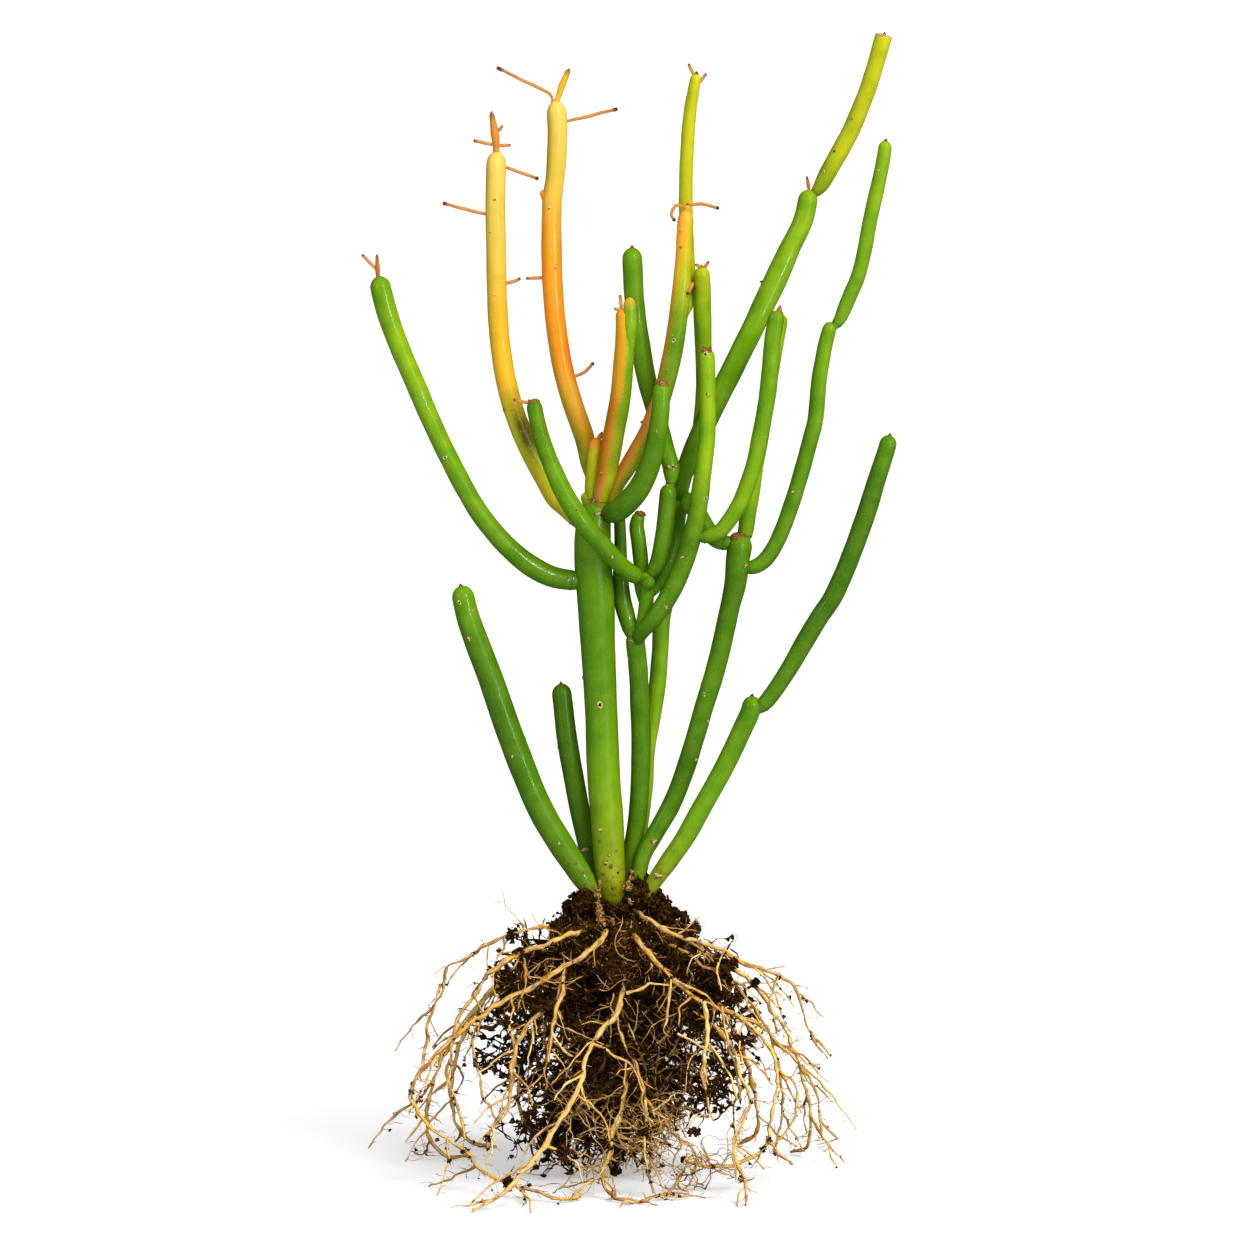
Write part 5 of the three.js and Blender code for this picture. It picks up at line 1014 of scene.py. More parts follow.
@dataclass(frozen=True)
class WaxySkin(Finish):
    """Skin of a succulent stem: living flesh under a thin film of wax.

    The flesh shows as faint mottling and streaks, and the wax as soft highlights that the pores
    and the fine ribs of the skin break up. The pores are drawn coarser than they are, to show.

    Args:
        fleck: The colour of the small pale pores.
        roughness: The wax's mean roughness.
        gloss: How strongly the wax shines.
        streak_width: The width of the streaks that run along the stem.
        mottle_size: The size of the lighter and darker patches.
        pore_gap: The distance between pores.
        grain_size: The size of the pimples.
        grit_size: The size of the soil's splashes.
        soil_line: The height at which the soil starts to cover the skin.
    """

    fleck: str
    roughness: float = 0.34
    gloss: float = 0.27
    streak_width: float = 0.0013
    mottle_size: float = 0.007
    pore_gap: float = 0.00095
    grain_size: float = 0.0006
    grit_size: float = 0.0022
    soil_line: float = 0.108

    def paint(self, node: Callable) -> dict:
        """Adds the finish's nodes, and gives the inputs of its shader.

        Args:
            node: Adds a node to the material.

        Returns:
            The shader's inputs.
        """
        tint = node("Attribute", output="Color", attribute_name="tint")
        grain = node("Attribute", output="Vector", attribute_name="grain")
        place = node("TexCoord", output="Object")
        long_grain = node("Mapping", {"Vector": grain, "Scale": (1, 1, 0.05)})
        streak = node("TexNoise", {"Vector": long_grain, "Scale": 1 / self.streak_width, "Detail": 3.0})
        mottle = node("TexNoise", {"Vector": place, "Scale": 1 / self.mottle_size, "Detail": 4.0})
        fine = node("TexNoise", {"Vector": grain, "Scale": 1 / self.grain_size, "Detail": 2.0})
        hue = node("MapRange", {0: mottle, **MOST, 3: 0.512, 4: 0.488})
        patchy = node("MapRange", {0: mottle, **MOST, 3: 0.85, 4: 1.13})
        streaky = node("MapRange", {0: streak, **MOST, 3: 0.96, 4: 1.04})
        value = node("Math", {0: patchy, 1: streaky}, operation="MULTIPLY")
        toned = node("HueSaturation", {"Hue": hue, "Value": value, "Color": tint})
        pores = node("TexVoronoi", {"Vector": grain, "Scale": 1 / self.pore_gap}, "Distance")
        chance = node("SeparateColor", {0: pores.node.outputs["Color"]})
        dots = node("MapRange", {0: pores, 1: 0.14, 2: 0.3, 3: 1.0, 4: 0.0})
        picked = node("MapRange", {0: chance, 1: 0.35, 2: 0.9, 4: 0.46})
        shown = node("Math", {0: dots, 1: picked}, operation="MULTIPLY")
        dotted = node("Mix", {0: shown, 6: toned, 7: linear(self.fleck)}, 2, data_type="RGBA")
        height = node("SeparateXYZ", {0: place}, "Z")
        grit = node("TexNoise", {"Vector": place, "Scale": 1 / self.grit_size, "Detail": 5.0})
        low = {0: height, 1: self.soil_line - 0.01, 2: self.soil_line + 0.016, 3: 1.0, 4: 0.0}
        splashed = node("MapRange", {0: grit, 1: 0.5, 2: 0.62, 4: 0.8})
        soiled = node("Math", {0: node("MapRange", low), 1: splashed}, operation="MULTIPLY")
        gritty = node("Mix", {0: soiled, 6: dotted, 7: linear("#7d5c22")}, 2, data_type="RGBA")
        under = {0: height, 1: self.soil_line - 0.0115, 2: self.soil_line - 0.009, 3: 1.0, 4: 0.0}
        buried = {0: node("MapRange", under), 6: gritty, 7: linear("#2c1d0c")}
        ribs = node("Bump", {"Height": streak, "Strength": 0.25, "Distance": 0.00012})
        pimples = {"Height": fine, "Strength": 0.6, "Distance": 0.0001, "Normal": ribs}
        dull = {0: mottle, **MOST, 3: self.roughness - 0.06, 4: self.roughness + 0.08}
        return {
            "Base Color": node("Mix", buried, 2, data_type="RGBA"),
            "Roughness": node("MapRange", dull),
            "Specular IOR Level": self.gloss,
            "Coat Weight": 0.22,
            "Coat Roughness": 0.12,
            "Normal": node("Bump", pimples),
        }


@dataclass(frozen=True)
class DryTissue(Finish):
    """Dead plant tissue: a papery leaf, a corky scar or a bud scale, matt and finely wrinkled.

    Args:
        light: The colour of its raised parts. Without one, its colour comes from the piece.
        dark: The colour of its creases.
        grain: The size of the wrinkles.
    """

    light: str = ""
    dark: str = ""
    grain: float = 0.0006

    def paint(self, node: Callable) -> dict:
        """Adds the finish's nodes, and gives the inputs of its shader.

        Args:
            node: Adds a node to the material.

        Returns:
            The shader's inputs.
        """
        place = node("TexCoord", output="Object")
        wrinkle = node("TexNoise", {"Vector": place, "Scale": 1 / self.grain, "Detail": 4.0})
        if self.light:
            share = node("MapRange", {0: wrinkle, 1: 0.36, 2: 0.64})
            colours = {0: share, 6: linear(self.dark), 7: linear(self.light)}
            colour = node("Mix", colours, 2, data_type="RGBA")
        else:
            tint = node("Attribute", output="Color", attribute_name="tint")
            value = node("MapRange", {0: wrinkle, **MOST, 3: 0.72, 4: 1.18})
            colour = node("HueSaturation", {"Value": value, "Color": tint})
        return {
            "Base Color": colour,
            "Roughness": 0.72,
            "Specular IOR Level": 0.15,
            "Normal": node("Bump", {"Height": wrinkle, "Strength": 0.5, "Distance": 0.0001}),
        }


@dataclass(frozen=True)
class RootBark(Finish):
    """Bark of a young root: tan cork that wrinkles along it, in lighter and darker streaks.

    Args:
        streak_width: The width of the wrinkles.
        patch_size: The size of the stains.
    """

    streak_width: float = 0.0005
    patch_size: float = 0.004

    def paint(self, node: Callable) -> dict:
        """Adds the finish's nodes, and gives the inputs of its shader.

        Args:
            node: Adds a node to the material.

        Returns:
            The shader's inputs.
        """
        tint = node("Attribute", output="Color", attribute_name="tint")
        grain = node("Attribute", output="Vector", attribute_name="grain")
        place = node("TexCoord", output="Object")
        long_grain = node("Mapping", {"Vector": grain, "Scale": (1, 1, 0.16)})
        streak = node("TexNoise", {"Vector": long_grain, "Scale": 1 / self.streak_width, "Detail": 3.0})
        patch = node("TexNoise", {"Vector": place, "Scale": 1 / self.patch_size, "Detail": 5.0})
        value = node("MapRange", {0: streak, 1: 0.32, 2: 0.68, 3: 0.56, 4: 1.4})
        saturation = node("MapRange", {0: patch, 1: 0.35, 2: 0.65, 3: 1.15, 4: 0.85})
        toned = node("HueSaturation", {"Value": value, "Saturation": saturation, "Color": tint})
        stain = node("MapRange", {0: patch, 1: 0.57, 2: 0.7, 4: 0.6})
        return {
            "Base Color": node("Mix", {0: stain, 6: toned, 7: linear("#6b4416")}, 2, data_type="RGBA"),
            "Roughness": 0.66,
            "Specular IOR Level": 0.22,
            "Normal": node("Bump", {"Height": streak, "Strength": 0.6, "Distance": 0.00018}),
        }


@dataclass(frozen=True)
class PottingSoil(Finish):
    """Damp peat soil: near-black crumbs with brown fibre in them, and no gloss.

    Args:
        dark: The colour of the damp crumbs.
        light: The colour of the dry ones.
        patch_size: The size of the drier patches.
        grit_size: The size of the grit.
        fibre_size: The width of the fibres.
    """

    dark: str = "#040200"
    light: str = "#6a4410"
    patch_size: float = 1 / 110
    grit_size: float = 1 / 1100
    fibre_size: float = 1 / 1500

    def paint(self, node: Callable) -> dict:
        """Adds the finish's nodes, and gives the inputs of its shader.

        Args:
            node: Adds a node to the material.

        Returns:
            The shader's inputs.
        """
        place = node("TexCoord", output="Object")
        broad = node("TexNoise", {"Vector": place, "Scale": 1 / self.patch_size, "Detail": 5.0})
        fine = node("TexNoise", {"Vector": place, "Scale": 1 / self.grit_size, "Detail": 4.0})
        dry = node("MapRange", {0: broad, 1: 0.35, 2: 0.68, 3: 0.25, 4: 1.0})
        raised = node("MapRange", {0: fine, 1: 0.38, 2: 0.66})
        share = node("Math", {0: dry, 1: raised}, operation="MULTIPLY")
        earth = node("Mix", {0: share, 6: linear(self.dark), 7: linear(self.light)}, 2, data_type="RGBA")
        stretched = node("Mapping", {"Vector": place, "Scale": (1, 1, 0.3)})
        fibres = {"Vector": stretched, "Scale": 1 / self.fibre_size, "Distortion": 2.5}
        shown = node("MapRange", {0: node("TexNoise", fibres), 1: 0.62, 2: 0.7, 4: 0.75})
        return {
            "Base Color": node("Mix", {0: shown, 6: earth, 7: linear("#9a6c2a")}, 2, data_type="RGBA"),
            "Roughness": 0.94,
            "Specular IOR Level": 0.08,
            "Normal": node("Bump", {"Height": fine, "Strength": 0.9, "Distance": 0.0005}),
        }


@dataclass(frozen=True)
class WhitePaper(Finish):
    """Matt white studio paper, lifted towards white in the picture itself.

    Args:
        glow: How much it is lifted.
    """

    glow: float = 0.36

    def paint(self, node: Callable) -> dict:
        """Adds the finish's nodes, and gives the inputs of its shader.

        Args:
            node: Adds a node to the material.

        Returns:
            The shader's inputs.
        """
        camera_ray = node("LightPath", output="Is Camera Ray")
        shares = {0: camera_ray.node.outputs["Is Glossy Ray"], 6: linear("#f4f4f4"), 7: linear("#222222")}
        return {
            "Base Color": node("Mix", shares, 2, data_type="RGBA"),
            "Emission Color": (1, 1, 1, 1),
            "Emission Strength": node("MapRange", {0: camera_ray, 4: self.glow}),
            "Roughness": 0.9,
            "Specular IOR Level": 0.0,
        }


SKINS = {
    Slot.STEM: WaxySkin("waxy_green_stem", "#a6c40c"),  # deep green, with lime pores
    Slot.SHOOT: WaxySkin("waxy_young_shoot", "#bcd40e"),  # a fresher green
    Slot.YELLOW: WaxySkin("waxy_yellow_shoot", "#ffe884"),  # warm yellow, with cream pores
    Slot.ORANGE: WaxySkin("waxy_orange_shoot", "#ffd878"),  # sunburnt orange
    Slot.BRONZE: WaxySkin("waxy_bronze_shoot", "#e8c080"),  # bronze, with tan pores
}
LEAF = DryTissue("papery_dry_leaf")  # dead leaves, thin and brown
CORK = DryTissue("corky_scar", "#f6e6b4", "#b08446")  # cream flecks and rims on the skin
SCAB = DryTissue("brown_scab", "#c08a40", "#4a2a10", 0.0004)  # brown knobs on dried ends
CREASE = DryTissue("brown_crease", "#6c7420", "#3e4410", 0.001)  # a dull line round each joint
PIT = DryTissue("dark_scar_pit", "#3d2412", "#1d0f07")  # the dark middle of a scar
BUD = DryTissue("red_brown_bud", "#a8532c", "#5c1f12", 0.0004)  # red-brown points on the tips
BARK = RootBark("tan_root_bark")  # tan roots, with painted shade on the side away from the light
CRUST = DryTissue("tan_bark_crust", "#f2bd6a", "#543010", 0.0007)  # light flakes on the dark soil
SOIL = PottingSoil("damp_peat_soil")  # a near-black mass that swallows light
CRUMB = PottingSoil("dry_peat_crumb", "#3a240a", "#c4924a")  # lighter crumbs that break it up
PAPER = WhitePaper("white_paper")  # the plain white ground
# A dry leaf's colours, each with its share of the way from the foot to the tip.
LEAF_COLOURS = ((0, "#dc9438"), (0.6, "#e0a05c"), (0.9, "#c98040"), (0.95, "#5c3416"))
SHOOT_TIP = "#8a4a1e"
ROOT_COLOURS = {"thick": "#d6a860", "second": "#d2a256", "third": "#c89850"}
FRONT_ROOTS = ("root_front", "root_right_spur", "root_right_high")
FRONT_ROOT_PAINTED_LIGHT = np.array([1.12, 1.14, 1.3])  # painted light: the front roots, which catch more light, are drawn lighter and creamier
# Painted light and shade: what a piece's own colour is multiplied by on the side facing the light and on the
# side away from it.
SKIN_PAINTED_SHADING = ((1.42, 1.24, 0.3), (0.76, 0.81, 0.4))
PALE_PAINTED_SHADING = ((1.1, 1.08, 0.9), (0.92, 0.86, 0.7))
BARK_PAINTED_SHADING = ((1.56, 1.48, 1.36), (0.33, 0.25, 0.13))


def dress(piece: bpy.types.Object, finish: Finish) -> bpy.types.Object:
    """Gives a piece a finish, smooths its shading and gives the piece back.

    Args:
        piece: The piece.
        finish: What it is made of.

    Returns:
        The same piece.
    """
    piece.data.materials.clear()
    piece.data.materials.append(material_of(finish))
    focus(piece)
    bpy.ops.object.shade_smooth()
    return piece


def paint_light_and_shade(piece: bpy.types.Object, gains: tuple) -> None:
    """Paints light and shade into a piece's own colour: lighter on the side that faces the light, darker on
    the side away from it.

    Args:
        piece: The piece, with its colour in "tint".
        gains: What red, green and blue are multiplied by on the lit side and on the shaded one.
    """
    _, normals = vertices_of(piece)
    share = np.clip((normals @ PAINTED_LIGHT_WAY - 0.05) / 0.85, 0, 1)[:, None]
    bright, dim = np.array(gains)
    set_tint(piece.data, np.clip(tint_of(piece.data) * (dim + share * (bright - dim)), 0, 1))


def seat(piece: bpy.types.Object, slot: Slot, *nodes: str) -> None:
    """Puts a finished piece on the body, in the place of its solids, and logs its triangles.

    Args:
        piece: The piece.
        slot: Its slot; not used.
        *nodes: The solids that it replaces.
    """
    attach(piece, "root")
    if nodes:
        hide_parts(*nodes)
    mesh = piece.data
    mesh.calc_loop_triangles()
    log.info("%s: %d triangles", piece.name, len(mesh.loop_triangles))


class Templates:
    """Small shapes that are modelled once and copied: crumbs, buds and scars, one unit in size."""

    def __init__(self) -> None:
        """Models the shapes."""
        self.crumbs = [self.crumb(seed, 2) for seed in (1, 2, 3)]
        self.grains = [self.crumb(seed, 1) for seed in (4, 5)]
        self.bud = self.model_bud()
        ring = {"major_segments": 16, "minor_segments": 8, "major_radius": 0.7, "minor_radius": 0.3}
        self.rim = self.uneven(0.1, 0.2, 0.5, 6, bpy.ops.mesh.primitive_torus_add, **ring)
        ball = {"segments": 12, "ring_count": 8, "radius": 1}
        self.pad = self.uneven(0.2, 0.3, 0.5, 7, bpy.ops.mesh.primitive_uv_sphere_add, **ball)

    def uneven(
        self, offset: float, uniform: float, normal: float, seed: int, operator: Callable, **settings: float
    ) -> bpy.types.Object:
        """Models a basic mesh whose corners are pushed in and out.

        Args:
            offset: How far they are pushed.
            uniform: How evenly far, from 0 to 1.
            normal: How much of it goes along the normals.
            seed: The draw.
            operator: Blender's operator for the mesh.
            **settings: The operator's settings.

        Returns:
            The shape.
        """
        shape = add_shape(operator, **settings)
        bpy.ops.object.mode_set(mode="EDIT")
        bpy.ops.mesh.select_all(action="SELECT")
        bpy.ops.transform.vertex_random(offset=offset, uniform=uniform, normal=normal, seed=seed)
        bpy.ops.object.mode_set(mode="OBJECT")
        return shape

    def crumb(self, seed: int, level: int) -> bpy.types.Object:
        """Models a lump of soil from a ball."""
        ball = {"subdivisions": level, "radius": 1}
        return self.uneven(0.55, 0.3, 0.7, seed, bpy.ops.mesh.primitive_ico_sphere_add, **ball)

    def model_bud(self) -> bpy.types.Object:
        """Models a pointed bud with three scales round it.

        Returns:
            The shape.
        """
        turns = [turn * 2 * math.pi / 3 for turn in range(3)]
        places = [(math.cos(turn) * 0.42, math.sin(turn) * 0.42, 0.3) for turn in turns]
        scales = []
        for place in (*places, (0.0, 0.0, 0.75)):
            ball = {"segments": 10, "ring_count": 7, "radius": 0.62, "location": place}
            scale = add_shape(bpy.ops.mesh.primitive_uv_sphere_add, **ball)
            for vertex in scale.data.vertices:
                taper = 1 - 0.55 * max(0.0, vertex.co.z)
                vertex.co.x *= taper
                vertex.co.y *= taper
                vertex.co.z *= 1.6
            scales.append(scale)
        bud = join(scales)
        bpy.ops.object.transform_apply(location=True, rotation=True, scale=True)
        return bud

    def remove(self) -> None:
        """Removes the shapes, once every copy is made."""
        for shape in [*self.crumbs, *self.grains, self.bud, self.rim, self.pad]:
            bpy.data.objects.remove(shape)


@dataclass
class StemWork:
    """Builds the stems and branches with what grows on them.

    Args:
        limbs: The stems and branches.
        templates: The small shapes.
        swell: How far the skin waves in and out.
        swell_size: The size of its waves.
        neck: How much narrower a branch is where it starts.
        neck_length: How far the narrowing reaches.
        side_tint_edge: How softly a colour on a side starts and ends, as a share of the limb.
        tail: How far back a branch is carried into its parent, each time with its width there.
        crease: The thickness of the line round a joint.
        crease_count: How many points that line has.
        crease_wave: How far it strays.
        bud_sizes: A bud's size along each of its own axes.
        scar_gap: The mean distance between scars on the sides not seen.
        scar_sizes: The least and the greatest size of these scars.
        rng: The draw.
    """

    limbs: tuple[Limb, ...]
    templates: Templates
    swell: float = 0.0003
    swell_size: float = 0.011
    neck: float = 0.34
    neck_length: float = 0.0045
    side_tint_edge: float = 0.1
    tail: tuple[tuple[float, float], ...] = ((0.0024, 0.8), (0.0016, 0.9), (0.0008, 0.97))
    crease: float = 0.0001
    crease_count: int = 40
    crease_wave: float = 0.00008
    bud_sizes: tuple[float, float, float] = (0.0008, 0.0008, 0.0007)
    scar_gap: float = 0.034
    scar_sizes: tuple[float, float] = (0.0009, 0.0017)
    rng: np.random.Generator = field(default_factory=partial(np.random.default_rng, 5))

    def __post_init__(self) -> None:
        """Traces every limb's line."""
        self.lines = {limb.node: self.line_of(limb) for limb in self.limbs}
        self.waves = clouds("skin_waves", self.swell_size, depth=1)

    def line_of(self, limb: Limb) -> np.ndarray:
        """Traces a limb, with soft changes of radius and its end rounded or cut.

        Args:
            limb: The stem or branch.

        Returns:
            Rows of x, y, z and radius.
        """
        line = follow(limb.route, STEM_STEP)
        line[:, 3] = smooth(line[:, 3], 3)
        crown = 0.12 if limb.tip is Tip.CUT else 1.1
        if limb.shoots and limb.slot in PALE_SLOTS:
            crown = 1.5
        if limb.parent is not None:
            line[:, 3] *= 1 - self.neck * (1 - np.clip(lengths(line) / self.neck_length, 0, 1)) ** 2
            line = self.root_in(line)
        return close_ends(line, foot=0.5, crown=crown)

    def root_in(self, line: np.ndarray) -> np.ndarray:
        """Carries the start of a limb a little further into what it grows from.

        Args:
            line: The limb's line.

        Returns:
            The line with three more rows at its start.
        """
        back = unit(line[0, :3] - line[3, :3])
        reach, width = np.array(self.tail).T
        start = np.column_stack([line[0, :3] + back * reach[:, None], line[0, 3] * width])
        return np.vstack([start, line])

    def build(self) -> None:
        """Builds every limb as one piece."""
        for limb in self.limbs:
            parts = [self.skin(limb)]
            parts += self.young_shoots(limb)
            parts += self.dry_leaves(limb)
            parts += self.collar(limb)
            parts += self.crown(limb)
            parts += self.seen_marks(limb)
            parts += self.unseen_marks(limb)
            seat(join(parts, f"{limb.node}_skin"), limb.slot, limb.node)

    def skin(self, limb: Limb) -> bpy.types.Object:
        """Makes the limb's own skin.

        Args:
            limb: The stem or branch.

        Returns:
            The skin.
        """
        line = self.lines[limb.node]
        shares = shares_of(line)
        shades = [(share, shade.value) for share, shade in limb.shades]
        piece = sweep(limb.node, [line], STEM_SIDES, [ramp(shades, shares)])
        # Colours on the sides: sun colours, and on one limb a painted shadow.
        for side_tint in limb.side_tints:
            self.tint_side(piece, side_tint, shares)
        merge(piece)
        displace(piece, self.waves, self.swell, level=0.5)
        # Paints light and shade into the skin's colour.
        paint_light_and_shade(piece, PALE_PAINTED_SHADING if limb.slot in PALE_SLOTS else SKIN_PAINTED_SHADING)
        return dress(piece, SKINS[limb.slot])

    def tint_side(self, piece: bpy.types.Object, side_tint: SideTint, shares: np.ndarray) -> None:
        """Colours one side of a limb, along part of it.

        Args:
            piece: The limb's skin, before its vertices are merged.
            side_tint: The colour and where it goes.
            shares: How far along the limb each ring of the skin is.
        """
        _, normals = vertices_of(piece)
        along = np.repeat(shares, STEM_SIDES)
        fade = np.clip((along - side_tint.start) / self.side_tint_edge + 0.5, 0, 1)
        fade *= np.clip((side_tint.stop - along) / self.side_tint_edge + 0.5, 0, 1)
        weight = (np.clip((normals[:, 0] * side_tint.side - side_tint.from_edge) / 0.5, 0, 1) * fade)[:, None]
        set_tint(piece.data, tint_of(piece.data) * (1 - weight) + rgb(side_tint.shade.value) * weight)

    def young_shoots(self, limb: Limb) -> list[bpy.types.Object]:
        """Makes the small shoots that start from a limb's end, blunt or with a pointed bud.

        Args:
            limb: The stem or branch.

        Returns:
            The parts made, if any.
        """
        made = []
        for route, shade in zip(limb.shoots, limb.sprouts, strict=True):
            line = follow(route, SHOOT_STEP)
            blunt = line[-1, 3] > BLUNT_RADIUS
            waist = (1, 1, 1.08, 1) if blunt else (0.85, 0.72, 1.15, 1)
            line[:, 3] *= np.interp(shares_of(line), (0, 0.2, 0.55, 1), waist)
            line = close_ends(line, foot=0.5, crown=1.2)
            ripe = np.clip((shares_of(line)[:, None] - 0.8) / 0.2, 0, 1) * (0.7 if blunt else 1)
            ripened = shade.value if shade is Shade.LEAF else Shade.HONEY.value
            young, old = rgb(shade.value), rgb(ripened if blunt else SHOOT_TIP)
            piece = sweep(f"{limb.node}_shoot", [line], SMALL_SIDES, [young * (1 - ripe) + old * ripe])
            merge(piece)
            # Paints light and shade into the shoot's colour.
            paint_light_and_shade(piece, PALE_PAINTED_SHADING)
            made.append(dress(piece, SKINS[limb.slot]))
            if not blunt:
                ahead = unit(line[-1, :3] - line[-9, :3])
                size = max(0.0005, line[-9, 3] * 0.5)
                place = line[-1, :3] - ahead * size
                made.append(self.one(self.templates.bud, place, ahead, (size, size, size * 1.2), BUD))
        return made

    def one(
        self,
        template: bpy.types.Object,
        place: np.ndarray,
        normal: np.ndarray,
        sizes: tuple | np.ndarray,
        finish: Finish,
    ) -> bpy.types.Object:
        """Copies a small shape onto a limb, standing along a normal and turned at random.

        Args:
            template: The shape.
            place: Where it goes.
            normal: The way that it stands.
            sizes: Its size along each of its own axes.
            finish: What it is made of.

        Returns:
            The copy.
        """
        axes = turned_to(np.array([normal]), np.array([self.rng.uniform(0, 2 * math.pi)]))
        corners, faces = instance(template, np.array([place]), axes, np.array([sizes], float))
        return dress(mesh_piece("part", corners, faces), finish)

    def dry_leaves(self, limb: Limb) -> list[bpy.types.Object]:
        """Makes the small dried leaves, orange at the foot and dark at the tip.

        Args:
            limb: The stem or branch.

        Returns:
            The parts made, if any.
        """
        if not limb.leaves:
            return []
        lines, tints = [], []
        for path in limb.leaves:
            line = follow(tuple((*point, 0.0) for point in path), LEAF_STEP)
            shares = shares_of(line)
            knob = np.exp(-(((shares - 0.95) / 0.04) ** 2))
            line[:, 3] = LEAF_RADIUS * (0.85 + 0.35 * np.sin(math.pi * shares) + 0.45 * knob)
            for k in range(3):
                line[:, k] += smooth(self.rng.normal(0, LEAF_WRINKLE, len(line)), 2) * (shares > 0.05)
            line = close_ends(line, foot=0.6, crown=0.9)
            lines.append(line)
            tints.append(ramp(LEAF_COLOURS, shares_of(line)))
        piece = sweep(f"{limb.node}_leaf", lines, 8, tints)
        merge(piece)
        return [dress(piece, LEAF)]

    def collar(self, limb: Limb) -> list[bpy.types.Object]:
        """Makes the thin corky ring where a limb leaves its parent.

        Args:
            limb: The stem or branch.

        Returns:
            The parts made, if any.
        """
        if limb.parent is None:
            return []
        line, host = self.lines[limb.node], self.lines[limb.parent]
        gaps = np.linalg.norm(line[:, None, :3] - host[None, :, :3], axis=2)
        clear = gaps.min(axis=1) - host[gaps.argmin(axis=1), 3]
        out = int(np.argmax((clear > line[:, 3] * 0.1) & (lengths(line) > 0.001)))
        ahead = unit(line[out + 1, :3] - line[out - 1, :3])
        size = max(line[out, 3], 0.0008) * 1.02
        side, other, _ = turned_to(ahead[None], np.array([0.0]))[0]
        angles = np.linspace(0, 2 * math.pi, self.crease_count, endpoint=False)
        wave = self.rng.normal(0, self.crease_wave, self.crease_count)
        ring = line[out, :3] + (np.cos(angles)[:, None] * side + np.sin(angles)[:, None] * other) * size
        ring = ring + ahead * wave[:, None]
        ring = np.vstack([ring, ring[:1]])
        strand = np.column_stack([ring, np.full(len(ring), self.crease)])
        piece = sweep(f"{limb.node}_collar", [strand], 6, [np.ones((len(ring), 3))])
        merge(piece)
        return [dress(piece, CREASE)]

    def crown(self, limb: Limb) -> list[bpy.types.Object]:
        """Makes what a limb ends in.

        Args:
            limb: The stem or branch.

        Returns:
            The parts made, if any.
        """
        if limb.tip is Tip.PLAIN or limb.shoots:
            return []
        line = self.lines[limb.node]
        end = line[-1, :3]
        ahead = unit(end - line[-14, :3])
        radius = line[-16, 3]
        if limb.tip is Tip.BUD:
            return [self.one(self.templates.bud, end - ahead * 0.0003, ahead, self.bud_sizes, BUD)]
        if limb.tip is Tip.KNOB:
            return self.scab(end, ahead, max(radius * 0.74, 0.0014))
        rows = (
            (self.templates.rim, end - ahead * 0.0002, (radius, radius, 0.0009), CORK),
            (self.templates.pad, end, (radius * 0.75, radius * 0.75, 0.0003), CORK),
            (self.templates.bud, end, (0.0007, 0.0007, 0.0007), BUD),
        )
        return [self.one(template, place, ahead, sizes, finish) for template, place, sizes, finish in rows]

    def scab(self, end: np.ndarray, ahead: np.ndarray, size: float) -> list[bpy.types.Object]:
        """Makes a dried, knobby cap of brown cork with a pit in it.

        Args:
            end: The limb's end.
            ahead: The way that the limb points there.
            size: The cap's radius.

        Returns:
            Its parts.
        """
        pad, crumb = self.templates.pad, self.templates.crumbs[0]
        made = [self.one(pad, end - ahead * size * 0.35, ahead, (size, size, size * 0.5), SCAB)]
        side, other, _ = turned_to(ahead[None], np.array([self.rng.uniform(0, 6)]))[0]
        for turn in range(5):
            angle = turn * 2 * math.pi / 5 + self.rng.uniform(-0.4, 0.4)
            away = side * math.cos(angle) + other * math.sin(angle)
            lump = size * self.rng.uniform(0.28, 0.5)
            place = end + away * size * 0.66 - ahead * size * self.rng.uniform(0.05, 0.35)
            made.append(self.one(crumb, place, away, (lump, lump * 0.7, lump * 0.6), SCAB))
        pit = (size * 0.35, size * 0.3, size * 0.1)
        made.append(self.one(pad, end + ahead * size * 0.08, ahead, pit, PIT))
        return made

    def spot(self, node: str, across: float, height: float) -> tuple[np.ndarray, np.ndarray]:
        """Finds the place on a limb's skin that the viewer sees at a point.

        Args:
            node: The limb.
            across: The point's place across the view.
            height: Its height in the view.

        Returns:
            The place and the skin's normal there.
        """
        line = self.lines[node]
        offsets = np.column_stack([line[:, 0], height_seen(line)]) - [across, height]
        near = int(np.clip(np.linalg.norm(offsets, axis=1).argmin(), 2, len(line) - 3))
        ahead = unit(line[near + 2, :3] - line[near - 2, :3])
        front = unit(-SIGHT - ahead * np.dot(-SIGHT, ahead))
        side = np.cross(front, ahead)
        gap = (across - line[near, 0]) * side[0]
        share = float(np.clip(gap / max(line[near, 3], 0.0005), -0.92, 0.92))
        normal = side * share + front * math.sqrt(1 - share * share)
        return line[near, :3] + normal * line[near, 3], normal

    def mark(self, kind: Mark, place: np.ndarray, normal: np.ndarray, size: float) -> list[bpy.types.Object]:
        """Makes one mark on the skin.

        Args:
            kind: The mark.
            place: Where it is.
            normal: The skin's normal there.
            size: Its width.

        Returns:
            Its parts.
        """
        shapes = self.templates
        flake, edge = shapes.crumbs[1:]
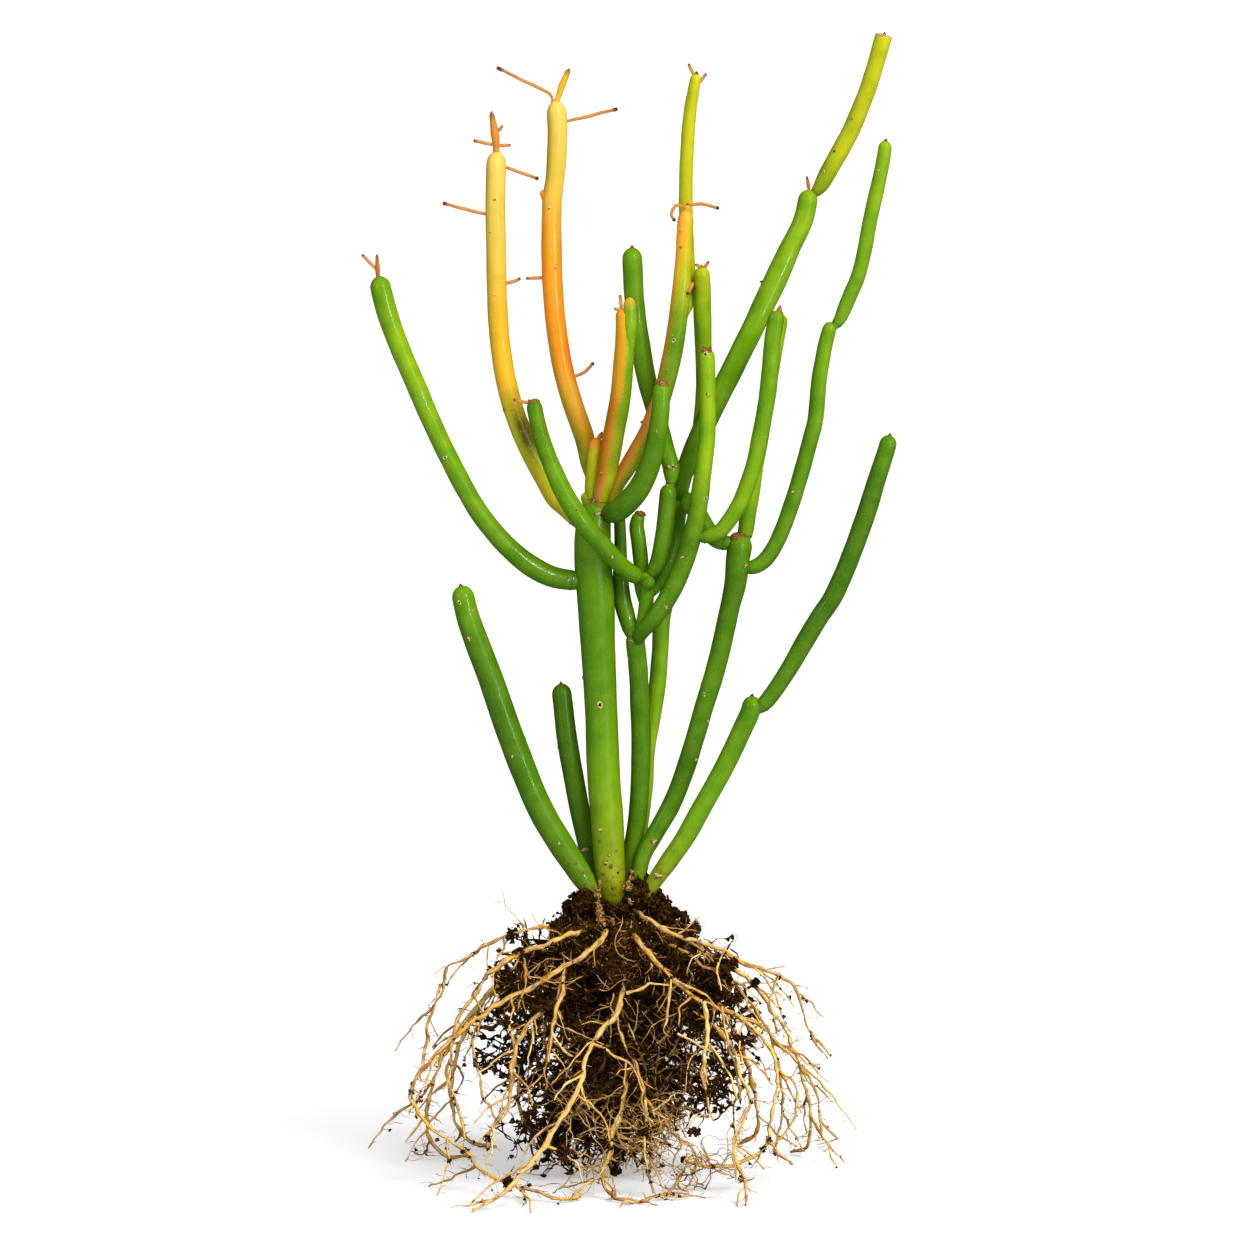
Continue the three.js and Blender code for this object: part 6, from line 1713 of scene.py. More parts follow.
        # Each part's shape, its depth and its sizes in half widths, and its finish.
        parts = {
            Mark.RIM: ((shapes.rim, 0.15, (1, 0.66, 0.6), CORK), (shapes.pad, 0, (0.36, 0.3, 0.14), PIT)),
            Mark.PIT: ((shapes.rim, 0.2, (1, 0.9, 0.5), BUD), (shapes.pad, 0, (0.7, 0.6, 0.14), PIT)),
            Mark.RED: ((shapes.pad, 0, (1, 0.8, 0.3), BUD),),
            Mark.SCAB: ((shapes.pad, 0, (1, 0.8, 0.3), SCAB),),
            Mark.FLECK: ((flake, 0, (1, 0.45, 0.3), CORK), (edge, 0.1, (1.1, 0.6, 0.2), SCAB)),
        }
        half = size / 2
        return [
            self.one(shape, place - normal * half * sunk, normal, half * np.array(sizes), finish)
            for shape, sunk, sizes, finish in parts[kind]
        ]

    def seen_marks(self, limb: Limb) -> list[bpy.types.Object]:
        """Makes the marks that the viewer sees.

        Args:
            limb: The stem or branch.

        Returns:
            The parts made, if any.
        """
        made = []
        for kind, *numbers in limb.marks:
            across, height, size = np.array(numbers) / PER_METRE
            made += self.mark(kind, *self.spot(limb.node, across, height), size)
        return made

    def unseen_marks(self, limb: Limb) -> list[bpy.types.Object]:
        """Scatters leaf scars on the sides that the viewer doesn't see.

        Args:
            limb: The stem or branch.

        Returns:
            The parts made, if any.
        """
        line = self.lines[limb.node]
        reach = lengths(line)
        made = []
        along = reach[-1] * 0.25 + self.scar_gap * self.rng.uniform(0.2, 0.8)
        while along < reach[-1] * 0.92:
            near = int(np.clip(np.searchsorted(reach, along), 2, len(line) - 3))
            ahead = unit(line[near + 2, :3] - line[near - 2, :3])
            side = turned_to(ahead[None], np.array([self.rng.uniform(0, 2 * math.pi)]))[0, 0]
            normal = side if np.dot(side, SIGHT) > 0.05 else -side
            kind = (Mark.RIM, Mark.FLECK, Mark.FLECK, Mark.PIT)[int(self.rng.integers(4))]
            size = self.rng.uniform(*self.scar_sizes)
            made += self.mark(kind, line[near, :3] + normal * line[near, 3], normal, size)
            along += self.scar_gap * self.rng.uniform(0.6, 1.4)
        return made


def draws(seed: int) -> Iterator[float]:
    """Gives a repeatable row of draws between 0 and 1, as the solids' side roots use.

    Args:
        seed: The number that the row starts from.

    Returns:
        The draws, without end.
    """
    state = seed
    while True:
        state = (state * 1664525 + 1013904223) % 2**32
        yield state / 2**32


@dataclass(frozen=True)
class Habit:
    """How rootlets grow.

    Args:
        spans: Their least and greatest length.
        radii: Their least and greatest radius at the start.
        droop: How strongly they turn down, per step.
        wander: How far they turn at random, per step.
        persist: How much of a turn carries on into the next step: low for a zigzag, high for a curl.
        taper: The radius at the tip, as a share of that at the start.
        lumps: How unevenly thick they are.
        reach: How far from the middle they may go.
        step: The length of their straight pieces.
    """

    spans: tuple[float, float]
    radii: tuple[float, float]
    droop: float
    wander: float
    persist: float = 0.7
    taper: float = 0.45
    lumps: float = 0.2
    reach: float = 0.079
    step: float = ROOTLET_STEP


SECOND_HABIT = Habit((0.006, 0.026), (0.00022, 0.00042), droop=0.03, wander=0.17, persist=0.35, reach=0.072)
THIRD_HABIT = Habit((0.0014, 0.006), (0.00013, 0.00023), droop=0.01, wander=0.32, persist=0.1, reach=0.077)
FORK_HABIT = Habit((0.002, 0.008), (0, 0.0002), droop=0.03, wander=0.3, persist=0.1, reach=0.05)
FRINGE_HABIT = Habit((0.02, 0.055), (0.0002, 0.00044), droop=0.07, wander=0.28, persist=0.25, reach=0.055)
CURL_HABIT = Habit((0.008, 0.028), (0.0002, 0.00042), droop=0.08, wander=0.26, persist=0.45, reach=0.044)
TANGLE_HABIT = Habit((0.008, 0.03), (0.00018, 0.0004), droop=0.02, wander=0.32, persist=0.15, reach=0.05)
FIBRE_HABIT = Habit((0.003, 0.009), (0.00009, 0.0002), droop=0.02, wander=0.3, persist=0.3, reach=0.04)
CLUMP_HABIT = Habit(
    (0.006, 0.018), (0.0002, 0.0006), droop=0.02, wander=0.5, persist=0.2, taper=0.6, lumps=0.45, reach=0.05
)
TUFT_HABIT = Habit(
    (0.006, 0.028),
    (0.0003, 0.00085),
    droop=0.08,
    wander=0.4,
    persist=0.15,
    taper=0.6,
    lumps=0.4,
    reach=0.034,
    step=0.0022,
)
THREAD_HABIT = replace(
    TUFT_HABIT, spans=(0.006, 0.024), radii=(0.00025, 0.00075), wander=0.42, persist=0.1, reach=0.043
)


def grow(
    rng: np.random.Generator,
    starts: np.ndarray,
    headings: np.ndarray,
    spans: np.ndarray,
    radii: np.ndarray,
    habit: Habit,
) -> list[np.ndarray]:
    """Grows rootlets as wandering lines that stay above the floor.

    Args:
        rng: The draw.
        starts: Where each one starts.
        headings: The way each one sets off.
        spans: Their lengths.
        radii: Their radii at the start.
        habit: How they grow.

    Returns:
        A line for each one.
    """
    steps = max(3, int(math.ceil(spans.max() / habit.step)))
    place, ahead = starts.copy(), unit(headings)
    trail = [place.copy()]
    curl = rng.normal(0, habit.wander, starts.shape)
    for _ in range(steps):
        curl = curl * habit.persist + rng.normal(0, habit.wander, starts.shape)
        ahead = unit(ahead + curl - UP * habit.droop)
        outward = unit(place * FLAT)
        beyond = np.linalg.norm(place[:, :2], axis=1) > habit.reach
        ahead = np.where(beyond[:, None], unit(ahead - outward * 0.8), ahead)
        ahead[:, 2] = np.where(place[:, 2] < 2 * FLOOR_GAP, np.abs(ahead[:, 2]) * 0.3, ahead[:, 2])
        place = place + ahead * habit.step
        place[:, 2] = np.maximum(place[:, 2], FLOOR_GAP)
        trail.append(place.copy())
    lines = []
    for track, span, start in zip(np.stack(trail, axis=1), spans, radii, strict=True):
        count = max(3, int(round(span / habit.step)) + 1)
        radius = start * np.linspace(1, habit.taper, count) * (1 + habit.lumps * rng.normal(0, 1, count))
        radius = np.clip(radius, start * 0.3, start * 2)
        radius[0] = radius[-1] = 0
        lines.append(np.column_stack([track[:count], radius]))
    return lines


def sprout(rng: np.random.Generator, hosts: list[np.ndarray], gap: float, lean: float, skip: float) -> tuple:
    """Picks where rootlets leave their hosts.

    Args:
        rng: The draw.
        hosts: The lines that they leave.
        gap: The mean distance between them.
        lean: How far they lean along the host, from 0 for square to it.
        skip: The length at the start of each host that bears none.

    Returns:
        The starts, the headings and each one's host radius.
    """
    starts, headings, radii = [], [], []
    for line in hosts:
        reach = lengths(line)
        along = skip + gap * rng.uniform(0.1, 1)
        while along < reach[-1] - 0.001:
            near = int(np.clip(np.searchsorted(reach, along), 1, len(line) - 2))
            ahead = unit(line[near + 1, :3] - line[near - 1, :3])
            side = unit(np.cross(ahead, rng.normal(size=3)))
            starts.append(line[near, :3])
            headings.append(side + ahead * lean)
            radii.append(line[near, 3])
            along += gap * rng.uniform(0.4, 1.6)
    return np.array(starts), np.array(headings), np.array(radii)


def strands(
    name: str,
    lines: list[np.ndarray],
    sides: int,
    base: np.ndarray,
    tones: tuple[float, float],
    rng: np.random.Generator,
    finish: Finish = BARK,
) -> bpy.types.Object:
    """Sweeps roots or rootlets, each with its own tone and with light and shade painted into it.

    Args:
        name: The piece's name.
        lines: Their lines.
        sides: The sides of their section.
        base: Their colour, in linear light.
        tones: What it is multiplied by, at least and at most.
        rng: The draw of each one's tone.
        finish: What they are made of.

    Returns:
        The piece.
    """
    tints = [np.tile(base * rng.uniform(*tones), (len(line), 1)) for line in lines]
    piece = sweep(name, lines, sides, tints)
    merge(piece)
    # Paints light and shade into their colour.
    paint_light_and_shade(piece, BARK_PAINTED_SHADING)
    return dress(piece, finish)


@dataclass
class RootWork:
    """Builds the roots, each with its side roots and its finer and finer rootlets.

    Args:
        roots: The main roots.
        wobble: How far a root strays from its route.
        slimness: The bark's radius, as a share of the solid's.
        knot: How far its radius swells and narrows.
        rim: The distance from the middle past which rootlets are fewer and shorter.
        tones: How dark and how light a root's colour may be drawn.
    """

    roots: tuple[Root, ...]
    wobble: float = 0.0006
    slimness: float = 0.56
    knot: float = 0.2
    rim: float = 0.048
    tones: tuple[float, float] = (0.7, 1.3)

    def roughen(self, line: np.ndarray, rng: np.random.Generator) -> np.ndarray:
        """Gives a line the small bends and knots of a real root.

        Args:
            line: Rows of x, y, z and radius.
            rng: The draw.

        Returns:
            The line, thinner and with its ends rounded.
        """
        count = len(line)
        for k in range(3):
            stray = smooth(rng.normal(0, 1, count), 2)
            line[:, k] += stray * self.wobble * np.sin(np.linspace(0, math.pi, count)) ** 0.3
        line[:, 3] *= self.slimness * (1 + self.knot * smooth(rng.normal(0, 1.4, count), 1))
        line[:, 2] = np.maximum(line[:, 2], line[:, 3] * 0.6)
        return close_ends(line, foot=0.8, crown=1.5)

    def side_roots(self, root: Root) -> list[np.ndarray]:
        """Repeats the side roots of the solid: they leave on alternate sides and droop outwards.

        Args:
            root: The main root.

        Returns:
            A line for each side root.
        """
        draw = draws(root.seed)
        main = follow(root.routes[0], SIDE_ROOT_STEP)
        reach = lengths(main)
        found = []
        for i in range(root.side_count):
            share = 0.26 + 0.68 * (i + 0.6 * next(draw)) / root.side_count
            start = np.array([np.interp(share * reach[-1], reach, main[:, k]) for k in range(3)])
            turn = (1 if i % 2 == 0 else -1) * (0.7 + 0.9 * next(draw))
            outward = unit(start * FLAT)
            c, s = math.cos(turn), math.sin(turn)
            across = np.array([outward[0] * c - outward[1] * s, outward[0] * s + outward[1] * c, 0.0])
            length = 0.016 + 0.018 * next(draw)
            droop = 0.5 + 0.5 * next(draw)
            knee = start + across * length * 0.4 - UP * length * 0.35 * droop
            tip = knee + across * length * 0.2 + outward * length * 0.15 - UP * length * 0.5 * droop
            knee[2] = max(knee[2], 0.0008)
            tip[2] = max(tip[2], 0.0005)
            found.append(trace(np.array([start, knee, tip]), np.array(SIDE_ROOT_RADII), ROOT_STEP))
        return found

    def build(self) -> list[np.ndarray]:
        """Builds every root as one piece, and gives the lines of its thick and middle parts.

        Returns:
            Rows of x, y, z and radius for each of those lines.
        """
        bearing = []
        for root in self.roots:
            rng = np.random.default_rng(root.seed)
            mains = [self.roughen(follow(route, ROOT_STEP), rng) for route in root.routes]
            thick = mains + [self.roughen(line, rng) for line in self.side_roots(root)]
            second = self.second(thick, rng)
            third = self.third(thick + second, rng)
            bearing += thick + second
            # The front roots get painted light: a lighter, creamier colour.
            gain = FRONT_ROOT_PAINTED_LIGHT if root.node.startswith(FRONT_ROOTS) else 1
            rows = (("thick", thick, ROOT_SIDES), ("second", second, 6), ("third", third, 4))
            parts = [
                strands(f"{root.node}_{name}", lines, sides, rgb(ROOT_COLOURS[name]) * gain, self.tones, rng)
                for name, lines, sides in rows
            ]
            seat(join(parts, f"{root.node}_bark"), Slot.ROOT, root.node)
        return bearing

    def second(self, hosts: list[np.ndarray], rng: np.random.Generator) -> list[np.ndarray]:
        """Grows the middle rootlets on the thick roots.

        Args:
            hosts: The thick roots.
            rng: The draw.

        Returns:
            A line for each rootlet.
        """
        starts, headings, radii = sprout(rng, hosts, gap=0.0075, lean=0.7, skip=0.01)
        count = len(starts)
        slim = np.minimum(radii * 0.6, rng.uniform(*SECOND_HABIT.radii, count))
        far = np.hypot(starts[:, 0], starts[:, 1]) > self.rim
        spans = rng.uniform(*SECOND_HABIT.spans, count) * np.where(far, 0.4, 1)
        kept = rng.random(count) < np.where(far, 0.6, 1)
        return grow(rng, starts[kept], headings[kept], spans[kept], slim[kept], SECOND_HABIT)

    def third(self, hosts: list[np.ndarray], rng: np.random.Generator) -> list[np.ndarray]:
        """Grows the finest rootlets on the thick and the middle ones.

        Args:
            hosts: The thick roots and the middle rootlets.
            rng: The draw.

        Returns:
            A line for each rootlet.
        """
        starts, headings, radii = sprout(rng, hosts, gap=0.0038, lean=0.35, skip=0.002)
        spans = rng.uniform(*THIRD_HABIT.spans, len(starts))
        slim = np.minimum(radii * 0.6, rng.uniform(*THIRD_HABIT.radii, len(starts)))
        return grow(rng, starts, headings, spans, slim, THIRD_HABIT)


# The soil's radius and height from the foot up, in millimetres, as are the tables below.
SOIL_PROFILE = (
    (6.5, 0), (8.5, 5), (13, 11), (20, 18.5), (26.5, 27), (29.5, 36), (31, 46), (32.5, 56), (33.5, 66),
    (33.5, 75), (31, 82), (26, 87.5), (20.5, 92), (16, 96.5), (12.5, 99.5), (7, 98.5),
)
# Clods that hang in the roots: across, height as seen and size.
HANGING_CLODS = (
    (-37.5, -2, 4.5), (-51.8, 10.5, 2.8), (-45.2, 13.7, 3), (-49, 39.6, 2.6), (-71.1, 30.5, 2.2),
    (54.6, 13.3, 2.8), (51.5, 10.5, 2.4), (34.3, 3.5, 2.2), (44.1, 0, 2.2), (23.8, 6.3, 2.6),
    (9.1, 2.8, 2.2), (42.4, 74.9, 4.4), (49, 67.9, 3.6), (-37, 86.6, 4.8), (-32.2, 78, 3.6),
    (-5.2, 11.5, 6), (-17.5, 11.5, 5), (10.5, 16.5, 5), (28, 21, 4.5), (-28, 23.5, 4.5), (36.5, 31.5, 4),
    (-38.5, 56, 4), (45.5, 49, 3.5), (-10.2, 86.5, 3.4), (-2.8, 86.8, 3.4), (6.3, 93.8, 3.4),
    (6.7, 85.8, 3),
)
# Clumps of soil-coated rootlets: across, height as seen, half width, half height and count.
ROOT_CLUMPS = (
    (-33.3, 41.3, 5.6, 8.4, 50), (-18.6, 27.3, 7.7, 9.1, 160), (-19.3, 13.3, 7, 7, 90),
    (-5.3, 16.1, 7, 6.3, 80), (8.8, 28, 7, 7.7, 90), (8.8, 15.1, 5.6, 5.6, 50), (35.4, 42, 6.3, 8.4, 80),
    (34, 30.1, 5.6, 6.3, 50), (-32.6, 15.1, 4.9, 4.9, 24), (48, 51.8, 4.2, 9.1, 26),
    (-46.6, 44.8, 3.5, 7.7, 22), (-35, 57.1, 5.6, 7, 30), (-5.3, 39.6, 17.5, 6.3, 90),
    (22.8, 26.6, 5.6, 7, 36), (-28, 38, 6, 7, 40),
)
# Tan crust of dried bark round the foot of the stems: across, height as seen, depth and size.
CRUSTS = (
    (-5.3, 102.9, -8.5, 1.5), (-6, 100.8, -9.5, 1.7), (-6, 98.7, -10.5, 1.8), (-6, 96.6, -12.5, 1.9),
    (-5.6, 94.5, -14, 2), (-5.3, 92.4, -15.5, 2.1), (-4.9, 90.3, -17, 2.2), (-3.7, 88.6, -18.5, 2.1),
    (-1.8, 88.4, -19, 1.8), (-0.8, 90, -17.5, 1.4), (8.8, 113.8, 3.5, 1.1), (8.1, 111.7, 2.5, 1.4),
    (7.4, 109.2, 1.2, 1.7), (6.5, 107.1, -0.5, 1.8), (5.6, 104.7, -2.5, 2), (4.9, 102.5, -5, 1.9),
    (2.8, 102.2, -7.8, 1.4), (4.6, 101.2, -8.8, 1.5), (5.6, 96.6, -12.5, 1.9), (7.4, 97.3, -11.5, 1.5),
    (15.1, 105.8, 0.2, 1.3),
)
# Clods of the collar round the feet of the stems: across, height as seen, depth and size.
COLLAR_CLODS = (
    (-13.7, 98, -6, 3.7), (-11.2, 98.7, -8, 4), (-9.2, 97.8, -9.5, 4), (-7.5, 96.2, -11, 4),
    (-13.3, 94.5, -9, 4.5), (-10.5, 95.5, -11, 4.5), (-8.8, 104, -3.5, 2.2), (-16.5, 94.5, -6, 4.5),
    (-3.2, 94.8, -12, 3.4), (-0.7, 93.8, -13, 3.6), (2.1, 94.6, -12.5, 3.4), (6.3, 105.5, 0.5, 3),
    (7.8, 103.2, -2, 3.4), (9.5, 101.5, -5, 4), (11.2, 104.6, 0.5, 3), (13.1, 102.2, -2, 3.6),
    (15, 99.8, -3, 3.4), (16.5, 97.3, -4, 3.4), (18.2, 94.5, -5, 4), (21, 92.4, -5, 4), (24.2, 90.3, -5, 4),
    (28, 87.5, -6, 4), (8.8, 97.8, -11.5, 5), (13, 96.2, -11, 5.5), (17.2, 92, -12, 6),
    (5.3, 97.3, -10.5, 3.6), (-1.5, 100, 9, 5), (6, 103, 16.5, 5), (-8.5, 100, 14.5, 5),
    (12.5, 100, 12.5, 5),
)
SOIL_CROWN = 0.0985
SOIL_SHIFT = 0.003
SOIL_LUMPS = 0.0026
CORE_HEIGHTS = (0, 0.02, 0.045, 0.07, 0.09, 0.0985)
CORE_SCALES = (0.26, 0.36, 0.46, 0.62, 0.95, 1.0)  # the core's width against the solid's, up its height
# Each size of break in the core's skin, with how far it goes.
BREAKS = (("clods", 0.014, 0.014), ("lumps", 0.0045, 0.006), ("crumb", 0.0015, 0.0018))


def soil_lump(angle: np.ndarray, z: np.ndarray) -> np.ndarray:
    """Gives the solid's broad clods, from waves round the mass and up it.

    Args:
        angle: The way round the mass, in radians.
        z: The height.

    Returns:
        How far the surface stands out, in the clods' own measure.
    """
    z = z * PER_METRE
    broad = np.sin(angle * 3 + z * 0.11) * np.cos(z * 0.16 + angle)
    small = np.sin(angle * 7 - z * 0.31) * 0.55 + np.cos(angle * 5 + z * 0.43) * 0.45
    return broad * 0.55 + small * 0.6


def soil_point(angle: np.ndarray, z: np.ndarray, scale: np.ndarray) -> np.ndarray:
    """Gives points at an angle and height on the soil's outline, scaled about its axis.

    Args:
        angle: The way round the mass, in radians.
        z: The height.
        scale: The width against the solid's.

    Returns:
        The points.
    """
    radii, heights = np.array(SOIL_PROFILE).T / PER_METRE
    radius = np.interp(z, heights, radii)
    radius = radius + SOIL_LUMPS * np.minimum(1, radius / 0.02) * soil_lump(angle, z)
    radius = radius * scale
    shift = SOIL_SHIFT * np.sin(math.pi * np.clip(z / SOIL_CROWN, 0, 1))
    return np.stack([radius * np.sin(angle) + shift, -radius * np.cos(angle) * 0.96, z], axis=-1)


@dataclass
class SoilWork:
    """Builds the soil: a ragged core, crumbs on it, tufts of coated rootlets, and clods in the roots.

    Args:
        templates: The small shapes.
        root_lines: The lines of the roots.
        tuft_count: How many coated rootlets hang from the core.
        thread_count: How many hang from the roots near it.
        tangle_count: How many fine rootlets lie low between the roots.
        curl_count: How many curls lie on the core.
        fringe_count: How many rootlets hang round it.
        fibre_count: How many fibres stick out of the crown.
        clod_crumbs: How many crumbs make a clod.
        crown_clods: How many small clods lie on the crown.
        crown_sizes: Their least and greatest size.
        tones: How dark and how light a rootlet's colour may be drawn.
        rng: The draw.
    """

    templates: Templates
    root_lines: list[np.ndarray]
    tuft_count: int = 560
    thread_count: int = 900
    tangle_count: int = 110
    curl_count: int = 290
    fringe_count: int = 90
    fibre_count: int = 420
    clod_crumbs: int = 62
    crown_clods: int = 44
    crown_sizes: tuple[float, float] = (0.0016, 0.0034)
    tones: tuple[float, float] = (0.55, 1.3)
    rng: np.random.Generator = field(default_factory=partial(np.random.default_rng, 29))
    corners: np.ndarray = field(init=False)  # the core's vertices, once it is made
    normals: np.ndarray = field(init=False)

    def build(self) -> None:
        """Builds the soil's pieces, and the rootlets that hold it."""
        core = self.core()
        self.corners, self.normals = vertices_of(core)
        seat(join([core, self.crumbs(), *self.hanging_clods()], "soil_clod"), Slot.SOIL, "soil")
        seat(self.collar(), Slot.SOIL)
        tufts, threads = self.tufts(), self.threads()
        for name, lines in (("soil_tufts", tufts), ("soil_threads", threads)):
            bare = len(lines) // 6
            parts = [
                self.rootlets("coated", lines[bare:], SOIL.dark, SOIL),
                self.rootlets("bare", lines[:bare], "#58390f"),
                self.crumbs_on(lines, gap=0.009, sizes=(0.0004, 0.0012)),
            ]
            seat(join(parts, name), Slot.SOIL)
        crumbs = self.crumbs_on(self.root_lines, gap=0.02, sizes=(0.0003, 0.0008))
        seat(join([crumbs], "root_crumbs"), Slot.SOIL)
        seat(self.curls(), Slot.ROOT)
        seat(self.tangle(), Slot.ROOT)
        seat(join(self.clods(CRUSTS, CRUST), "bark_crust"), Slot.ROOT)

    def core(self) -> bpy.types.Object:
        """Models the core from a ball that takes the soil's outline and is then broken up.

        Returns:
            The core.
        """
        core = add_shape(bpy.ops.mesh.primitive_uv_sphere_add, segments=120, ring_count=90, radius=1)
        core.name = "soil_core"
        mesh = core.data
        corners, _ = vertices_of(core)
        polar = np.arccos(np.clip(corners[:, 2], -1, 1)) / math.pi
        angle = np.arctan2(corners[:, 0], -corners[:, 1])
        z = SOIL_CROWN * (1 - polar)
        flat = np.minimum(1, np.sin(polar * math.pi) / 0.16)
        places = soil_point(angle, z, np.interp(z, CORE_HEIGHTS, CORE_SCALES) * flat)
        mesh.vertices.foreach_set("co", places.astype(np.float32).ravel())
        mesh.update()
        for name, size, strength in BREAKS:
            displace(core, clouds(f"soil_{name}", size, depth=2), strength, level=0.55)
        for vertex in mesh.vertices:
            vertex.co.z = max(vertex.co.z, 0.0)
        return dress(core, SOIL)

    def scatter(
        self, shapes: list, places: np.ndarray, normals: np.ndarray, sizes: np.ndarray, finish: Finish = SOIL
    ) -> bpy.types.Object:
        """Copies soil shapes to many places, in one mesh.

        Args:
            shapes: The shapes to draw from.
            places: Where the copies go.
            normals: The way that each one stands, roughly.
            sizes: Their sizes.
            finish: What they are made of.

        Returns:
            The piece.
        """
        picks = self.rng.integers(len(shapes), size=len(places))
        spins = self.rng.uniform(0, 2 * math.pi, len(places))
        axes = turned_to(unit(normals + self.rng.normal(0, 0.6, normals.shape)), spins)
        spread = sizes[:, None] * self.rng.uniform(0.55, 1.3, (len(places), 3))
        corners, faces, offset = [], [], 0
        for k, shape in enumerate(shapes):
            chosen = picks == k
            if not chosen.any():
                continue
            points, cells = instance(shape, places[chosen], axes[chosen], spread[chosen])
            corners.append(points)
            faces += [tuple(v + offset for v in cell) for cell in cells]
            offset += len(points)
        stacked = np.vstack(corners)
        stacked[:, 2] = np.maximum(stacked[:, 2], 0.0)
        return dress(mesh_piece("crumbs", stacked, faces), finish)

    def crumbs(self) -> bpy.types.Object:
        """Covers the core with crumbs and small clods.

        Returns:
            The crumbs, as one piece.
        """
        parts = []
        for count, low, high, shapes, finish in (
            (400, 0.0006, 0.0017, self.templates.crumbs, SOIL),
            (2600, 0.0003, 0.0009, self.templates.grains, SOIL),
            (700, 0.0002, 0.0005, self.templates.grains, CRUMB),
        ):
            picks = self.rng.integers(len(self.corners), size=count)
            sizes = self.rng.uniform(low, high, count)
            places = self.corners[picks] + self.normals[picks] * sizes[:, None] * 0.4
            parts.append(self.scatter(shapes, places, self.normals[picks], sizes, finish))
        return join(parts)

    def rootlets(self, name: str, lines: list, colour: str, finish: Finish = BARK) -> bpy.types.Object:
        """Sweeps thin rootlets of one colour, each with its own tone."""
        return strands(name, lines, 4, rgb(colour), self.tones, self.rng, finish)

    def around(self, count: int, low: float, high: float) -> tuple[np.ndarray, np.ndarray]:
        """Picks places on the core between two heights, with the way out from each.

        Args:
            count: How many places.
            low: The least height.
            high: The greatest height.

        Returns:
            The places and the ways out.
        """
        level = np.flatnonzero((self.corners[:, 2] > low) & (self.corners[:, 2] < high))
        picks = self.rng.choice(level, count)
        return self.corners[picks] - self.normals[picks] * 0.0006, unit(self.corners[picks] * FLAT)

    def tufts(self) -> list[np.ndarray]:
        """Hangs tufts of rootlets, coated with soil, from the core.

        Returns:
            A line for each rootlet.
        """
        count = self.tuft_count
        starts, outward = self.around(count, low=0.02, high=0.088)
        headings = outward * self.rng.uniform(0.5, 2.2, (count, 1)) + self.rng.normal(0, 0.5, (count, 3))
        spans = self.rng.uniform(*TUFT_HABIT.spans, count)
        spans = np.where(starts[:, 2] > 0.08, spans * 0.2, spans)
        radii = self.rng.uniform(*TUFT_HABIT.radii, count)
        return grow(self.rng, starts, headings, spans, radii, TUFT_HABIT)

    def hosts(self, count: int, ring: tuple, heights: tuple, front: float) -> np.ndarray:
        """Picks points on the roots, in a ring round the middle and between two heights.

        Args:
            count: How many points.
            ring: How far from the middle, at least and at most.
            heights: How high, at least and at most.
            front: How far forward they may be, as the lowest y.

        Returns:
            The points.
        """
        points = np.vstack([line[1:-1, :3] for line in self.root_lines])
        away = np.hypot(points[:, 0] - SOIL_SHIFT, points[:, 1])
        fit = (away > ring[0]) & (away < ring[1]) & (points[:, 1] > front)
        fit &= (points[:, 2] > heights[0]) & (points[:, 2] < heights[1])
        points = points[fit]
        points = points[np.argsort(points[:, 0])]
        aims = self.rng.uniform(points[0, 0], points[-1, 0], count)
        left = np.searchsorted(points[:, 0], aims - 0.003)
        right = np.searchsorted(points[:, 0], aims + 0.003)
        picks = left + (self.rng.random(count) * np.maximum(right - left, 1)).astype(int)
        return points[np.minimum(picks, len(points) - 1)]

    def threads(self) -> list[np.ndarray]:
        """Hangs soil-coated rootlets from the roots near the clod, and packs some into clumps.

        Returns:
            A line for each rootlet, in mixed order.
        """
        count = self.thread_count
        starts = self.hosts(count, ring=(0.012, 0.043), heights=(0.012, 0.075), front=-0.03)
        headings = self.rng.normal(0, 0.8, (count, 3)) - UP * 0.2
        spans = self.rng.uniform(*THREAD_HABIT.spans, count)
        radii = self.rng.uniform(*THREAD_HABIT.radii, count)
        made = grow(self.rng, starts, headings, spans, radii, THREAD_HABIT)
        for *numbers, count in ROOT_CLUMPS:
            across, height, wide, tall = np.array(numbers) / PER_METRE
            centre = np.array(seen(across, height, CLUMP_DEPTH))
            starts = centre + self.rng.uniform(-1, 1, (count, 3)) * (wide, CLUMP_HALF_DEPTH, tall)
            headings = self.rng.normal(0, 1, (count, 3))
            spans = self.rng.uniform(*CLUMP_HABIT.spans, count)
            radii = self.rng.uniform(*CLUMP_HABIT.radii, count)
            made += grow(self.rng, starts, headings, spans, radii, CLUMP_HABIT)
        return [made[i] for i in self.rng.permutation(len(made))]

    def tangle(self) -> bpy.types.Object:
        """Grows the low tangle of fine rootlets between the roots.

        Returns:
            The piece.
        """
        count = self.tangle_count
        starts = self.hosts(count, ring=(0.016, 0.048), heights=(0.004, 0.034), front=-0.05)
        inward = -unit(starts * FLAT)
        headings = inward * self.rng.uniform(-0.5, 0.5, (count, 1)) + self.rng.normal(0, 0.6, (count, 3))
        spans = self.rng.uniform(*TANGLE_HABIT.spans, count)
        radii = self.rng.uniform(*TANGLE_HABIT.radii, count)
        lines = grow(self.rng, starts, headings, spans, radii, TANGLE_HABIT)
        return self.rootlets("floor_rootlets", lines, "#dfb678")

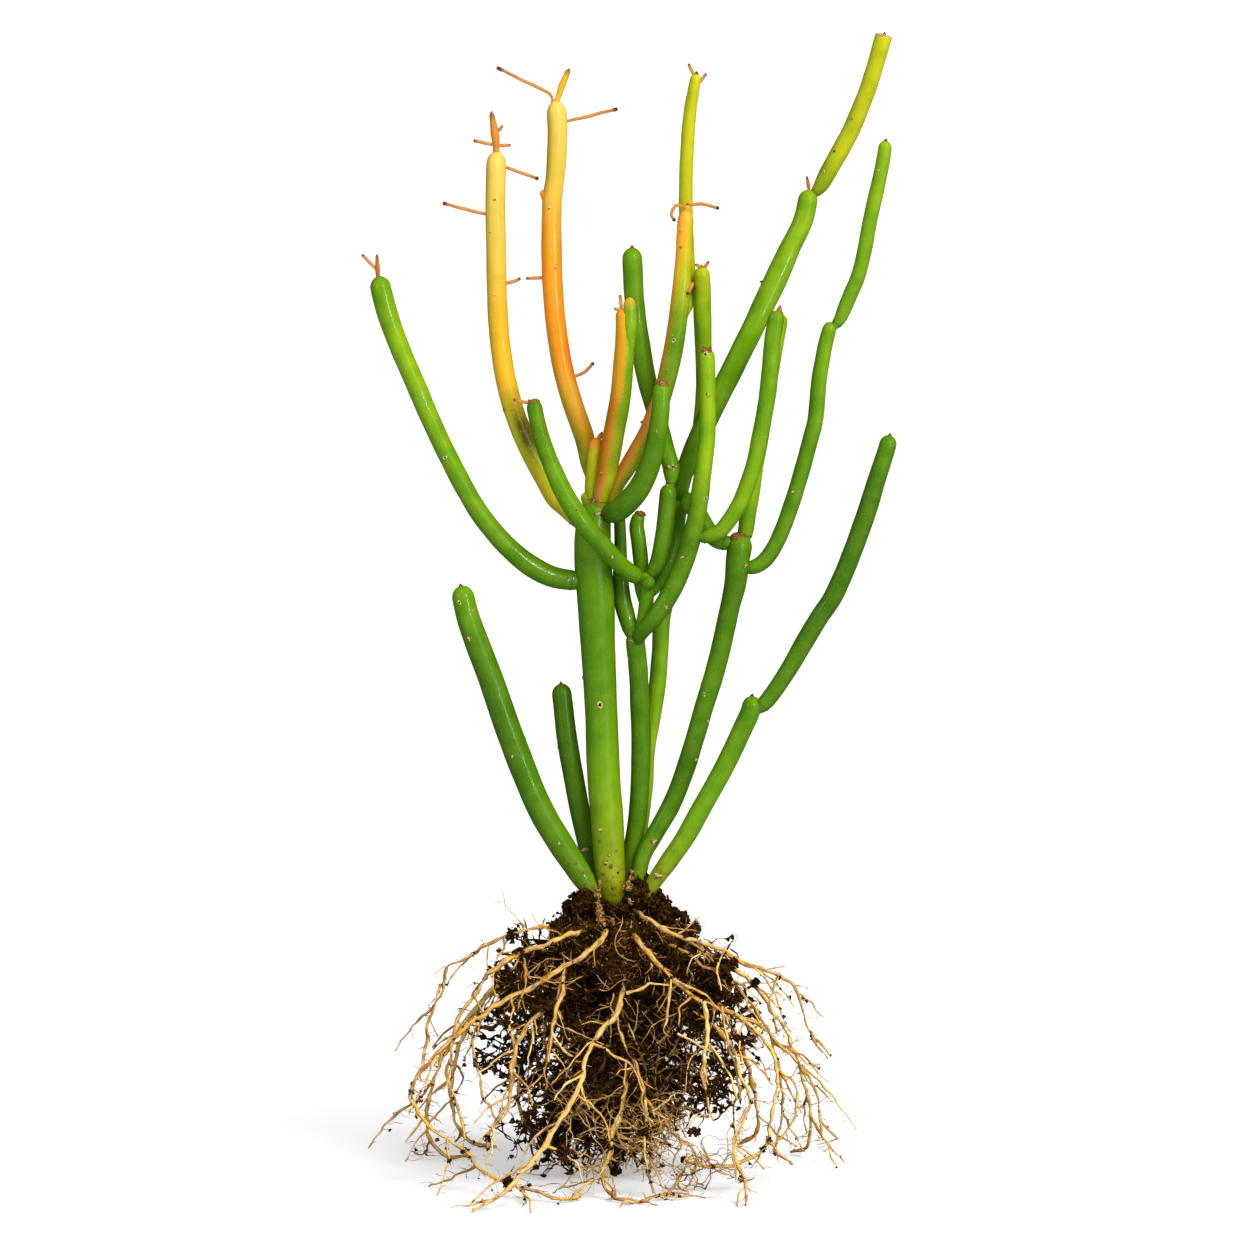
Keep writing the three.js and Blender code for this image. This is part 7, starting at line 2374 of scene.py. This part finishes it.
    def crumbs_on(self, lines: list[np.ndarray], gap: float, sizes: tuple[float, float]) -> bpy.types.Object:
        """Sticks crumbs to strands, one each gap on average and in clusters here and there.

        Args:
            lines: The strands.
            gap: The mean distance between crumbs.
            sizes: The least and the greatest size of a crumb.

        Returns:
            The crumbs, as one piece.
        """
        places, spread = [], []
        for line in lines:
            for _ in range(self.rng.poisson(lengths(line)[-1] / gap)):
                near = int(self.rng.integers(1, len(line) - 1))
                for _ in range(int(self.rng.integers(2, 6)) if self.rng.random() < 0.2 else 1):
                    size = self.rng.uniform(*sizes)
                    away = unit(self.rng.normal(size=3)) * (line[near, 3] + size * 0.3)
                    places.append(line[near, :3] + away)
                    spread.append(size)
        normals = unit(self.rng.normal(size=(len(places), 3)))
        return self.scatter(self.templates.grains, np.array(places), normals, np.array(spread))

    def cluster(self, centre: np.ndarray, size: float, finish: Finish = SOIL) -> bpy.types.Object:
        """Packs crumbs into one clod.

        Args:
            centre: Its middle.
            size: Its size.
            finish: What it is made of.

        Returns:
            The clod.
        """
        count = self.clod_crumbs
        shape = self.rng.uniform(0.6, 1.15, 3)
        away = unit(self.rng.normal(size=(count, 3))) * self.rng.uniform(0, 1, (count, 1)) ** 0.5
        places = centre + away * shape * size * 0.72
        sizes = size * self.rng.uniform(0.09, 0.29, count)
        return self.scatter(self.templates.grains, places, unit(away), sizes, finish)

    def clods(self, rows: tuple[Point, ...], finish: Finish = SOIL) -> list[bpy.types.Object]:
        """Packs a clod at each row of across, height as seen, depth and size."""
        return [self.cluster(np.array(seen(*row[:3])), row[3], finish) for row in np.array(rows) / PER_METRE]

    def hanging_clods(self) -> list[bpy.types.Object]:
        """Builds the clods that hang in the roots, each on the root nearest to it.

        Returns:
            The clods.
        """
        made = []
        points = np.vstack([line[:, :3] for line in self.root_lines])
        rise = height_seen(points)
        for across, height, size in np.array(HANGING_CLODS) / PER_METRE:
            gaps = np.hypot(points[:, 0] - across, rise - height) + 0.05 * np.maximum(points[:, 1], 0)
            made.append(self.cluster(points[gaps.argmin()], size * 0.8))
        return made

    def collar(self) -> bpy.types.Object:
        """Builds the clods round the feet of the stems, with crumbs and dry bits on the crown.

        Returns:
            The piece.
        """
        made = self.clods(COLLAR_CLODS)
        top = np.flatnonzero((self.corners[:, 2] > 0.076) & (self.corners[:, 2] < 0.097))
        for pick in self.rng.choice(top, self.crown_clods):
            finish = CRUMB if self.rng.random() < 0.25 else SOIL
            made.append(self.cluster(self.corners[pick], self.rng.uniform(*self.crown_sizes), finish))
        for count, size, finish in ((500, 0.0009, SOIL), (900, 0.00055, CRUMB), (420, 0.0005, CRUST)):
            picks = self.rng.choice(top, count)
            places = self.corners[picks] + self.normals[picks] * self.rng.uniform(0.0006, 0.0022, (count, 1))
            sizes = self.rng.uniform(0.4, 1, count) * size
            made.append(self.scatter(self.templates.grains, places, self.normals[picks], sizes, finish))
        count = self.fibre_count
        picks = self.rng.choice(top, count)
        headings = self.rng.normal(0, 0.8, (count, 3)) - UP * 0.3
        starts = self.corners[picks] + self.normals[picks] * self.rng.uniform(0.0004, 0.003, (count, 1))
        spans = self.rng.uniform(*FIBRE_HABIT.spans, count)
        radii = self.rng.uniform(*FIBRE_HABIT.radii, count)
        fibres = grow(self.rng, starts, headings, spans, radii, FIBRE_HABIT)
        return join([*made, self.rootlets("fibres", fibres, "#c0904c")], "soil_collar")

    def curls(self) -> bpy.types.Object:
        """Lays fine curls on the soil, and hangs a fringe of rootlets round it.

        Returns:
            The piece.
        """
        count = self.curl_count
        starts, outward = self.around(count, low=0.012, high=0.082)
        headings = np.cross(outward, self.rng.normal(size=outward.shape)) + outward * 0.8
        spans = self.rng.uniform(*CURL_HABIT.spans, count)
        starts += outward * self.rng.uniform(0.002, 0.012, (count, 1))
        radii = self.rng.uniform(*CURL_HABIT.radii, count)
        curls = grow(self.rng, starts, headings, spans, radii, CURL_HABIT)
        starts, headings, radii = sprout(self.rng, curls, gap=0.005, lean=0.6, skip=0.002)
        spans = self.rng.uniform(*FORK_HABIT.spans, len(starts))
        curls += grow(self.rng, starts, headings, spans, np.minimum(radii, FORK_HABIT.radii[1]), FORK_HABIT)
        count = self.fringe_count
        starts, outward = self.around(count, low=0.02, high=0.07)
        headings = outward + self.rng.normal(0, 0.6, outward.shape)
        spans = self.rng.uniform(*FRINGE_HABIT.spans, count)
        radii = self.rng.uniform(*FRINGE_HABIT.radii, count)
        fringe = grow(self.rng, starts, headings, spans, radii, FRINGE_HABIT)
        parts = [self.rootlets("curls", curls, "#e8ba7a"), self.rootlets("fringe", fringe, "#b08038")]
        return join(parts, "soil_rootlets")


@dataclass
class Studio:
    """The plain floor, soft light and camera.

    Args:
        distance: How far the camera is from the plant.
        field_width: What the picture spans at the plant.
        target: What the camera looks at.
        floor_half: Half the floor's width.
        floor_gap: How far the floor lies under the plant.
        suns: Each light's name, strength, spread in degrees and aim, and whether it only shines.
    """

    distance: float = 6.0
    field_width: float = 0.4389
    target: tuple[float, float, float] = (0.0042, 0.0, 0.1947)
    floor_half: float = 12.0
    floor_gap: float = 0.0004
    suns: tuple[tuple[str, float, float, tuple[float, float, float], bool], ...] = (
        ("key", 2.5, 34, (-0.5, 0.62, -0.85), False),
        ("fill", 0.5, 50, (0.85, 0.6, -0.5), False),
        ("key_shine", 0.75, 5, (-0.5, 0.75, -0.42), True),
        ("side_shine", 0.15, 8, (0.75, 0.6, -0.4), True),
        ("low_shine", 0.45, 6, (-0.62, 0.78, -0.02), True),
    )

    def build(self) -> None:
        """Builds the stage."""
        self.floor()
        self.room()
        self.lights()
        self.camera()

    def floor(self) -> None:
        """Lays a large white paper floor."""
        plane = {"size": 2 * self.floor_half, "location": (0, 0, -self.floor_gap)}
        floor = add_shape(bpy.ops.mesh.primitive_plane_add, **plane)
        floor.name = "paper_floor"
        floor.data.materials.append(material_of(PAPER))

    def room(self) -> None:
        """Makes an even pale room, which the waxy skin reflects only dimly."""
        scene = bpy.context.scene
        scene.view_settings.view_transform = "Standard"
        scene.world = bpy.data.worlds.new("pale_room")
        scene.world.use_nodes = True
        scene.world.node_tree.nodes.clear()
        node = partial(add_node, scene.world.node_tree)
        glossy = node("LightPath", output="Is Glossy Ray")
        strength = node("MapRange", {0: glossy, 3: 0.3, 4: 0.02})
        node("OutputWorld", {"Surface": node("Background", {"Color": (1, 1, 1, 1), "Strength": strength})})

    def lights(self) -> None:
        """Sets a broad soft key from the upper right front, a fill, and small lights that only shine."""
        for name, power, spread, aim, shine in self.suns:
            sun = bpy.data.lights.new(name, "SUN")
            sun.energy = power
            sun.angle = math.radians(spread)
            lamp = bpy.data.objects.new(name, sun)
            lamp.rotation_mode = "QUATERNION"
            lamp.rotation_quaternion = Vector(aim).to_track_quat("-Z", "Y")
            lamp.visible_glossy = shine
            lamp.visible_diffuse = not shine
            bpy.context.scene.collection.objects.link(lamp)

    def camera(self) -> None:
        """Sets the camera 8 degrees above the floor, with a long lens."""
        data = bpy.data.cameras.new("camera")
        data.sensor_width = 36
        data.lens = data.sensor_width * self.distance / self.field_width
        data.clip_end = 100
        camera = bpy.data.objects.new("camera", data)
        sight = Vector(SIGHT.tolist())
        camera.location = Vector(self.target) - sight * self.distance
        camera.rotation_mode = "QUATERNION"
        camera.rotation_quaternion = sight.to_track_quat("-Z", "Y")
        bpy.context.scene.collection.objects.link(camera)
        bpy.context.scene.camera = camera


def main() -> None:
    """Builds the stage and the plant."""
    logging.basicConfig(level=logging.INFO, format="%(message)s")
    Studio().build()
    templates = Templates()
    StemWork(LIMBS, templates).build()
    root_lines = RootWork(ROOTS).build()
    SoilWork(templates, root_lines).build()
    templates.remove()
    bpy.context.view_layer.update()


if __name__ == "__main__":
    main()
